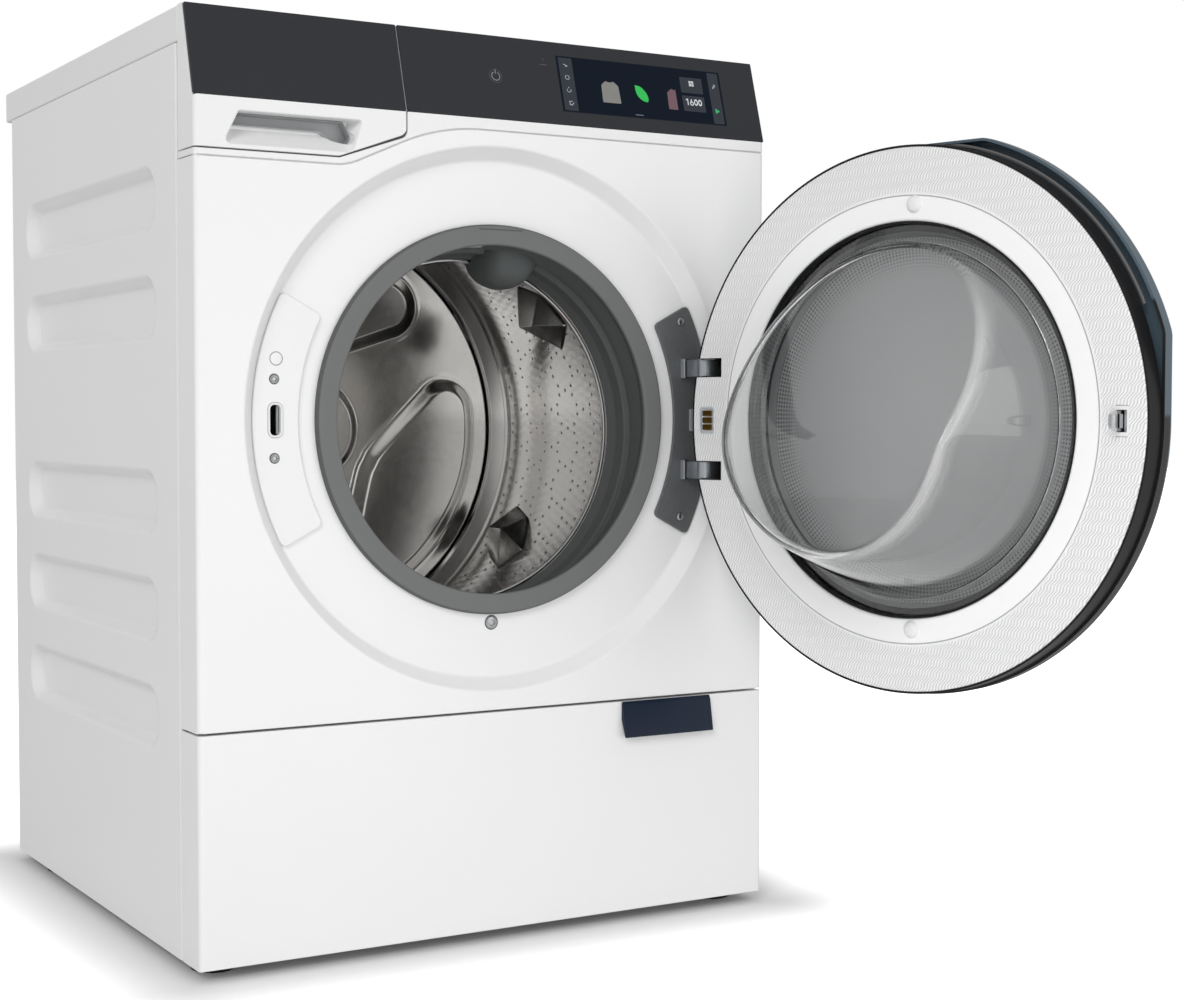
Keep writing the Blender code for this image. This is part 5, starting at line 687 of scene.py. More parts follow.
class Graph:
    """Node graph of one material."""

    def __init__(self, name: str) -> None:
        """Start a material that has only its Principled shader and output."""
        self.material = bpy.data.materials.new(name)
        self.material.use_nodes = True
        self.nodes = self.material.node_tree.nodes
        self.links = self.material.node_tree.links
        self.shader = self.nodes["Principled BSDF"]

    def node(self, kind: str, settings: dict | None = None, inputs: dict | None = None) -> bpy.types.Node:
        """Add a node, set it and feed its inputs.

        Args:
            kind: The node's type.
            settings: Properties to set first.
            inputs: Values, fields or sockets by input name or number.

        Returns:
            The node.
        """
        made = self.nodes.new(kind)
        for key, value in (settings or {}).items():
            setattr(made, key, value)
        for key, value in (inputs or {}).items():
            self.feed(made.inputs[key], value)
        return made

    def feed(self, socket: bpy.types.NodeSocket, value: object) -> None:
        """Link a field or socket to an input, or set its value."""
        if isinstance(value, Field):
            self.links.new(value.socket, socket)
        elif isinstance(value, bpy.types.NodeSocket):
            self.links.new(value, socket)
        else:
            socket.default_value = value

    def field(
        self, kind: str, settings: dict | None = None, inputs: dict | None = None, output: int | str = 0
    ) -> Field:
        """One output of a new node as a field."""
        return Field(self, self.node(kind, settings, inputs).outputs[output])

    def point(self, place: Place) -> bpy.types.NodeSocket:
        """Object coordinates turned back into a place's own frame."""
        back = place.matrix().inverted()
        coordinates = self.node("ShaderNodeTexCoord").outputs["Object"]
        inputs = {"Vector": coordinates, "Location": back.to_translation(), "Rotation": back.to_euler()}
        return self.node("ShaderNodeMapping", {"vector_type": "POINT"}, inputs).outputs[0]

    def split(self, point: bpy.types.NodeSocket) -> tuple[Field, Field, Field]:
        """The three coordinates of a point."""
        parts = self.node("ShaderNodeSeparateXYZ", None, {0: point})
        return tuple(Field(self, parts.outputs[k]) for k in range(3))

    def around(self, point: bpy.types.NodeSocket) -> tuple[Field, Field, Field, Field]:
        """The three coordinates of a point and its distance from the axis Y."""
        x, y, z = self.split(point)
        return x, y, z, (x * x + z * z).root()

    def angle(self, x: Field, z: Field) -> Field:
        """Angle round the axis Y."""
        return self.field("ShaderNodeMath", {"operation": "ARCTAN2"}, {0: z, 1: x})

    def noise(self, point: bpy.types.NodeSocket, scale: float, detail: float = 2.0) -> Field:
        """Noise from 0 to 1 around 0.5, with a number of cells per metre."""
        return self.field("ShaderNodeTexNoise", None, {"Vector": point, "Scale": scale, "Detail": detail})

    def stretched(
        self, point: bpy.types.NodeSocket, factors: tuple[float, float, float]
    ) -> bpy.types.NodeSocket:
        """Point with each coordinate multiplied, for streaks along the small ones."""
        return self.node("ShaderNodeVectorMath", {"operation": "MULTIPLY"}, {0: point, 1: factors}).outputs[0]

    def mix(self, mask: Field, first: object, second: object) -> bpy.types.NodeSocket:
        """Colour that goes from the first where the mask is 0 to the second where it is 1."""
        made = self.node(
            "ShaderNodeMix", {"data_type": "RGBA", "clamp_factor": True}, {0: mask, 6: first, 7: second}
        )
        return made.outputs[2]

    def bump(self, height: Field, distance: float, strength: float = 1.0) -> None:
        """Bump of the shader's normal by a height given in parts of a distance."""
        inputs = {"Height": height, "Distance": distance, "Strength": strength}
        self.feed(self.shader.inputs["Normal"], self.node("ShaderNodeBump", None, inputs).outputs[0])

    def surface(self, **sockets: object) -> None:
        """Set sockets of the shader; underscores stand for spaces."""
        for name, value in sockets.items():
            self.feed(self.shader.inputs[name.replace("_", " ")], value)


Colour = tuple[float, float, float]
MATERIALS: dict[tuple, bpy.types.Material] = {}


def rgba(colour: Colour) -> tuple[float, float, float, float]:
    """Colour with full alpha."""
    return (*colour, 1.0)


def tone(colour: Colour, factor: float) -> tuple[float, float, float, float]:
    """Lighter or darker version of a colour."""
    return tuple(min(part * factor, 1.0) for part in colour) + (1.0,)


@dataclass(frozen=True)
class Finish:
    """Base of all finishes: a colour, its gloss and a fine grain."""

    name: str
    colour: Colour
    roughness: float = 0.4
    metallic: float = 0.0
    grain: float = 900.0
    relief: float = 0.00003
    gloss: float = 0.5

    def material(self, place: Place) -> bpy.types.Material:
        """Material of this finish for pieces of a place, made once."""
        key = (self.name, place)
        if key not in MATERIALS:
            graph = Graph(self.name)
            graph.shader.inputs["Specular IOR Level"].default_value = self.gloss
            self.dress(graph, place)
            MATERIALS[key] = graph.material
        return MATERIALS[key]

    def shades(self, graph: Graph, mask: Field, low: float, high: float) -> bpy.types.NodeSocket:
        """The colour times a low factor where the mask is 0, and times a high one where it is 1."""
        return graph.mix(mask, tone(self.colour, low), tone(self.colour, high))

    def rough(self, mask: Field, low: float, span: float) -> Field:
        """The roughness times a low factor, which rises by a span with the mask."""
        return self.roughness * (low + span * mask)

    def dress(self, graph: Graph, place: Place) -> None:
        """Plain colour with slight clouding, uneven gloss and fine relief."""
        point = graph.point(place)
        cloud = graph.noise(point, 9.0, 3.0)
        fine = graph.noise(point, self.grain, 2.0)
        colour = self.shades(graph, cloud, 0.985, 1.015)
        graph.surface(Base_Color=colour, Metallic=self.metallic, Roughness=self.rough(cloud, 0.9, 0.2))
        graph.bump(fine, self.relief)


@dataclass(frozen=True)
class Enamel(Finish):
    """Stoved enamel on sheet: glossy lacquer with a long, faint ripple."""

    def dress(self, graph: Graph, place: Place) -> None:
        """Paint colour under a clear coat, with ripple and fine texture."""
        point = graph.point(place)
        cloud = graph.noise(point, 6.0, 2.0)
        ripple = graph.noise(point, 160.0, 1.0) + 0.35 * graph.noise(point, self.grain, 2.0)
        colour = self.shades(graph, cloud, 0.99, 1.01)
        graph.surface(
            Base_Color=colour, Roughness=self.rough(cloud, 0.92, 0.16), Coat_Weight=0.25, Coat_Roughness=0.15
        )
        graph.bump(ripple, self.relief)


@dataclass(frozen=True)
class Brushed(Finish):
    """Bare metal with streaks along one direction."""

    metallic: float = 1.0
    streak: tuple[float, float, float] = (1.0, 40.0, 40.0)

    def dress(self, graph: Graph, place: Place) -> None:
        """Metal whose gloss and relief follow stretched noise."""
        point = graph.point(place)
        lines = graph.noise(graph.stretched(point, self.streak), 60.0, 4.0)
        cloud = graph.noise(point, 12.0, 2.0)
        colour = self.shades(graph, lines, 0.93, 1.06)
        rough = self.roughness * (0.75 + 0.35 * lines + 0.15 * cloud)
        graph.surface(Base_Color=colour, Metallic=self.metallic, Roughness=rough)
        graph.bump(lines, self.relief)


@dataclass(frozen=True)
class Galvanised(Finish):
    """Zinc-coated sheet with its crystal flakes."""

    def dress(self, graph: Graph, place: Place) -> None:
        """Flakes of a Voronoi pattern with slightly different colour and gloss."""
        point = graph.point(place)
        flakes = graph.field("ShaderNodeTexVoronoi", None, {"Vector": point, "Scale": 70.0}, "Distance")
        cells = graph.noise(point, 40.0, 3.0)
        colour = self.shades(graph, cells, 0.85, 1.12)
        graph.surface(Base_Color=colour, Metallic=1.0, Roughness=self.rough(flakes, 0.8, 0.4))
        graph.bump(cells, self.relief)


@dataclass(frozen=True)
class CastMetal(Finish):
    """Sand-cast or die-cast metal with a pebbled skin."""

    def dress(self, graph: Graph, place: Place) -> None:
        """Pebbled relief in two sizes, with colour that darkens in its pits."""
        point = graph.point(place)
        coarse = graph.noise(point, self.grain / 3, 3.0)
        fine = graph.noise(point, self.grain, 2.0)
        skin = 0.6 * coarse + 0.4 * fine
        colour = self.shades(graph, skin, 0.8, 1.2)
        graph.surface(Base_Color=colour, Metallic=self.metallic, Roughness=self.rough(fine, 0.8, 0.4))
        graph.bump(skin, self.relief)


@dataclass(frozen=True)
class Rubber(Finish):
    """Moulded rubber: matt, powdery, a little uneven."""

    def dress(self, graph: Graph, place: Place) -> None:
        """Dull colour with powdery specks."""
        point = graph.point(place)
        cloud = graph.noise(point, 25.0, 4.0)
        speck = graph.noise(point, self.grain, 3.0)
        colour = self.shades(graph, cloud, 0.92, 1.08)
        graph.surface(Base_Color=colour, Roughness=self.rough(speck, 0.85, 0.3))
        graph.bump(speck, self.relief)


@dataclass(frozen=True)
class SealRubber(Finish):
    """Rubber whose lip's face shows its own pale grey, with painted shade as a dark tone outside the lip and
    down the walls and folds.
    """

    dark: Colour = (0.098, 0.103, 0.101)
    lip_outer: float = 0.1808
    lip_depth: float = 0.0085
    lip_end: float = 0.0130

    def dress(self, graph: Graph, place: Place) -> None:
        """Pale tone on the lip's face; painted shade as a dark tone outside it, down the bellows and in the
        lip's slot; fine specks.
        """
        point = graph.point(place)
        x, y, z, radius = graph.around(point)
        face = y.step(self.lip_end, self.lip_depth)
        lip = face * radius.step(self.lip_outer + 0.0008, self.lip_outer - 0.0004)
        cloud = graph.noise(point, 25.0, 4.0)
        speck = graph.noise(point, self.grain, 3.0)
        pale = self.shades(graph, cloud, 0.96, 1.04)
        # The dark tone is painted shade outside the lip and deeper in the seal.
        deep = graph.mix(cloud, tone(self.dark, 0.92), tone(self.dark, 1.08))
        # The lip's slot is drawn in the dark tone: a painted shade line.
        slot = abs(x - 0.003).step(0.0235, 0.0225) * abs(z - 0.1775).step(0.0010, 0.0005) * lip
        colour = graph.mix(lip * (1.0 - slot), deep, pale)
        graph.surface(Base_Color=colour, Roughness=self.rough(speck, 0.85, 0.3))
        graph.bump(speck, self.relief)


@dataclass(frozen=True)
class ClearGlass(Finish):
    """Glass that lets light through, with faint drawing ripples."""

    clearness: float = 1.0

    def dress(self, graph: Graph, place: Place) -> None:
        """Transmissive shader with a long ripple in its relief."""
        point = graph.point(place)
        ripple = graph.noise(point, 30.0, 1.0)
        colour = self.shades(graph, ripple, 0.98, 1.0)
        graph.surface(
            Base_Color=colour, Roughness=self.roughness, IOR=1.47, Transmission_Weight=self.clearness
        )
        graph.bump(ripple, self.relief)


@dataclass(frozen=True)
class BowlGlass(ClearGlass):
    """Clear pressed glass with a painted highlight: white mixed in along the fold between wall and face."""

    radius: float = 0.1600
    start: float = 0.0020
    taper: float = 0.362
    end: float = 0.1180
    slope: float = 0.622
    fold: float = -0.0200

    def dress(self, graph: Graph, place: Place) -> None:
        """Clear glass with white mixed in as a painted highlight along the line where wall and face depths
        meet.
        """
        super().dress(graph, place)
        _, _, z, radius = graph.around(graph.point(place))
        wall = self.start + (self.radius - radius) / self.taper
        face = self.end - self.slope * (z - self.fold).most(0.0)
        apart = abs((wall - face) * self.taper)
        # White diffuse mixed in along the fold, about a quarter strong: a painted highlight.
        painted_highlight = apart.step(0.0044, 0.0010) * wall.step(0.014, 0.070) * 0.26
        white = graph.node("ShaderNodeBsdfDiffuse", None, {"Color": (0.95, 0.95, 0.95, 1.0)})
        both = graph.node(
            "ShaderNodeMixShader", None, {0: painted_highlight, 1: graph.shader.outputs[0], 2: white.outputs[0]}
        )
        graph.links.new(both.outputs[0], graph.nodes["Material Output"].inputs["Surface"])


@dataclass(frozen=True)
class DrumSteel(Finish):
    """Bright rolled steel with groups of five pierced holes on a staggered lattice."""

    row_pitch: float = 0.072
    angle_pitch: float = radians(9.9)
    first_row: float = 0.0180
    phase: float = radians(0.25)
    hole: float = 0.00095
    spread: float = 0.0143
    spread_angle: float = radians(1.2)
    first: float = 0.105
    last: float = 0.438

    def dress(self, graph: Graph, place: Place) -> None:
        """Steel whose holes, painted near-black as painted shade, are found from the angle round the axis and
        the depth.
        """
        point = graph.point(place)
        x, y, z, radius = graph.around(point)
        angle = graph.angle(x, z)
        wall = radius.step(0.236, 0.2475) * y.step(self.first - 0.003, self.first)
        wall = wall * y.step(self.last + 0.003, self.last)
        nearest = None
        for shift in (0.0, 0.5):
            across = (angle - self.phase - shift * self.angle_pitch).wrap(self.angle_pitch)
            along = (y - self.first_row - shift * self.row_pitch).wrap(self.row_pitch)
            corner_across = (abs(across) - self.spread_angle) * 0.25
            corner_along = abs(along) - self.spread
            middle = across * 0.25
            corner = (corner_across * corner_across + corner_along * corner_along).root()
            centre = (middle * middle + along * along).root()
            found = corner.least(centre)
            nearest = found if nearest is None else nearest.least(found)
        hole = nearest.step(self.hole * 1.15, self.hole * 0.85) * wall
        rim = nearest.step(self.hole * 2.6, self.hole * 1.1) * wall
        wave = graph.noise(point, 14.0, 2.0)
        grain = graph.noise(graph.stretched(point, (30.0, 2.0, 30.0)), 30.0, 3.0)
        # The holes are painted near-black and rough: painted shade of the dark behind them.
        colour = graph.mix(hole, self.shades(graph, grain, 0.97, 1.03), (0.03, 0.03, 0.03, 1.0))
        graph.surface(Base_Color=colour, Metallic=1.0, Roughness=self.rough(grain, 0.8, 0.4) + 0.5 * hole)
        dimple = (y * (tau / 0.0286)).sine() * (angle * (tau / radians(2.4))).sine() * wall
        graph.bump(wave * self.relief * 300.0 - 0.15 * rim + 0.001 * grain + 0.035 * dimple, 0.001)


@dataclass(frozen=True)
class RingPlastic(Finish):
    """White moulding of the door with fine wavy ridges outside its smooth inner band."""

    seam: float = 0.2005
    pitch: float = 0.0031

    def dress(self, graph: Graph, place: Place) -> None:
        """Slanting ridges that swing to and fro, a fine groove at the seam and a satin skin; both carry
        painted light and shade in their colour.
        """
        point = graph.point(place)
        x, y, z, radius = graph.around(point)
        swing = (z * (tau / 0.0105)).sine() * 0.0009
        outside = radius.step(self.seam, self.seam + 0.004)
        ridge = ((x + 0.62 * z + swing) * (tau / self.pitch)).sine() * outside
        front = y.step(DOOR_FACE - 0.0012, DOOR_FACE - 0.0004)
        groove = abs(radius - self.seam).step(0.0009, 0.0002) * front
        cloud = graph.noise(point, 8.0, 2.0)
        # The ridges' colour runs from lighter to darker across each ridge: painted light and shade.
        painted_ridge_shade = (0.5 + 0.5 * ridge) * outside * front
        colour = self.shades(graph, painted_ridge_shade, 1.05, 0.74)
        # The groove is painted dark: painted shade.
        colour = graph.mix(groove, colour, tone(self.colour, 0.45))
        graph.surface(Base_Color=colour, Roughness=self.rough(cloud, 0.9, 0.2))
        graph.bump(ridge * 0.5 * front - groove, 0.0003)


@dataclass(frozen=True)
class ShellPlastic(Finish):
    """Two-shot moulding of the door's shell: blue-grey cover with a black side outside the lobe."""

    dark: Colour = (0.010, 0.010, 0.011)
    side: float = -0.0270
    back: float = -0.0174
    lobe_start: float = radians(91.0)
    lobe_end: float = radians(179.0)
    hollow: float = radians(157.0)

    def dress(self, graph: Graph, place: Place) -> None:
        """Blue-grey on the cover and on the lobe's side, black on the rest of the side and in the hollow."""
        point = graph.point(place)
        x, y, z = graph.split(point)
        angle = graph.angle(x, z)
        soft = radians(0.6)
        lobe = angle.between(self.lobe_start, self.lobe_end, soft)
        hollow = angle.step(self.hollow - soft, self.hollow + soft) * y.step(self.back - 0.0003, self.back)
        side = y.step(self.side - 0.0004, self.side + 0.0004)
        black = (side * (1.0 - lobe)).most(side * hollow)
        cloud = graph.noise(point, 9.0, 3.0)
        blue = self.shades(graph, cloud, 0.97, 1.03)
        colour = graph.mix(black, blue, rgba(self.dark))
        graph.surface(Base_Color=colour, Roughness=self.rough(cloud, 0.9, 0.2))
        graph.bump(graph.noise(point, self.grain, 2.0), self.relief)


@dataclass(frozen=True)
class PrintedGlass(Finish):
    """Tinted disc with a border of fine radial print that fades towards the middle."""

    inner: float = 0.128
    outer: float = 0.160

    def dress(self, graph: Graph, place: Place) -> None:
        """Smoky glass mixed with opaque print where the radial lines fall."""
        point = graph.point(place)
        x, _, z, radius = graph.around(point)
        angle = graph.angle(x, z)
        lines = 0.5 + 0.5 * (angle * 260.0).sine()
        dots = 0.5 + 0.5 * (radius * (tau / 0.0032)).sine()
        border = radius.step(self.inner, self.outer)
        ink = (lines * dots * 1.6).least(1.0) * border * 0.75
        colour = graph.mix(ink, rgba(self.colour), (0.012, 0.012, 0.013, 1.0))
        graph.surface(Base_Color=colour, Roughness=self.roughness, Coat_Weight=0.3)
        graph.bump(ink, self.relief)


@dataclass(frozen=True)
class PanelGlass(Finish):
    """Back-painted fascia glass with a dark blue display field."""

    left: float = 0.068
    right: float = 0.256
    low: float = 0.014
    high: float = 0.071
    display: Colour = (0.004, 0.008, 0.016)

    def dress(self, graph: Graph, place: Place) -> None:
        """Anthracite print with the display's field in dark blue."""
        point = graph.point(FASCIA)
        x, _, z = graph.split(point)
        edge = 0.0006
        inside = x.between(self.left, self.right, edge) * z.between(self.low, self.high, edge)
        cloud = graph.noise(point, 5.0, 2.0)
        colour = self.shades(graph, cloud, 0.96, 1.04)
        colour = graph.mix(inside, colour, rgba(self.display))
        graph.surface(Base_Color=colour, Roughness=self.rough(cloud, 0.9, 0.2))
        graph.bump(cloud, self.relief)


@dataclass(frozen=True)
class Lit(Finish):
    """Lit field of the display."""

    glow: float = 0.8

    def dress(self, graph: Graph, place: Place) -> None:
        """Emission of the field's colour over a dark base, with faint unevenness."""
        point = graph.point(place)
        cloud = graph.noise(point, 120.0, 2.0)
        colour = self.shades(graph, cloud, 0.9, 1.0)
        graph.surface(
            Base_Color=(0.01, 0.01, 0.012, 1.0),
            Emission_Color=colour,
            Emission_Strength=self.glow,
            Roughness=0.3,
        )


WHITE_ENAMEL = Enamel("white enamel", (0.84, 0.84, 0.84), 0.32, relief=0.000012)
WHITE_PLASTIC = Finish("white plastic", (0.83, 0.83, 0.83), 0.38, grain=1400.0, relief=0.00001)
LID_PLASTIC = Finish("lid plastic", (0.80, 0.80, 0.80), 0.42, grain=1200.0, relief=0.00002)
PAD_PLASTIC = Finish("pad plastic", (0.825, 0.825, 0.825), 0.35, grain=1500.0, relief=0.00001)
RING_PLASTIC = RingPlastic("ring plastic", (0.90, 0.90, 0.90), 0.40)
DARK_GLASS = PanelGlass("dark glass", (0.034, 0.036, 0.040), 0.07, relief=0.000001, gloss=0.10)
SEAL_RUBBER = SealRubber("seal rubber", (0.158, 0.163, 0.161), 0.62, grain=700.0, relief=0.00002, gloss=0.3)
# Darker copy of the seal's rubber for the bulge: painted shade.
SHADED_BELLOWS_RUBBER = Rubber("shaded bellows rubber", (0.106, 0.114, 0.113), 0.60, grain=700.0, relief=0.00002, gloss=0.3)
FOOT_RUBBER = Rubber("foot rubber", (0.015, 0.015, 0.016), 0.75, grain=500.0, relief=0.00004, gloss=0.3)
DRUM_STEEL = DrumSteel("drum steel", (0.80, 0.79, 0.775), 0.15)
REAR_STEEL = Brushed("drum back steel", (0.88, 0.87, 0.85), 0.17, streak=(2.0, 6.0, 2.0), relief=0.000002)
LIP_STEEL = Brushed("drum lip steel", (0.96, 0.96, 0.95), 0.30, relief=0.000002)
PLAIN_STEEL = Brushed("plain steel", (0.34, 0.35, 0.37), 0.34, relief=0.000008)
ARM_STEEL = Brushed("arm steel", (0.50, 0.53, 0.56), 0.40, streak=(30.0, 30.0, 1.0), relief=0.000006)
CHROME = Brushed("chrome", (0.60, 0.61, 0.63), 0.18, relief=0.000002)
SCREW_STEEL = Brushed("screw steel", (0.50, 0.51, 0.52), 0.30, relief=0.000004)
ZINC = CastMetal("dark cast metal", (0.135, 0.140, 0.147), 0.42, 0.30, grain=900.0, relief=0.00004)
IRON = CastMetal("cast iron", (0.11, 0.11, 0.115), 0.75, 0.3, grain=300.0, relief=0.0002)
ALUMINIUM = CastMetal("cast aluminium", (0.55, 0.56, 0.57), 0.38, 1.0, grain=500.0, relief=0.00006)
ZINC_SHEET = Galvanised("galvanised sheet", (0.50, 0.51, 0.52), 0.42, 1.0, relief=0.00001)
GREY_PLASTIC = Finish("grey plastic", (0.30, 0.31, 0.32), 0.50, grain=700.0, relief=0.00004)
BLACK_PLASTIC = Finish("black plastic", (0.022, 0.022, 0.024), 0.38, grain=1200.0, relief=0.00002)
RIM_BLACK = Finish("rim black", (0.013, 0.013, 0.014), 0.34, grain=1200.0, relief=0.00001, gloss=0.15)
SHELL_BLUE = ShellPlastic("shell blue grey", (0.082, 0.118, 0.148), 0.36, grain=1500.0, relief=0.00001)
# Grey of the grip hollow's lining, which is painted shade, and of the glass seam.
GRIP_SHADE_AND_SEAM_GREY = Finish("grip shade and seam grey", (0.42, 0.43, 0.44), 0.40, grain=1500.0, relief=0.00001)
NAVY = Finish("tab navy", (0.0060, 0.0130, 0.0310), 0.34, grain=1500.0, relief=0.00001, gloss=0.2)
NOZZLE_GREY = Finish("nozzle grey", (0.42, 0.44, 0.44), 0.25, grain=1200.0, relief=0.00001)
LIFTER_STEEL = Brushed("lifter steel", (0.92, 0.91, 0.89), 0.16, streak=(2.0, 6.0, 2.0), relief=0.000001)
PANE_GLASS = Finish("outer pane", (0.020, 0.022, 0.025), 0.08, grain=300.0, relief=0.000001)
GOLD = Brushed("gold contacts", (0.42, 0.24, 0.06), 0.30, relief=0.000004)
BOWL_GLASS = BowlGlass("bowl glass", (0.97, 0.98, 0.98), 0.0, relief=0.00002)
WINDOW_GLASS = PrintedGlass("window glass", (0.35, 0.35, 0.352), 0.20, relief=0.000004)
STRIP_GREY = Finish("grip strip grey", (0.150, 0.145, 0.142), 0.40, grain=1500.0, relief=0.00001)
# Dark grey of the screws' rings of painted shade and of the drawer's seam.
SHADE_RING_AND_SEAM_GREY = Finish("screw shade ring and seam grey", (0.09, 0.09, 0.092), 0.50, grain=1500.0, relief=0.00001)
# Grey of the painted shadow lines on the lock plate.
SHADOW_LINE_GREY = Finish("shadow line grey", (0.30, 0.30, 0.302), 0.50, grain=1500.0, relief=0.00001)
CONTACT_BLUE = Finish("contact frame blue", (0.50, 0.55, 0.60), 0.40, grain=1500.0, relief=0.00001)
# Paler copy of the arm steel for the folds: a painted highlight.
FOLD_HIGHLIGHT_GREY = Finish("arm fold highlight grey", (0.36, 0.38, 0.40), 0.35, metallic=0.4, grain=1500.0, relief=0.00001)
WINDOW_GREY = Finish("window border", (0.22, 0.22, 0.222), 0.40, grain=1500.0, relief=0.00001)

NODE_FINISHES = {
    "side_panel_left": WHITE_ENAMEL, "side_panel_right": WHITE_ENAMEL, "worktop": LID_PLASTIC,
    "base_pan": ZINC_SHEET, "foot_front_left": FOOT_RUBBER, "foot_front_right": FOOT_RUBBER,
    "foot_rear_left": FOOT_RUBBER, "foot_rear_right": FOOT_RUBBER, "front_panel": WHITE_ENAMEL,
    "lock_cover": PAD_PLASTIC, "door_lock": BLACK_PLASTIC, "hinge_bracket": ARM_STEEL, "hinge_cover": ZINC,
    "fascia_carrier": WHITE_PLASTIC, "control_glass": DARK_GLASS, "display_module": BLACK_PLASTIC,
    "dispenser_housing": GREY_PLASTIC, "door_seal": SEAL_RUBBER, "spray_nozzle": GREY_PLASTIC,
    "tub_front": GREY_PLASTIC, "tub_rear": GREY_PLASTIC, "counterweight_upper": IRON,
    "counterweight_lower": IRON, "top_rail": ZINC_SHEET, "spring_left": PLAIN_STEEL,
    "spring_right": PLAIN_STEEL, "damper_left": BLACK_PLASTIC, "damper_right": BLACK_PLASTIC,
    "motor": ALUMINIUM, "motor_pulley": PLAIN_STEEL, "drive_belt": FOOT_RUBBER,
    "drum_shell": DRUM_STEEL, "drum_rear": REAR_STEEL, "drum_spider": ALUMINIUM,
    "drum_shaft": PLAIN_STEEL, "drum_pulley": ALUMINIUM, "drum_bearing": PLAIN_STEEL,
    "drawer_front": WHITE_PLASTIC, "drawer_glass": DARK_GLASS, "drawer_tray": GREY_PLASTIC,
    "door_ring": RING_PLASTIC, "door_rim": RIM_BLACK, "door_shell": SHELL_BLUE, "door_bowl": BOWL_GLASS,
    "door_window": WINDOW_GLASS, "door_latch": CHROME, "door_contacts": GOLD, "hinge_pin": PLAIN_STEEL,
    "service_flap": WHITE_ENAMEL, "flap_tab": NAVY, "dosing_container_1": LID_PLASTIC,
    "dosing_container_2": LID_PLASTIC, "drain_pump": BLACK_PLASTIC, "filter_cap": GREY_PLASTIC,
    "rear_panel": ZINC_SHEET, "rear_cover": ZINC_SHEET, "inlet_valve": WHITE_PLASTIC,
    "drain_spigot": GREY_PLASTIC, "cable_gland": BLACK_PLASTIC,
}

NODE_PLACES = {"door": DOOR, "drum": DRUM}


def dress_nodes() -> None:
    """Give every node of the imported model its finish."""
    for name, item in frame["nodes"].items():
        place = NODE_PLACES.get(item["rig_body"], MACHINE)
        for slot in item.material_slots:
            slot.material = NODE_FINISHES[name].material(place)


# Sub-assemblies.


@dataclass
class Cabinet:
    """Side panels with stamped pockets, and the lid."""

    front: float = 0.046
    flange: float = 0.0135
    fold: float = 0.002
    sheet: float = 0.0012
    pocket_depth: float = 0.012
    pocket_slope: float = 0.0105
    pocket_half: float = 0.0305
    pocket_front: float = 0.103
    pocket_back: float = 0.530
    pocket_heights: tuple[float, ...] = (0.218, 0.3165, 0.415, 0.5915, 0.690)
    lid_front: float = 0.0413
    lid_back: float = 0.6092
    lid_edge: float = 0.0022

    def pockets(self, y: np.ndarray, z: np.ndarray) -> np.ndarray:
        """Depth of the pockets at places of the side: a smooth step of the distance inside a stadium."""
        depth = np.zeros(np.broadcast(y, z).shape)
        for height in self.pocket_heights:
            core = np.clip(y, self.pocket_front + self.pocket_half, self.pocket_back - self.pocket_half)
            inside = self.pocket_half - np.hypot(y - core, z - height)
            depth = np.maximum(depth, self.pocket_depth * smooth(inside / self.pocket_slope))
        return depth

    def side(self, name: str, sign: float) -> None:
        """One side panel: its plan is a folded line, its face sinks into the pockets."""
        back = BODY_DEPTH
        plan = rounded(
            [
                (self.flange, self.front, 0.0),
                (0.0, self.front, self.fold),
                (0.0, back, self.fold),
                (self.flange, back, 0.0),
            ],
            steps=5,
        )
        ends = len(plan) // 2
        face = spans(
            (0.050, 0.100, 0.005),
            (0.100, 0.140, 0.0014),
            (0.140, 0.492, 0.016),
            (0.492, 0.534, 0.0014),
            (0.534, 0.582, 0.005),
        )
        lines = np.concatenate([plan[:ends], np.stack([np.zeros_like(face), face], axis=-1), plan[ends:]])
        reach = self.pocket_half + 0.001
        rising = [(FLOOR_GAP, self.pocket_heights[0] - reach, 0.02)]
        for i, height in enumerate(self.pocket_heights):
            rising += [
                (height - reach, height - 0.018, 0.0014),
                (height - 0.018, height + 0.018, 0.004),
                (height + 0.018, height + reach, 0.0014),
            ]
            last = i + 1 == len(self.pocket_heights)
            above = LID_BOTTOM - 0.0006 if last else self.pocket_heights[i + 1] - reach
            rising.append((height + reach, above, 0.01))
        heights = spans(*rising)
        on_face = np.where(lines[:, 0] > 1e-9, 0.0, 1.0)[None]
        inward = lines[None, :, 0] + on_face * self.pockets(lines[None, :, 1], heights[:, None])
        x = sign * (HALF_WIDTH - inward)
        y = np.broadcast_to(lines[None, :, 1], x.shape)
        z = np.broadcast_to(heights[:, None], x.shape)
        piece = Piece(name)
        piece.plate(np.stack([x, y, z], axis=-1), sign * self.sheet)
        piece.make("cabinet", WHITE_ENAMEL, "white_enamel", (name,))

    def lid(self) -> None:
        """Lid with rounded edges."""
        half = HALF_WIDTH
        outline = rounded(
            [
                (-half, self.lid_front, 0.001),
                (half, self.lid_front, 0.001),
                (half, self.lid_back, 0.004),
                (-half, self.lid_back, 0.004),
            ],
            loop=True,
        )
        piece = Piece("lid")
        piece.body(along_z(slab(outline, LID_BOTTOM, HEIGHT, self.lid_edge)))
        piece.make("cabinet", LID_PLASTIC, "white_plastic", ("worktop",))

    def build(self) -> None:
        """Make the cabinet's pieces."""
        self.side("side_panel_left", -1.0)
        self.side("side_panel_right", 1.0)
        self.lid()


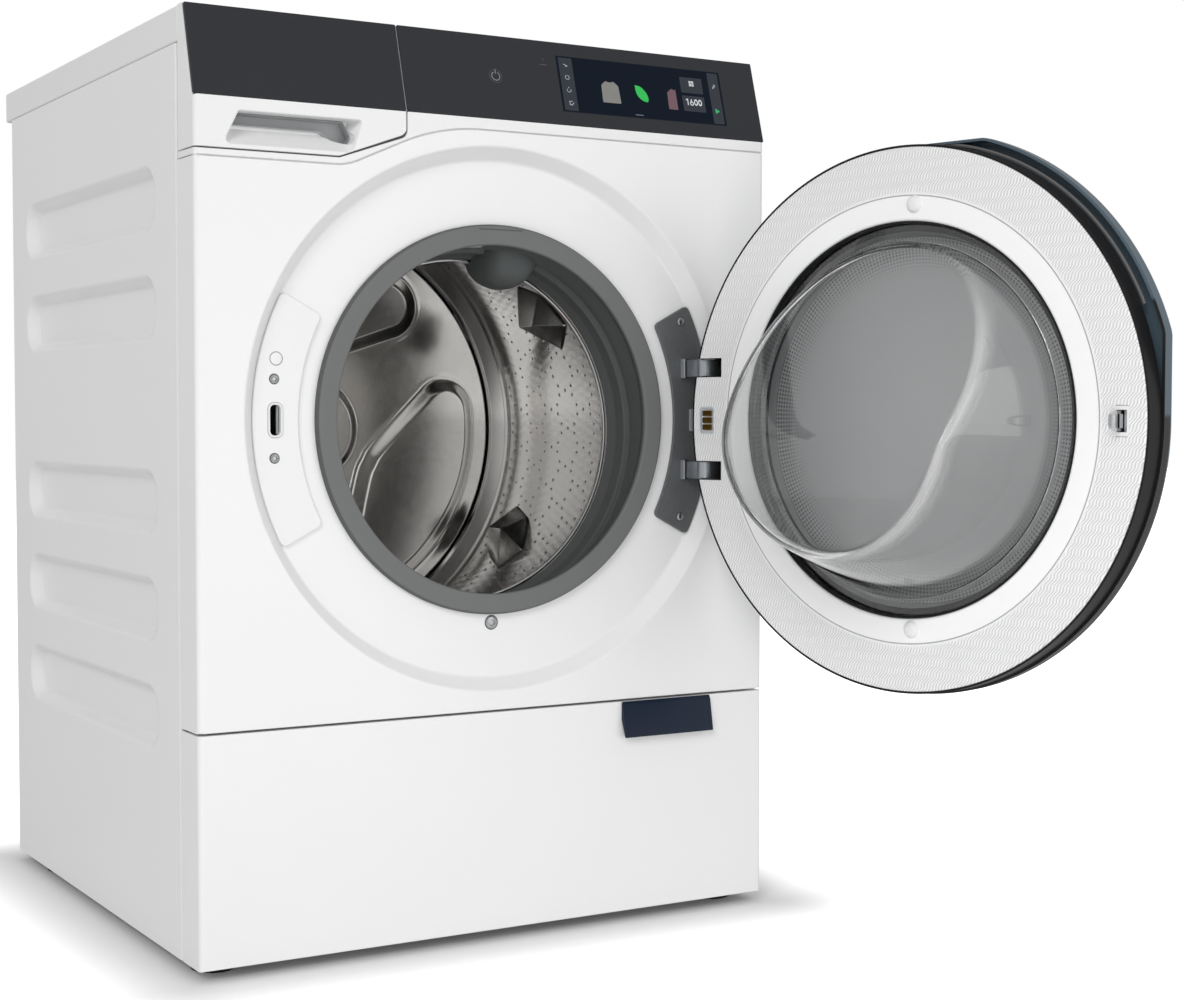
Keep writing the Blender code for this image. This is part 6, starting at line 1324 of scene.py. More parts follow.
@dataclass
class Front:
    """Front panel with the door's recess, and the lock and hinge plates on the recess floor."""

    bottom: float = 0.2182
    seam_low: float = 0.7162
    seam_high: float = 0.7573
    rise_start: float = -0.1555
    rise_end: float = -0.0630
    start_radius: float = 0.055
    end_radius: float = 0.200
    side_edge: float = 0.0045
    seam_edge: float = 0.0012
    side_return: float = 0.044
    seam_return: float = 0.014
    sheet: float = 0.0012
    plate_front: float = 0.0113
    plate_back: float = 0.0149
    plate_inner: float = 0.1990
    plate_outer: float = 0.2422
    plate_half: float = radians(28.0)
    plate_corner: float = 0.006
    button_place: tuple[float, float] = (-0.220, 0.0543)

    def outline(self) -> np.ndarray:
        """Anticlockwise outline of the panel about the recess's centre, finely divided."""
        half = HALF_WIDTH
        corners = [
            (-half, self.bottom, 0.0),
            (half, self.bottom, 0.0),
            (half, self.seam_high, 0.0),
            (self.rise_end, self.seam_high, self.end_radius),
            (self.rise_start, self.seam_low, self.start_radius),
            (-half, self.seam_low, 0.0),
        ]
        return divided(rounded(corners, steps=10, loop=True), 0.006) - np.array((0.0, DOOR_Z))

    def panel(self) -> None:
        """Panel as one sheet: columns run from the outline's folded edge to the mouth in the recess."""
        outline = self.outline()
        at_side = np.abs(np.abs(outline[:, 0]) - HALF_WIDTH) < 1e-6
        edge = np.where(at_side, self.side_edge, self.seam_edge)
        deep = np.where(at_side, self.side_return, self.seam_return)
        rows = [at_depth(outline, deep)]
        for angle in np.linspace(0.0, pi / 2, 6):
            inner = offset(outline, -edge * (1.0 - np.cos(angle)))
            rows.append(at_depth(inner, edge * (1.0 - np.sin(angle))))
        rim = rows[-1]
        angles = np.arctan2(outline[:, 1], outline[:, 0])
        profile = rounded(
            [
                (0.2600, 0.0, 0.0),
                (0.2535, 0.0, 0.0035),
                (0.2420, 0.0150, 0.0045),
                (0.1765, 0.0150, 0.0012),
                (0.1755, 0.0175, 0.0),
            ],
            steps=8,
        )
        rings = [polar(radius, angles, depth) for radius, depth in profile]
        for share in (0.2, 0.4, 0.6, 0.8):
            rows.append(rim + (rings[0] - rim) * share)
        grid = closed(np.stack(rows + rings), 1)
        piece = Piece("front_panel", RECESS)
        piece.plate(grid, self.sheet, wrap=True)
        piece.hole(slab(rectangle(LATCH_X, 0.0, 0.012, 0.029, 0.004), 0.010, 0.020, CRISP))
        for height in ARM_HEIGHTS:
            piece.hole(slab(rectangle(ARM_X, height, 0.011, 0.020, 0.001), 0.010, 0.020, CRISP))
        piece.make("cabinet", WHITE_ENAMEL, "white_enamel", ("front_panel",))

    def sector(self, side: float) -> np.ndarray:
        """Outline of a plate: a ring sector about the side's own direction with rounded corners."""
        spread = self.plate_half
        inner, outer = self.plate_inner, self.plate_outer
        corner = self.plate_corner
        soft_outer, soft_inner = corner / outer, corner / inner
        line = []
        for radius, start, end, soft in (
            (outer, -spread, spread, soft_outer), (inner, spread, -spread, soft_inner)
        ):
            sign = 1.0 if end > start else -1.0
            angles = np.linspace(start + sign * soft, end - sign * soft, 24)
            line.append(on_circle(radius, angles))
            tip = np.array((radius * cos(end), radius * sin(end)))
            towards = -1.0 if radius == outer else 1.0
            leg = tip + towards * corner * np.array((cos(end), sin(end)))
            line.append(bezier(line[-1][-1], tip, leg, 6)[1:-1])
            line.append(leg[None])
            other = inner if radius == outer else outer
            far_tip = np.array((other * cos(end), other * sin(end)))
            near = far_tip - towards * corner * np.array((cos(end), sin(end)))
            after = end - (1.0 if radius == outer else -1.0) * corner / other
            far = np.array((other * cos(after), other * sin(after)))
            line.append(bezier(near, far_tip, far, 6)[:-1])
        outline = np.concatenate(line)
        if side < 0.0:
            outline = (outline * np.array((-1.0, 1.0)))[::-1]
        return outline

    def plates(self) -> None:
        """Lock plate with its slot and hinge plate."""
        lock = Piece("lock_plate", RECESS)
        lock.body(slab(self.sector(-1.0), self.plate_front, self.plate_back, 0.0012))
        lock.hole(slab(rectangle(LATCH_X, 0.0, 0.010, 0.027, 0.004), 0.005, 0.018, CRISP))
        lock.make("cabinet", PAD_PLASTIC, "white_plastic", ("lock_cover",))
        hinge = Piece("hinge_plate", RECESS)
        hinge.body(slab(self.sector(1.0), self.plate_front, self.plate_back, 0.0008))
        for height in ARM_HEIGHTS:
            hinge.hole(slab(rectangle(ARM_X, height, 0.0085, 0.0185, 0.001), 0.005, 0.018, CRISP))
        hinge.make("cabinet", ZINC, "cast_zinc", ("hinge_cover",))
        rim = Piece("lock_rim", RECESS)
        inner = rectangle(LATCH_X, 0.0, 0.0102, 0.0272, 0.004)
        outer = rectangle(LATCH_X, 0.0, 0.0138, 0.0308, 0.0056)
        rows = [
            (inner, 0.0140),
            (inner, 0.0107),
            (outer * 0.35 + inner * 0.65, 0.0101),
            (outer * 0.7 + inner * 0.3, 0.0101),
            (outer, 0.0107),
        ]
        rim.grid(layers(rows))
        rim.grid(layers(((outer, 0.0107), (outer, 0.0114), (inner, 0.0140))))
        rim.make("cabinet", PAD_PLASTIC, "white_plastic")
        button = Piece("lock_button", RECESS)
        profile = (
            (0.0, 0.0106),
            (0.0045, 0.0106),
            (0.0054, 0.0110),
            (0.0056, 0.0115),
            (0.0056, 0.0125),
            (0.0, 0.0125),
        )
        button.grid(moved(revolve(profile, 32), *self.button_place))
        button.make("cabinet", PAD_PLASTIC, "white_plastic")
        # Thin grey rings at the foot of the button and of the latch collar: painted shadow lines.
        ring = Piece("lock_shadow_lines", RECESS)
        low, high = self.plate_front - 0.00010, self.plate_front + 0.0003
        profile = ((0.0, low), (0.0063, low), (0.0064, high), (0.0, high))
        ring.grid(moved(revolve(profile, 48), *self.button_place))
        ring.body(slab(rectangle(LATCH_X, 0.0, 0.0148, 0.0318, 0.0061), low, high, 0.00004, 1))
        ring.hole(slab(rectangle(LATCH_X, 0.0, 0.0110, 0.0280, 0.0044), 0.005, 0.018, CRISP))
        ring.make("cabinet", SHADOW_LINE_GREY, "white_plastic")
        catch = Piece("lock_catch", RECESS)
        catch.body(brick((-0.2186, 0.0150, -0.0126), (-0.2163, 0.0170, 0.0126), 0.0006))
        catch.make("cabinet", GREY_PLASTIC, "dark_plastic")

    def screws(self) -> None:
        """Fastening screws of the two plates and of the seal's clamp, each in a dark ring of painted shade.
        """
        for name, x, z, radius, depth in (
            ("lock_screw_upper", -0.222, 0.0363, 0.0040, self.plate_front),
            ("lock_screw_lower", -0.222, -0.0337, 0.0040, self.plate_front),
            ("hinge_screw_upper", 0.206, 0.0973, 0.0038, self.plate_front),
            ("hinge_screw_lower", 0.206, -0.0957, 0.0038, self.plate_front),
            ("clamp_screw", -0.004, -0.1905, 0.0062, 0.0150),
        ):
            piece = Piece(name, RECESS)
            piece.grid(moved(screw_head(radius, depth), x, z))
            piece.make("cabinet", SCREW_STEEL, "chrome")
            # Dark ring round each head: painted shade of its countersink.
            seat = Piece(f"{name}_shade_ring", RECESS)
            low, high = depth - 0.00012, depth + 0.0004
            profile = ((0.0, low), (radius + 0.0008, low), (radius + 0.0010, high), (0.0, high))
            seat.grid(moved(revolve(profile, 40), x, z))
            seat.make("cabinet", SHADE_RING_AND_SEAM_GREY, "dark_plastic")

    def arms(self) -> None:
        """Two hooked arms from the bracket to the knuckles on the pin, with rounded edges."""
        x, width = 0.2095, 0.006
        px, py = PIVOT
        knuckle = [
            (px + 0.0055 * cos(a), py + 0.0055 * sin(a))
            for a in np.linspace(radians(-100), radians(110), 16)
        ]
        plan = np.array(
            [
                (x, 0.0170),
                (x, py + width),
                (x + 0.0010, py + 0.0015),
                (x + 0.0035, py - 0.0010),
                (x + width, py - 0.0030),
            ]
            + [(px - 0.006, py - 0.0050)]
            + knuckle
            + [
                (x + 0.012, py + 0.0045),
                (x + 0.0085, py + 0.0060),
                (x + width, py + 0.0095),
                (x + width, 0.0170),
            ]
        )
        if area(plan) < 0.0:
            plan = plan[::-1]
        arms = Piece("hinge_arms", RECESS)
        for height in ARM_HEIGHTS:
            arms.body(along_z(slab(plan, height - 0.0085, height + 0.0085, 0.0009, 3)))
            arms.hole(along_z(slab(circle(0.0034, 24, px, py), height - 0.02, height + 0.02, CRISP)))
        arms.body(slab(rectangle(0.224, 0.0, 0.034, 0.150, 0.004), 0.0169, 0.0199, 0.0006))
        arms.make("cabinet", ARM_STEEL, "steel", ("hinge_bracket",))
        # The folds take a paler, half-metal grey than the arms: a painted highlight on the folded edges.
        folds = Piece("arm_folds", RECESS)
        for height in ARM_HEIGHTS:
            folds.body(
                brick((x - 0.0028, 0.0056, height - 0.0096), (x - 0.0010, 0.0118, height + 0.0096), 0.0005)
            )
        folds.make("cabinet", FOLD_HIGHLIGHT_GREY, "steel")
        contact = Piece("lamp_contact", RECESS)
        contact.body(slab(rectangle(0.2195, 0.0, 0.0060, 0.022, 0.0012), 0.0085, 0.0116, 0.0006))
        contact.make("cabinet", GREY_PLASTIC, "white_plastic")

    def build(self) -> None:
        """Make the pieces of the front."""
        self.panel()
        self.plates()
        self.screws()
        self.arms()


@dataclass
class Fascia:
    """Carrier strip, dispenser drawer's front with its grip, dark glasses and the display."""

    drawer_right: float = -0.0977
    panel_left: float = -0.0963
    slope: float = 0.0849
    glass: float = 0.004
    bar_depth: float = 0.041
    corner: float = 0.0045
    grip_depth: float = 0.020
    hollow_depth: float = 0.0275
    sign_proud: float = 0.00008
    field_proud: float = 0.00004

    def behind_glass(self) -> np.ndarray:
        """Closed block in the fascia's frame that clears the room for the glasses."""
        return brick((-0.4, -0.08, -0.0003), (0.4, self.glass + 0.0003, 0.2), CRISP)

    def edge_bar(self) -> np.ndarray:
        """Closed upright bar as wide as the machine with rounded front corners, to be met with the fronts."""
        half = HALF_WIDTH
        plan = rounded(
            [(-half, 0.0, self.corner), (half, 0.0, self.corner), (half, 0.3, 0.0), (-half, 0.3, 0.0)],
            steps=8,
            loop=True,
        )
        return along_z(slab(plan, -0.1, 1.0, CRISP, 1))

    def carrier(self) -> None:
        """White strip between the front panel's seam and the glass."""
        half = HALF_WIDTH
        outline = rounded(
            [
                (-half, 0.7172, 0.0),
                (-0.15592, 0.7172, 0.055),
                (-0.06342, 0.7583, 0.200),
                (half, 0.7583, 0.0),
                (half, HEIGHT, 0.0),
                (self.panel_left, HEIGHT, 0.0),
                (self.panel_left, 0.746, 0.008),
                (-0.163, 0.7228, 0.008),
                (-half, 0.7228, 0.0),
            ],
            steps=10,
            loop=True,
        )
        piece = Piece("carrier_strip")
        piece.body(slab(outline, 0.0, self.bar_depth, 0.0009))
        piece.keep(self.edge_bar())
        piece.hole(self.behind_glass(), FASCIA)
        piece.make("cabinet", WHITE_PLASTIC, "white_plastic", ("fascia_carrier",))
        self.tongue(
            "carrier_tongue",
            [(-half, 0.7167, 0.0), (-0.15572, 0.7167, 0.055), (-0.06322, 0.7578, 0.200), (half, 0.7578, 0.0)],
            0.0026,
            WHITE_PLASTIC,
        )
        self.tongue(
            "drawer_stop",
            [(-half, 0.7235, 0.0), (-0.163, 0.7235, 0.008), (-0.0970, 0.7470, 0.008), (-0.0970, 0.7660, 0.0)],
            0.0040,
            SHADE_RING_AND_SEAM_GREY,
        )
        bar = Piece("glass_seam", FASCIA)
        bar.body(brick((-0.0980, 0.0016, 0.0006), (-0.0960, 0.0038, self.slope - 0.0004), 0.0002))
        bar.make("cabinet", GRIP_SHADE_AND_SEAM_GREY, "white_plastic")

    def tongue(
        self, name: str, corners: list[tuple[float, float, float]], depth: float, finish: Finish
    ) -> None:
        """Thin band behind a seam, carried along the seam's line through its corners.

        Args:
            name: Name of the piece.
            corners: Corners of the line, each with its radius.
            depth: Depth of the band's front edge.
            finish: Finish of the band.
        """
        half = 0.0009
        inside = (-HALF_WIDTH + 0.0012, HALF_WIDTH - 0.0012)
        line = rounded([(min(max(u, inside[0]), inside[1]), v, radius) for u, v, radius in corners], steps=10)
        run = np.gradient(line, axis=0)
        normal = np.stack([-run[:, 1], run[:, 0]], axis=-1) / np.linalg.norm(run, axis=1, keepdims=True)
        band = np.concatenate([line - half * normal, (line + half * normal)[::-1]])
        Piece(name).body(slab(band, depth, depth + 0.006, CRISP, 1)).make("cabinet", finish, "white_plastic")

    def scoop(self) -> np.ndarray:
        """Grip's shallow scoop: the mouth flares at the front edge and shrinks towards a sloping floor."""
        mouth = rounded(
            [
                (-0.271, 0.7285, 0.004),
                (-0.150, 0.7285, 0.008),
                (-0.141, 0.757, 0.002),
                (-0.257, 0.757, 0.002),
            ],
            loop=True,
        )
        middle, top = -0.199, 0.757
        rows = []
        for out, depth in (
            (0.0018, -0.02), (0.0018, -0.00001), (0.0009, 0.0002), (0.0003, 0.0007), (0.0, 0.0016)
        ):
            rows.append((offset(mouth, out), depth))
        for share in (0.25, 0.5, 0.75, 0.9, 1.0):
            narrow = 1.0 - 0.10 * share
            rise = 1.0 - 0.52 * share
            ring = np.stack(
                [middle + (mouth[:, 0] - middle) * narrow, top - (top - mouth[:, 1]) * rise], axis=-1
            )
            rows.append((ring, 0.0016 + (self.grip_depth - 0.0016) * share))
        return layers(rows)

    def hollow(self) -> np.ndarray:
        """Outline of the finger hollow above the scoop's floor, with its round end at the right."""
        return rounded(
            [
                (-0.2555, 0.7564, 0.001),
                (-0.2590, 0.7462, 0.002),
                (-0.1760, 0.7457, 0.008),
                (-0.1655, 0.7385, 0.008),
                (-0.1500, 0.7352, 0.003),
                (-0.1455, 0.7425, 0.006),
                (-0.1530, 0.7564, 0.002),
            ],
            loop=True,
        )

    def drawer(self) -> None:
        """Drawer front with its grip, and a grey lining in the hollow as painted shade."""
        half = HALF_WIDTH
        outline = rounded(
            [
                (-half, 0.7242, 0.0),
                (-0.163, 0.7242, 0.008),
                (self.drawer_right, 0.748, 0.008),
                (self.drawer_right, HEIGHT, 0.0),
                (-half, HEIGHT, 0.0),
            ],
            steps=8,
            loop=True,
        )
        front = Piece("drawer_front")
        front.body(slab(outline, 0.0, self.bar_depth, 0.0009))
        front.keep(self.edge_bar())
        front.hole(self.behind_glass(), FASCIA)
        front.hole(self.scoop())
        front.hole(slab(self.hollow(), 0.004, self.hollow_depth, 0.0004))
        front.make("drawer", WHITE_PLASTIC, "white_plastic", ("drawer_front",))
        # The grey lining of the hollow is painted shade: the hollow's darkness is put in as a grey piece.
        shade_liner = Piece("grip_shade_liner")
        outer, inner = offset(self.hollow(), -0.0001), offset(self.hollow(), -0.0005)
        rows = (
            (outer, self.hollow_depth - 0.0001),
            (outer, 0.0160),
            (inner, 0.0160),
            (inner, self.hollow_depth - 0.0006),
        )
        shade_liner.body(layers(rows))
        shade_liner.make("drawer", GRIP_SHADE_AND_SEAM_GREY, "white_plastic")

    def glasses(self) -> None:
        """Two dark glasses with fine polished edges."""
        for name, rider, left, right in (
            ("drawer_glass", "drawer", -HALF_WIDTH, self.drawer_right),
            ("control_glass", "cabinet", self.panel_left, HALF_WIDTH),
        ):
            piece = Piece(name, FASCIA)
            corners = [
                (left, 0.0003, 0.0030),
                (right, 0.0003, 0.0010),
                (right, self.slope, 0.0010),
                (left, self.slope, 0.0012),
            ]
            piece.body(slab(rounded(corners, steps=4, loop=True), 0.0, self.glass, 0.0006))
            piece.make(rider, DARK_GLASS, "dark_glass", (name,))

    def shape(self, name: str, outlines: list[np.ndarray], finish: Finish, proud: float) -> None:
        """Flat sign on the control glass made of closed outlines in X and the way up the slope."""
        piece = Piece(name, FASCIA)
        for outline in outlines:
            if area(outline) < 0.0:
                outline = outline[::-1]
            piece.body(slab(outline, -proud, 0.0006, 0.00003, 1))
        piece.make("cabinet", finish, "display")

    def arc(self, u: float, v: float, radius: float, width: float, start: float, end: float) -> np.ndarray:
        """Outline of a ring's part between two angles in degrees."""
        angles = np.radians(np.linspace(start, end, 28))
        outer = on_circle(radius + width / 2, angles, u, v)
        inner = on_circle(radius - width / 2, angles, u, v)
        return np.concatenate([outer, inner[::-1]])

    def bar(
        self, u: float, v: float, width: float, height: float, radius: float = 0.0002, turn: float = 0.0
    ) -> np.ndarray:
        """Outline of a rounded bar about a place, turned by degrees."""
        return spun(rectangle(0.0, 0.0, width, height, radius, 3), radians(turn)) + np.array((u, v))

    def signs(self) -> None:
        """Power sign, and the display's fields, garments, leaf and plain symbols."""
        arcs = ((0.0495, 100.0, 439.0), (0.0365, 150.0, 389.0))
        bars = (
            (0.0774, 0.0622, 0.0040, 0.0006, -22.0),
            (0.0788, 0.0610, 0.0026, 0.0006, 18.0),
            (0.0780, 0.0390, 0.0006, 0.0014, 0.0),
            (0.0768, 0.0232, 0.0006, 0.0042, 0.0),
            (0.0784, 0.0249, 0.0030, 0.0006, 0.0),
            (0.0784, 0.0214, 0.0030, 0.0006, 0.0),
            (0.0802, 0.0226, 0.0034, 0.0006, 45.0),
            (0.2470, 0.0553, 0.0007, 0.0052, -28.0),
            (0.2484, 0.0553, 0.0005, 0.0040, -28.0),
        )
        symbols = [self.arc(0.0780, v, 0.0021, 0.0005, start, end) for v, start, end in arcs]
        symbols += [self.bar(u, v, width, height, turn=turn) for u, v, width, height, turn in bars]
        squares = [
            self.bar(0.2192 + u, 0.0545 + v, 0.0026, 0.0026)
            for v in (0.0, 0.0030)
            for u in (0.0, 0.0030)
        ]
        play = rounded(
            ((0.2450, 0.0262, 0.0004), (0.2505, 0.0290, 0.0004), (0.2450, 0.0318, 0.0004)), steps=3, loop=True
        )
        stem = np.array(
            ((0.1535, 0.0485), (0.1600, 0.0470), (0.1655, 0.0410), (0.1672, 0.0350), (0.1660, 0.0315))
        )
        back = np.array(
            ((0.1660, 0.0315), (0.1610, 0.0325), (0.1560, 0.0365), (0.1538, 0.0420), (0.1535, 0.0485))
        )
        leaf = np.concatenate([curve_through(stem, 6)[:-1], curve_through(back, 6)[:-1]])[::-1]
        wine = self.garment(0.2000, 0.0375, 0.0205, 0.0220)
        wine[:, 0] = np.minimum(wine[:, 0], 0.2005)
        power = [self.arc(0.0, 0.0435, 0.0042, 0.0009, 120.0, 420.0), self.bar(0.0, 0.0482, 0.0009, 0.0046)]
        remote = [self.bar(0.0535, 0.0655, 0.0012, 0.0012, 0.0005), self.bar(0.0535, 0.0600, 0.0070, 0.0008)]
        sides = [
            self.bar(u, 0.0425, width, 0.0540, 0.001)
            for u, width in ((0.0780, 0.0150), (0.2475, 0.0125))
        ]
        tiles = [self.bar(0.2205, v, 0.0260, 0.0165, 0.001) for v in (0.0540, 0.0345)]
        for name, outlines, light, colour, glow in (
            ("power_sign", power, "power light", (0.50, 0.50, 0.50), 0.42),
            (
                "power_halo",
                [self.arc(0.0, 0.0435, 0.0066, 0.0003, 0.0, 359.9)],
                "halo light",
                (0.10, 0.10, 0.105),
                0.9,
            ),
            ("remote_sign", remote, "faint light", (0.085, 0.085, 0.088), 0.9),
            ("side_fields", sides, "field light", (0.007, 0.012, 0.022), 1.0),
            ("tile_fields", tiles, "field light", (0.007, 0.012, 0.022), 1.0),
            ("symbols", symbols, "sign light", (0.52, 0.56, 0.60), 0.9),
            ("tile_sign", squares, "tile light", (0.62, 0.64, 0.66), 0.9),
            (
                "spin_number",
                self.number("1600", 0.2205, 0.0362, 0.0068),
                "number light",
                (0.70, 0.72, 0.74),
                1.0,
            ),
            (
                "page_bar",
                [self.bar(0.1540, 0.0172, 0.0090, 0.0007, 0.0003)],
                "page light",
                (0.22, 0.25, 0.30),
                0.8,
            ),
            ("play_sign", [play], "play light", (0.010, 0.42, 0.13), 1.0),
            ("leaf", [leaf], "leaf light", (0.012, 0.52, 0.075), 0.95),
            (
                "grey_garment",
                [self.garment(0.1247, 0.0385, 0.0205, 0.0225)],
                "garment light",
                (0.235, 0.232, 0.215),
                0.9,
            ),
            ("wine_garment", [wine], "wine light", (0.165, 0.085, 0.100), 0.9),
        ):
            proud = self.field_proud if light == "field light" else self.sign_proud
            self.shape(name, outlines, Lit(light, colour, glow=glow), proud)

    def garment(self, u: float, v: float, width: float, height: float) -> np.ndarray:
        """Outline of a folded shirt: rounded shoulders, a dip for the collar, a slightly wider hem."""
        a, b = width / 2, height / 2
        corners = [
            (u - a, v - b, 0.0012),
            (u + a, v - b, 0.0012),
            (u + a * 0.93, v + b * 0.62, 0.003),
            (u + a * 0.40, v + b, 0.0015),
            (u + a * 0.20, v + b * 0.90, 0.001),
            (u - a * 0.20, v + b * 0.90, 0.001),
            (u - a * 0.40, v + b, 0.0015),
            (u - a * 0.93, v + b * 0.62, 0.003),
        ]
        return rounded(corners, steps=4, loop=True)

    def number(self, digits: str, u: float, v: float, height: float) -> list[np.ndarray]:
        """Outlines of plain digits: a one is two bars, a nought a ring, a six a ring with a tail."""
        pitch = height * 0.72
        stroke = height * 0.15
        shapes = []
        for i, digit in enumerate(digits):
            middle = u + (i - (len(digits) - 1) / 2) * pitch
            if digit == "1":
                shapes.append(self.bar(middle + 0.0003, v, stroke, height))
                shapes.append(
                    self.bar(middle - stroke * 0.9, v + height * 0.36, stroke * 1.9, stroke, turn=35.0)
                )
                continue
            round_part = height * 0.25
            if digit == "6":
                shapes.append(self.arc(middle, v - height * 0.22, round_part, stroke, 0.0, 359.9))
                shapes.append(
                    self.bar(middle - round_part * 0.45, v + height * 0.16, stroke, height * 0.62, turn=-24.0)
                )
                continue
            oval = self.arc(0.0, 0.0, round_part, stroke, 0.0, 359.9)
            scale = np.where(
                np.hypot(oval[:, 0], oval[:, 1]) > round_part, (height / 2) / (round_part + stroke / 2), 1.62
            )
            shapes.append(np.stack([middle + oval[:, 0], v + oval[:, 1] * scale], axis=-1))
        return shapes

    def build(self) -> None:
        """Make the fascia's pieces."""
        self.carrier()
        self.drawer()
        self.glasses()
        self.signs()


@dataclass
class Seal:
    """Rubber bellows with its lip, fold and the bulge at the top, and the small nozzle."""

    lip: float = 0.163
    outer: float = 0.1825
    groove: float = 0.1737
    shear_start: float = 0.0203
    shear_end: float = 0.0543
    bulge_half: tuple[float, float, float] = (0.028, 0.040, 0.0305)
    bulge_radius: float = 0.1720
    bulge_depth: float = 0.076
    bulge_lean: float = radians(77.0)
    bulge_square: float = 0.65
    bulge_limit: float = 0.1760
    bulge_fall: float = 0.0128
    bulge_slope: float = 0.0100

    def sheared(self, grid: np.ndarray) -> np.ndarray:
        """Points lowered with depth, from the door's centre to the drum's axis."""
        share = np.clip((grid[..., 1] - self.shear_start) / (self.shear_end - self.shear_start), 0.0, 1.0)
        grid = grid.copy()
        grid[..., 2] += (DRUM_Z - DOOR_Z) * share
        return grid

    def bellows(self) -> None:
        """Turned rubber section: rounded lip, groove on the panel, fold and end at the tub's collar."""
        section = rounded(
            [
                (self.lip, 0.0072, 0.0022),
                (self.outer, 0.0070, 0.0035),
                (self.outer, 0.0147, 0.0),
                (self.groove, 0.0147, 0.0),
                (self.groove, 0.0168, 0.0),
                (0.1790, 0.0168, 0.0),
                (0.1790, 0.0203, 0.0),
                (self.groove, 0.0225, 0.0),
                (self.groove, 0.0430, 0.002),
                (0.1900, 0.0445, 0.004),
                (0.1900, 0.0605, 0.004),
                (0.1818, 0.0615, 0.001),
                (0.1818, 0.0815, 0.0),
                (0.1783, 0.0815, 0.0),
                (0.1783, 0.0610, 0.0),
                (0.1747, 0.0610, 0.0),
                (0.1747, 0.0780, 0.002),
                (0.1690, 0.0868, 0.001),
                (0.1658, 0.0862, 0.001),
                (0.1700, 0.0745, 0.004),
                (0.1700, 0.0590, 0.002),
                (0.1752, 0.0575, 0.002),
                (0.1752, 0.0480, 0.002),
                (0.1700, 0.0455, 0.002),
                (0.1683, 0.0240, 0.006),
                (self.lip, 0.0125, 0.003),
            ],
            steps=5,
            loop=True,
        )
        piece = Piece("seal_bellows", RECESS)
        piece.grid(self.sheared(revolve(closed(section, 0), 160)))
        piece.make("cabinet", SEAL_RUBBER, "grey_rubber", ("door_seal",))

    def bulge(self) -> None:
        """Round bulge at the top of the seal's end, above the closed bowl's sloped face.

        A point of a unit sphere with squared sides is stretched to the bulge's half sizes. Where it
        would lie outside the drum's mouth or the bellows it is drawn in to their radius, which falls
        with depth.
        """
        turns = np.linspace(0.0, tau, 97)
        lifts = np.linspace(-pi / 2, pi / 2, 49)[:, None]
        waves = (np.cos(turns), np.sin(turns))
        side, depth = (np.sign(wave) * np.abs(wave) ** self.bulge_square for wave in waves)
        half_across, half_deep, half_high = self.bulge_half
        across = half_across * np.cos(lifts) * side
        rise = self.bulge_radius + half_high * np.sin(lifts) * np.ones_like(turns)
        lean = self.bulge_lean
        x = rise * cos(lean) + across * sin(lean)
        y = self.bulge_depth + half_deep * np.cos(lifts) * depth
        z = rise * sin(lean) - across * cos(lean)
        radius = np.hypot(x, z)
        allowed = self.bulge_limit - self.bulge_fall * smooth((y - self.bulge_depth) / self.bulge_slope)
        held = np.minimum(radius, allowed)
        grid = np.stack([x * held / radius, y, z * held / radius], axis=-1)
        # The bulge takes the seal's rubber in a darker tone, as painted shade.
        Piece("seal_bulge", DRUM).grid(grid).make("cabinet", SHADED_BELLOWS_RUBBER, "grey_rubber")

    def nozzle(self) -> None:
        """Small spray nozzle that peeps out of the seal behind the lip."""
        section = np.array(
            (
                (0.0, -0.0062),
                (0.0060, -0.0060),
                (0.0090, -0.0045),
                (0.0104, -0.0018),
                (0.0104, 0.0006),
                (0.0060, 0.0030),
                (0.0, 0.0030),
            )
        )
        grid = revolve(curve_through(section, 4), 40)
        top = self.lip + 0.0046
        grid = np.stack([grid[..., 0] - 0.0165, 0.026 + grid[..., 2] * 0.9, top + grid[..., 1]], axis=-1)
        piece = Piece("spray_nozzle", RECESS)
        piece.grid(grid)
        piece.make("cabinet", NOZZLE_GREY, "grey_plastic", ("spray_nozzle",))

    def build(self) -> None:
        """Make the seal's pieces."""
        self.bellows()
        self.bulge()
        self.nozzle()


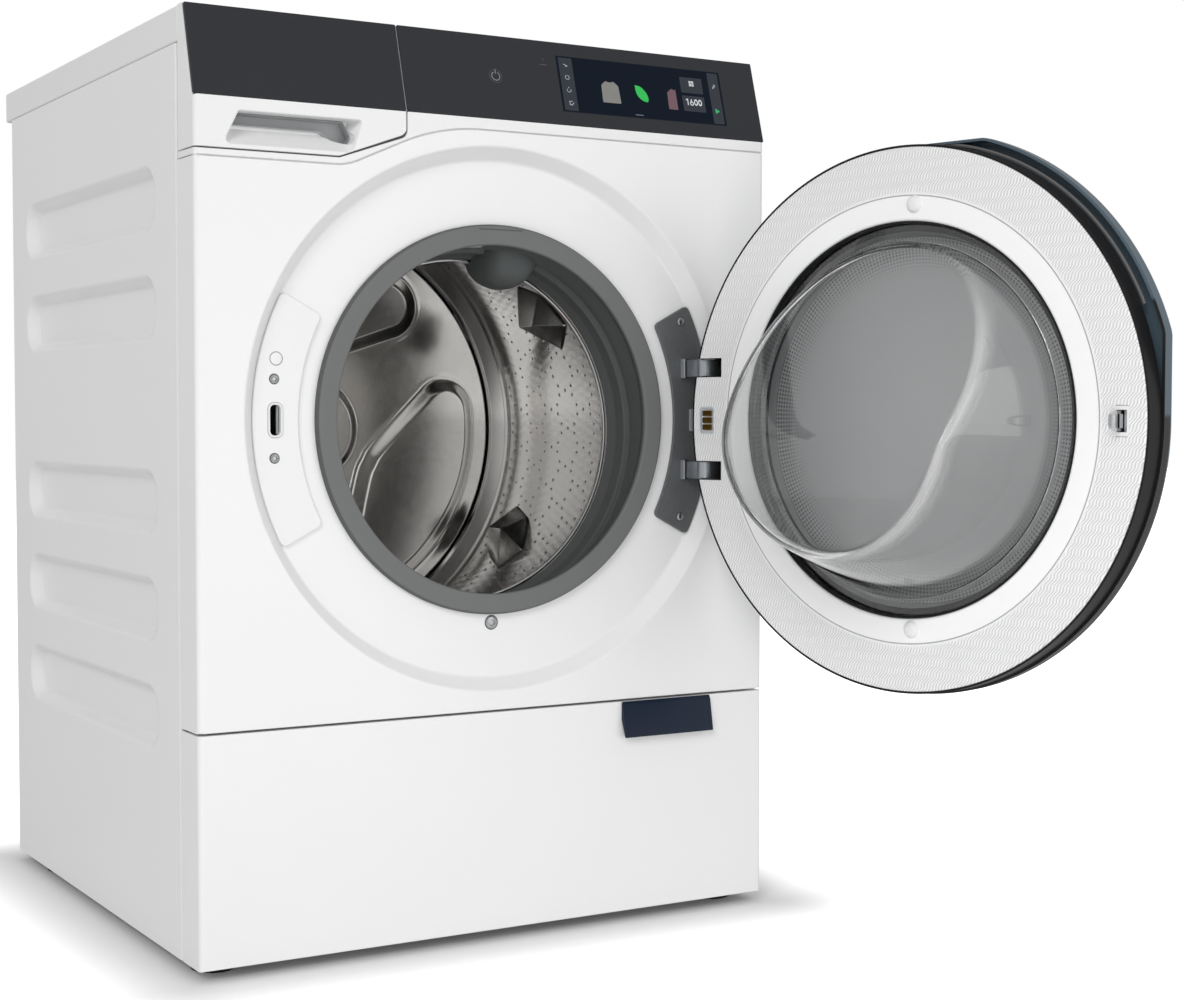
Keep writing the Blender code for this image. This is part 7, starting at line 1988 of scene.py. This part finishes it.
@dataclass
class Drum:
    """Pierced drum with rolled lip, faceted lifters and embossed back."""

    mouth: float = 0.1645
    front: float = 0.0905
    inner: float = 0.2488
    outer: float = 0.2500
    back: float = 0.4595
    back_radius: float = 0.2285
    lifter_half: float = 0.041
    lifter_reach: float = 0.0425
    ridge: float = 0.015
    ridge_radius: float = 0.224
    lifter_phase: float = radians(30.5)
    lifter_depths: tuple[float, float] = (0.305, 0.380)
    emboss_depth: float = 0.009
    emboss_slope: float = 0.015
    emboss_phase: float = radians(-28.5)
    cap_radius: float = 0.038
    cap_place: float = 0.1693
    cap_spread: float = radians(35.4)
    cap_turn: float = radians(170)
    waist: float = 0.077
    waist_half: float = 0.025
    lifter_soften: float = 0.0013
    rear_depth: float = 0.4598
    rear_sheet: float = 0.0012
    rear_steps: int = 720
    rear_rings: int = 190
    hub_rise: float = 0.004
    hub_radius: float = 0.060
    hub_slope: float = 0.012

    def shell(self) -> None:
        """Shell as one closed turned section: rolled lip, front wall, barrel and stepped rear corner."""
        section = rounded(
            [
                (self.mouth, self.front, 0.0014),
                (self.mouth + 0.0042, self.front, 0.0014),
                (self.mouth + 0.0048, 0.0938, 0.001),
                (0.2500, 0.0958, 0.014),
                (0.2500, 0.4480, 0.004),
                (0.2290, 0.4598, 0.001),
                (0.2285, 0.4580, 0.0),
                (0.2320, 0.4575, 0.001),
                (0.2448, 0.4486, 0.001),
                (0.2466, 0.4448, 0.001),
                (0.2488, 0.4425, 0.001),
                (0.2488, 0.0975, 0.013),
                (self.mouth + 0.0030, 0.0955, 0.001),
                (self.mouth, 0.0945, 0.0014),
            ],
            steps=7,
            loop=True,
        )
        piece = Piece("drum_shell", DRUM)
        piece.grid(revolve(closed(section, 0), 240))
        piece.make("drum", DRUM_STEEL, "stainless", ("drum_shell",))
        groove = rounded(
            [
                (0.1688, 0.0885, 0.0008),
                (0.1705, 0.0885, 0.0008),
                (0.1705, 0.0912, 0.0),
                (0.1688, 0.0912, 0.0),
            ],
            loop=True,
        )
        lip = Piece("drum_lip", DRUM)
        lip.grid(revolve(closed(groove, 0), 200))
        turn = np.linspace(0.0, tau, 17)
        rim = np.stack(
            [self.mouth + 0.0006 + 0.0010 * np.cos(turn), self.front - 0.0006 + 0.0010 * np.sin(turn)],
            axis=-1,
        )
        lip.grid(revolve(rim, 200))
        lip.make("drum", LIP_STEEL, "stainless")

    def lifters(self) -> None:
        """Six cut-gem lifters: six-cornered feet on the wall that rise to a short ridge."""
        half, reach = self.lifter_half, self.lifter_reach
        plan = np.array(
            (
                (-half, reach / 3),
                (-half / 3, reach),
                (half * 2 / 3, reach / 2),
                (half, -reach / 3),
                (half / 3, -reach),
                (-half * 2 / 3, -reach / 2),
            )
        )
        for side, depth in zip((1.0, -1.0), self.lifter_depths):
            for i in range(3):
                angle = side * self.lifter_phase + tau * i / 3
                piece = Piece(
                    f"lifter_{i + 1}_{'front' if side > 0 else 'rear'}", DRUM, soften=self.lifter_soften
                )
                turn = plan[:, 0] / self.outer
                rings = [
                    np.stack([radius * np.sin(turn), depth + plan[:, 1], radius * np.cos(turn)], axis=-1)
                    for radius in (self.inner + 0.0008, self.inner - 0.0012)
                ]
                tops = np.array(
                    (
                        (0.0, depth + self.ridge, self.ridge_radius),
                        (0.0, depth - self.ridge, self.ridge_radius),
                    )
                )
                points = np.concatenate([*rings, tops])
                faces = [[0, 1, 2, 3, 4, 5]]
                faces += [[k, (k + 1) % 6, 6 + (k + 1) % 6, 6 + k] for k in range(6)]
                faces += [[6, 7, 12], [7, 8, 12], [8, 9, 13, 12], [9, 10, 13], [10, 11, 13], [11, 6, 12, 13]]
                spin = pi / 2 - angle
                c, s = cos(spin), sin(spin)
                points = points @ np.array(((c, 0.0, s), (0.0, 1.0, 0.0), (-s, 0.0, c))).T
                piece.facets(points, faces)
                piece.make("drum", LIFTER_STEEL, "stainless")

    def bean(self) -> np.ndarray:
        """Outline of an embossed field: outer arc, two round ends and a waist near the hub."""
        u, v = self.cap_place * cos(self.cap_spread), self.cap_place * sin(self.cap_spread)
        angles = np.linspace(self.cap_spread, self.cap_turn, 30)
        cap = on_circle(self.cap_radius, angles, u, v)
        waist = np.array(
            ((self.waist, self.waist_half), (self.waist - 0.003, 0.0), (self.waist, -self.waist_half))
        )
        line = curve_through(np.concatenate([cap[-1:], waist, cap[-1:] * (1, -1)]), 8)
        arc = np.linspace(self.cap_spread, -self.cap_spread, 30)[1:-1]
        outer = on_circle(self.cap_place + self.cap_radius, arc)
        return np.concatenate([cap, line[1:-1], cap[::-1] * (1, -1), outer[::-1]])

    def rear(self) -> None:
        """Back wall as a height field over angle and radius.

        With s the distance inside a field's outline over the slope, held between 0 and 1, the
        field's height is its depth times 0.8 s + 0.2 (3 s^2 - 2 s^3). A narrow bead follows the
        outline's foot.
        """
        angles = np.linspace(0.0, tau, self.rear_steps, endpoint=False)
        reach = self.back_radius
        radii = np.concatenate(
            [[0.0005], np.linspace(0.004, reach - 0.0035, self.rear_rings), [reach - 0.0012, reach]]
        )
        u = radii[:, None] * np.cos(angles)
        w = radii[:, None] * np.sin(angles)
        flat = np.stack([u.ravel(), w.ravel()], axis=-1)
        inside = np.full(len(flat), -1.0)
        for i in range(3):
            outline = spun(self.bean(), self.emboss_phase + tau * i / 3)
            inside = np.maximum(inside, -signed_distance(flat, outline))
        inside = inside.reshape(u.shape)
        share = np.clip(inside / self.emboss_slope, 0.0, 1.0)
        height = self.emboss_depth * (0.8 * share + 0.2 * smooth(share))
        bead = 0.0003 * np.exp(-((inside + 0.0030) / 0.0016) ** 2)
        hub = self.hub_rise * smooth((self.hub_radius - radii) / self.hub_slope)[:, None]
        rim = 0.0016 * smooth((radii - (reach - 0.004)) / 0.003)[:, None]
        depth = self.rear_depth - height - bead - hub + rim
        front = closed(np.stack([u, depth, w], axis=-1), 1)
        behind = front + np.array((0.0, self.rear_sheet, 0.0))
        piece = Piece("drum_back", DRUM)
        piece.grid(front).grid(behind)
        piece.grid(np.stack([front[-1], behind[-1]])).grid(np.stack([front[0], behind[0]]))
        piece.make("drum", REAR_STEEL, "stainless", ("drum_rear",))
        cap = Piece("drum_hub_cap", DRUM)
        cap.grid(
            revolve(((0.0, 0.4515), (0.012, 0.4515), (0.016, 0.4525), (0.018, 0.4560), (0.0, 0.4560)), 48)
        )
        cap.make("drum", LIP_STEEL, "stainless")

    def build(self) -> None:
        """Make the drum's pieces."""
        self.shell()
        self.lifters()
        self.rear()


@dataclass
class Door:
    """Door in its closed place about its own centre: X to the right, Y towards the machine."""

    face: float = DOOR_FACE
    ring_inner: float = 0.178
    ring_outer: float = 0.2434
    rim_outer: float = 0.2455
    rim_back: float = -0.0165
    shell_radius: float = 0.2475
    lobe_radius: float = 0.2580
    shell_front: float = -0.0340
    shell_back: float = -0.0168
    arm_places: tuple[float, float] = ARM_HEIGHTS
    window_half: float = 0.00925
    window_inner: float = 0.208
    well_right: float = 0.2368
    latch_x: float = LATCH_X
    contact_x: float = 0.226
    bowl_steps: int = 200
    bowl_taper: float = 0.362
    bowl_slope: float = 0.622
    bowl_ease: float = 0.010
    bowl_edge: float = 0.0032

    def arm_windows(self, front: float, back: float) -> list[np.ndarray]:
        """Closed blocks of the two openings that the hinge arms pass through."""
        half = self.window_half
        return [
            brick((self.window_inner, front, place - half), (0.27, back, place + half), CRISP)
            for place in self.arm_places
        ]

    def ring(self) -> None:
        """White ring with rounded inner edge, two buffers, arm openings and the contacts' hollow."""
        section = rounded(
            [
                (self.ring_inner, -0.0060, 0.0),
                (self.ring_outer, -0.0060, 0.0),
                (self.ring_outer, self.face, 0.0012),
                (self.ring_inner, self.face, 0.0030),
            ],
            steps=6,
            loop=True,
        )
        piece = Piece("door_ring", DOOR)
        piece.grid(revolve(closed(section, 0), 256))
        for block in self.arm_windows(-0.03, 0.02):
            piece.hole(block)
        contacts = rectangle(self.contact_x, 0.0, 0.0165, 0.0245, 0.0022)
        piece.hole(slab(contacts, self.face - 0.0016, 0.02, CRISP))
        latch = rectangle(self.latch_x, 0.0, 0.0122, 0.0262, 0.0012)
        piece.hole(slab(latch, self.face - 0.0060, 0.02, CRISP))
        piece.make("door", RING_PLASTIC, "white_plastic", ("door_ring",))
        for name, height in (("buffer_upper", 0.192), ("buffer_lower", -0.187)):
            dome = np.array(
                ((0.0082, -0.0005), (0.0078, 0.0006), (0.0062, 0.0028), (0.0032, 0.0040), (0.0, 0.0042))
            )
            profile = curve_through(dome + (0.0, self.face), 4)
            profile = np.concatenate([[(0.0, self.face - 0.0005)], profile])
            buffer = Piece(name, DOOR)
            buffer.grid(moved(revolve(profile, 40), -0.015, height))
            buffer.make("door", PAD_PLASTIC, "white_plastic")

    def rim(self) -> None:
        """Black rim behind the ring with knuckles, arm wells and the gasket at the bowl."""
        section = rounded(
            [
                (0.1690, self.rim_back, 0.0005),
                (self.rim_outer, self.rim_back, 0.0008),
                (self.rim_outer, 0.0043, 0.0004),
                (0.2437, 0.0043, 0.0003),
                (0.2437, -0.0063, 0.0),
                (0.1690, -0.0063, 0.0005),
            ],
            steps=4,
            loop=True,
        )
        piece = Piece("door_rim", DOOR)
        piece.grid(revolve(closed(section, 0), 256))
        for block in self.arm_windows(-0.03, 0.02):
            piece.hole(block)
        piece.make("door", RIM_BLACK, "dark_plastic", ("door_rim",))
        px, py = PIVOT
        upper, lower = self.arm_places
        half = self.window_half
        wells = Piece("hinge_wells", DOOR)
        for low, high in ((upper + half, 0.0643), (lower + half, upper - half), (-0.0643, lower - half)):
            wells.body(
                brick((px - 0.0094, py - 0.0065, low), (px + 0.0044, self.rim_back + 0.001, high), 0.0010)
            )
        left, right, front = self.window_inner - 0.0010, self.well_right, self.face - 0.0006
        for place in self.arm_places:
            low, high = place - half - 0.0008, place + half + 0.0008
            for end, start, stop in (
                (self.window_inner + 0.0002, low, high),
                (right, place + half - 0.0002, high),
                (right, low, place - half + 0.0002),
            ):
                wells.body(brick((left, self.rim_back, start), (end, front, stop), 0.0002, 1))
        wells.make("door", RIM_BLACK, "dark_plastic")
        gasket = Piece("bowl_gasket", DOOR)
        ring = rounded(
            [
                (0.1750, -0.0017, 0.0003),
                (0.1778, -0.0017, 0.0),
                (0.1778, 0.0036, 0.0008),
                (0.1762, 0.0038, 0.0006),
                (0.1752, 0.0012, 0.0004),
            ],
            loop=True,
        )
        gasket.grid(revolve(closed(ring, 0), 200))
        gasket.make("door", RIM_BLACK, "black_rubber")

    def reach(self, angles: np.ndarray) -> np.ndarray:
        """Radius of the shell's outline: a circle, wider in the upper quarter of the latch side."""
        steepest = np.maximum(np.abs(np.sin(angles)), np.abs(np.cos(angles)))
        flat = self.shell_radius / np.maximum(steepest, 1e-6)
        turned = angles % tau
        in_lobe = (turned > pi / 2) & (turned < pi)
        return np.where(in_lobe, np.minimum(self.lobe_radius, flat), self.shell_radius)

    def shell(self) -> None:
        """Blue-grey shell as one closed section carried round the outline, and the grip strip in the lobe."""
        angles = np.linspace(0.0, tau, 361)
        wide = self.reach(angles)
        hole, front = 0.160, self.shell_front
        section = [(0.0, self.shell_back), (0.0, -0.0268)]
        section += [(0.0062 * (1 - cos(a)), -0.0268 - 0.0072 * sin(a)) for a in np.linspace(0.15, pi / 2, 8)]
        cover = (
            (0.2300, front),
            (0.1800, front),
            (hole + 0.001, front),
            (hole, front + 0.001),
            (hole, -0.0315),
            (0.2300, -0.0315),
        )
        back = [(0.0085, -0.0315)]
        back += [
            (0.0085 - 0.0060 * sin(a), -0.0315 + 0.0047 * (1 - cos(a)))
            for a in np.linspace(0.15, pi / 2, 6)
        ]
        back.append((0.0025, self.shell_back))
        rows = [polar(wide - inset, angles, depth) for inset, depth in section]
        rows += [polar(radius, angles, depth) for radius, depth in cover]
        rows += [polar(wide - inset, angles, depth) for inset, depth in back]
        rows.append(rows[0])
        piece = Piece("door_shell", DOOR)
        piece.grid(np.stack(rows))
        for block in self.arm_windows(-0.0245, 0.02):
            piece.hole(block)
        piece.make("door", SHELL_BLUE, "blue_shell", ("door_shell",))
        span = np.radians(np.linspace(96.0, 157.0, 90))
        limit = np.minimum(self.reach(span) - 0.0028, self.rim_outer + 0.0034)
        start = np.minimum(np.full_like(span, self.rim_outer + 0.0008), limit - 0.0003)
        middle = start * 0.5 + limit * 0.5
        section = (
            (start, -0.0190),
            (start, -0.0176),
            (middle, -0.0172),
            (limit, -0.0176),
            (limit, -0.0190),
            (start, -0.0190),
        )
        grid = np.stack([polar(radius, span, depth) for radius, depth in section])
        strip = Piece("grip_strip", DOOR)
        strip.grid(grid).cap(grid[:-1, 0]).cap(grid[:-1, -1])
        strip.make("door", STRIP_GREY, "dark_plastic")

    def bowl_skin(self, radius: float, start: float, end: float, fold: float) -> np.ndarray:
        """One skin of the glass bowl as a height field over the circle of its foot.

        The wall's depth at a radius r is start + (radius - r) / taper. The face's depth at a height z
        is end - slope * w ln(1 + exp((z - fold) / w)), level below the fold and sloped above it.
        The skin is their smooth least value, so that the rim between them is rounded.

        Args:
            radius: Radius of the foot.
            start: Depth of the foot.
            end: Depth of the level face.
            fold: Height at which the face begins to slope.

        Returns:
            Grid of points from the foot to the middle.
        """
        angles = np.linspace(0.0, tau, self.bowl_steps + 1)
        radii = np.concatenate([np.linspace(radius, 0.098, 84), np.linspace(0.094, 0.0, 24)])[:, None]
        x, z = radii * np.cos(angles), radii * np.sin(angles)
        wall = start + (radius - radii) / self.bowl_taper
        ease = self.bowl_ease
        face = end - self.bowl_slope * ease * np.logaddexp(0.0, (z - fold) / ease)
        edge = self.bowl_edge
        depth = -edge * np.logaddexp(-(wall + 0 * z) / edge, -face / edge)
        depth[0] = start
        return np.stack([x, np.maximum(depth, start), z], axis=-1)

    def glass(self) -> None:
        """Deep bowl, the printed inner pane and the dark outer pane."""
        bowl = Piece("door_bowl", DOOR)
        outer = self.bowl_skin(0.1600, 0.0020, 0.1180, -0.0200)
        inner = self.bowl_skin(0.1572, -0.0020, 0.1140, -0.0211)
        flange = revolve(
            ((0.1762, -0.0059), (0.1762, -0.0020), (0.1640, -0.0010), (0.1612, 0.0004), (0.1600, 0.0020)),
            self.bowl_steps,
        )
        foot = revolve(((0.1572, -0.0020), (0.1572, -0.0059), (0.1762, -0.0059)), self.bowl_steps)
        bowl.grid(flange).grid(outer).grid(inner).grid(foot)
        bowl.make("door", BOWL_GLASS, "clear_glass", ("door_bowl",))
        collar = (
            (0.1686, -0.0066),
            (0.1655, -0.0240),
            (0.1641, -0.0262),
            (0.1648, -0.0264),
            (0.1663, -0.0244),
            (0.1689, -0.0066),
            (0.1686, -0.0066),
        )
        window = (
            (0.0, -0.0284),
            (0.1635, -0.0284),
            (0.1639, -0.0280),
            (0.1639, -0.0266),
            (0.1635, -0.0262),
            (0.0, -0.0262),
        )
        pane = ((0.0, -0.0328), (0.1585, -0.0328), (0.1597, -0.0320), (0.1597, -0.0290), (0.0, -0.0288))
        for name, profile, segments, finish, nodes in (
            ("window_collar", collar, 200, WINDOW_GREY, ()),
            ("door_window", window, 160, WINDOW_GLASS, ("door_window",)),
            ("front_pane", pane, 160, PANE_GLASS, ()),
        ):
            Piece(name, DOOR).grid(revolve(profile, segments)).make("door", finish, "tinted_glass", nodes)

    def latch(self) -> None:
        """Latch plate with its looped hook, and the gold contacts in their frame."""
        plate = Piece("latch_frame", DOOR)
        inner = rectangle(self.latch_x, 0.0, 0.0108, 0.0184, 0.0008)
        outer = rectangle(self.latch_x, 0.0, 0.0140, 0.0254, 0.0020)
        rows = (
            (inner, self.face - 0.0040),
            (inner, self.face + 0.0012),
            (outer, self.face + 0.0010),
            (outer, self.face + 0.0001),
            (inner, self.face - 0.0040),
        )
        plate.grid(layers(rows))
        plate.make("door", PAD_PLASTIC, "white_plastic")
        well = Piece("latch_well", DOOR)
        well.body(
            brick(
                (self.latch_x - 0.0060, self.face - 0.0059, -0.0098),
                (self.latch_x + 0.0060, self.face - 0.0030, 0.0098),
                0.0004,
            )
        )
        well.make("door", RIM_BLACK, "dark_plastic")
        hook = Piece("door_latch", DOOR)
        outer = [(0.0020, -0.0085, 0.0004), (0.0150, -0.0085, 0.0020), (0.0232, -0.0055, 0.0020)]
        inner = [(0.0048, -0.0058, 0.0004), (0.0148, -0.0058, 0.0010), (0.0202, -0.0040, 0.0010)]
        rows = []
        for corners, side in ((outer, -1.0), (outer, 1.0), (inner, 1.0), (inner, -1.0), (outer, -1.0)):
            line = rounded(corners + [(y, -z, radius) for y, z, radius in corners[::-1]], steps=4, loop=True)
            rows.append(
                np.stack(
                    [np.full(len(line), self.latch_x + 0.0006 + side * 0.0015), line[:, 0], line[:, 1]],
                    axis=-1,
                )
            )
        hook.grid(closed(np.stack(rows), 1))
        hook.body(
            brick(
                (self.latch_x - 0.0052, self.face - 0.0036, -0.0088),
                (self.latch_x - 0.0024, self.face + 0.0004, 0.0088),
                0.0005,
            )
        )
        hook.make("door", CHROME, "chrome", ("door_latch",))
        gold = Piece("door_contacts", DOOR)
        for height in (-0.0068, 0.0, 0.0068):
            gold.body(
                brick(
                    (self.contact_x - 0.0064, self.face - 0.0014, height - 0.0028),
                    (self.contact_x + 0.0058, self.face + 0.0006, height + 0.0028),
                    0.0005,
                )
            )
        gold.make("door", GOLD, "gold", ("door_contacts",))
        frame_piece = Piece("contact_frame", DOOR)
        inner = rectangle(self.contact_x, 0.0, 0.0150, 0.0228, 0.0018)
        outer = rectangle(self.contact_x, 0.0, 0.0180, 0.0260, 0.0028)
        rows = (
            (inner, self.face - 0.0015),
            (inner, self.face + 0.0006),
            (outer, self.face + 0.0004),
            (outer, self.face - 0.0004),
            (inner, self.face - 0.0015),
        )
        frame_piece.grid(layers(rows))
        frame_piece.make("door", CONTACT_BLUE, "white_plastic")
        pin = Piece("hinge_pin", DOOR)
        pin.body(along_z(slab(circle(0.0030, 32, *PIVOT), -0.0640, 0.0640, 0.0004)))
        pin.make("door", PLAIN_STEEL, "steel", ("hinge_pin",))

    def build(self) -> None:
        """Make the door's pieces."""
        self.ring()
        self.rim()
        self.shell()
        self.glass()
        self.latch()


@dataclass
class Back:
    """Screws that hold the rear sheet and its cover."""

    sheet: float = 0.5862
    cover: float = 0.5985
    radius: float = 0.0042

    def build(self) -> None:
        """Make the screws: each is a front screw turned about the upright."""
        places = [(x, self.sheet, z) for x in (-0.272, 0.272) for z in (0.045, 0.300, 0.540, 0.790)]
        places += [(x, self.cover, z) for x in (-0.205, 0.205) for z in (0.190, 0.400, 0.612)]
        screws = Piece("rear_screws", MACHINE)
        for x, y, z in places:
            head = screw_head(self.radius, 0.0)
            screws.grid(np.stack([x - head[..., 0], y - head[..., 1], z + head[..., 2]], axis=-1))
        screws.make("cabinet", SCREW_STEEL, "chrome")


@dataclass
class Flap:
    """Lower service flap and its pull tab."""

    low: float = FLOOR_GAP
    high: float = 0.2162
    depth: float = 0.044
    tab_left: float = 0.131
    tab_right: float = 0.233
    tab_height: float = 0.0345
    tab_reach: float = 0.009
    tab_thickness: float = 0.0025
    tab_bevel: float = 0.004

    def build(self) -> None:
        """Make the flap as a hollow folded tray and the tab as a leaning wedge."""
        half = HALF_WIDTH
        corners = [
            (-half, self.low, 0.0), (half, self.low, 0.0), (half, self.high, 0.0), (-half, self.high, 0.0)
        ]
        flap = Piece("service_flap")
        flap.body(slab(np.array([corner[:2] for corner in corners]), 0.0, self.depth, 0.0010))
        flap.keep(Fascia().edge_bar())
        flap.hole(
            brick(
                (-half + 0.0012, 0.0012, self.low - 0.01), (half - 0.0012, 0.06, self.high - 0.0034), 0.0030
            )
        )
        flap.make("flap", WHITE_ENAMEL, "white_enamel", ("service_flap",))
        seat = -0.0003
        top = self.high
        low = top - self.tab_height
        lean = self.tab_reach / self.tab_height
        wedge = np.array(
            (
                (seat, top - self.tab_bevel / 2),
                (seat, low + self.tab_height / 2),
                (seat - self.tab_reach + self.tab_thickness, low),
                (seat - self.tab_reach, low),
                (seat - self.tab_thickness - lean * self.tab_bevel, top - self.tab_bevel),
                (seat - self.tab_thickness / 2, top),
            )
        )
        if area(wedge) < 0.0:
            wedge = wedge[::-1]
        tab = Piece("flap_tab")
        tab.body(along_x(slab(wedge, self.tab_left, self.tab_right, 0.0005, 3)))
        tab.make("flap", NAVY, "navy", ("flap_tab",))


# Studio.


@dataclass
class Studio:
    """Camera, floor, backdrop light and lamps."""

    camera_place: tuple[float, float, float] = (-0.889146, -1.652542, 0.492502)
    yaw: float = 0.538276
    pitch: float = -0.041235
    roll: float = 0.000756
    focal_pixels: float = 2006.358
    photo_width: float = 1184.0
    sensor: float = 36.0
    floor_half: float = 14.0
    aim: tuple[float, float, float] = (0.1, -0.2, 0.4)
    sky: float = 0.56
    floor_lift: float = 0.03
    floor_rises: tuple[tuple[float, float, float], ...] = ((0.80, 0.0, 0.15), (0.3, 0.12, 0.4))
    lamps: tuple[tuple[str, tuple[float, float, float], float, float, bool], ...] = (
        ("key", (-5.2, -5.2, 4.4), 3.0, 200.0, False),
        ("fill", (1.6, -3.6, 1.0), 2.4, 20.0, True),
        ("low", (-0.25, -1.25, 0.22), 0.7, 2.2, False),
    )

    def camera(self) -> None:
        """Camera that sees the machine as the photograph does."""
        forward = Vector((sin(self.yaw) * cos(self.pitch), cos(self.yaw) * cos(self.pitch), sin(self.pitch)))
        right = Vector((cos(self.yaw), -sin(self.yaw), 0.0))
        up = right.cross(forward)
        turned_right = right * cos(self.roll) + up * sin(self.roll)
        turned_up = up * cos(self.roll) - right * sin(self.roll)
        data = bpy.data.cameras.new("camera")
        data.sensor_width = self.sensor
        data.lens = self.focal_pixels * self.sensor / self.photo_width
        data.clip_start = 0.05
        item = bpy.data.objects.new("camera", data)
        rotation = Matrix((turned_right, turned_up, -forward)).transposed().to_4x4()
        item.matrix_world = MACHINE.matrix() @ Matrix.Translation(self.camera_place) @ rotation
        bpy.context.collection.objects.link(item)
        bpy.context.scene.camera = item

    def world(self) -> None:
        """Even sky that is white to the camera and through glass, and gives a weaker light."""
        world = bpy.data.worlds.new("studio")
        world.use_nodes = True
        tree = world.node_tree
        background = tree.nodes["Background"]
        path = tree.nodes.new("ShaderNodeLightPath")
        seen = tree.nodes.new("ShaderNodeMath")
        seen.operation = "MAXIMUM"
        tree.links.new(path.outputs["Is Camera Ray"], seen.inputs[0])
        tree.links.new(path.outputs["Is Transmission Ray"], seen.inputs[1])
        strength = tree.nodes.new("ShaderNodeMapRange")
        strength.inputs["To Min"].default_value = self.sky
        strength.inputs["To Max"].default_value = 1.0
        tree.links.new(seen.outputs[0], strength.inputs["Value"])
        tree.links.new(strength.outputs[0], background.inputs["Strength"])
        background.inputs["Color"].default_value = (1.0, 1.0, 1.0, 1.0)
        bpy.context.scene.world = world

    def floor(self) -> None:
        """White floor that the camera sees brighter away from the machine, so its near shadow stays."""
        half = self.floor_half
        corners = np.array([[-half, -half, 0.0], [half, -half, 0.0], [half, half, 0.0], [-half, half, 0.0]])
        mesh = bpy.data.meshes.new("floor")
        mesh.from_pydata(MACHINE.carry(corners), [], [(0, 1, 2, 3)])
        graph = Graph("floor")
        graph.surface(Base_Color=(0.84, 0.84, 0.84, 1.0), Roughness=0.9)
        graph.shader.inputs["Specular IOR Level"].default_value = 0.0
        seen = graph.field("ShaderNodeLightPath", None, None, "Is Camera Ray")
        x, y, _ = graph.split(graph.point(MACHINE))
        beside = (abs(x) - HALF_WIDTH).most(0.0)
        before = (abs(y - BODY_DEPTH / 2) - BODY_DEPTH / 2).most(0.0)
        away = (beside * beside + before * before).root()
        lift = self.floor_lift
        for share, start, end in self.floor_rises:
            lift = lift + share * away.step(start, end)
        extra = graph.node(
            "ShaderNodeEmission", None, {"Color": (1.0, 1.0, 1.0, 1.0), "Strength": seen * lift}
        )
        both = graph.node("ShaderNodeAddShader", None, {0: graph.shader.outputs[0], 1: extra.outputs[0]})
        graph.links.new(both.outputs[0], graph.nodes["Material Output"].inputs["Surface"])
        mesh.materials.append(graph.material)
        item = bpy.data.objects.new("floor", mesh)
        bpy.context.collection.objects.link(item)

    def lamp(
        self, name: str, place: tuple[float, float, float], size: float, power: float, mirrored: bool
    ) -> None:
        """Square soft lamp that shines at the machine, mirrored in shiny surfaces or not."""
        data = bpy.data.lights.new(name, "AREA")
        data.size = size
        data.energy = power
        item = bpy.data.objects.new(name, data)
        item.visible_glossy = mirrored
        item.visible_camera = False
        start, end = Vector(place), Vector(self.aim)
        item.matrix_world = Matrix.Translation(start) @ (end - start).to_track_quat(
            "-Z", "Y"
        ).to_matrix().to_4x4()
        bpy.context.collection.objects.link(item)

    def build(self) -> None:
        """Make the camera, the light and the floor."""
        self.camera()
        self.world()
        self.floor()
        for lamp in self.lamps:
            self.lamp(*lamp)
        bpy.context.scene.view_settings.view_transform = "Standard"


def main() -> None:
    """Build the studio and every sub-assembly in order."""
    logging.basicConfig(level=logging.INFO, format="%(message)s")
    Studio().build()
    dress_nodes()
    Cabinet().build()
    Front().build()
    Fascia().build()
    Seal().build()
    Drum().build()
    Door().build()
    Flap().build()
    Back().build()


if __name__ == "__main__":
    main()
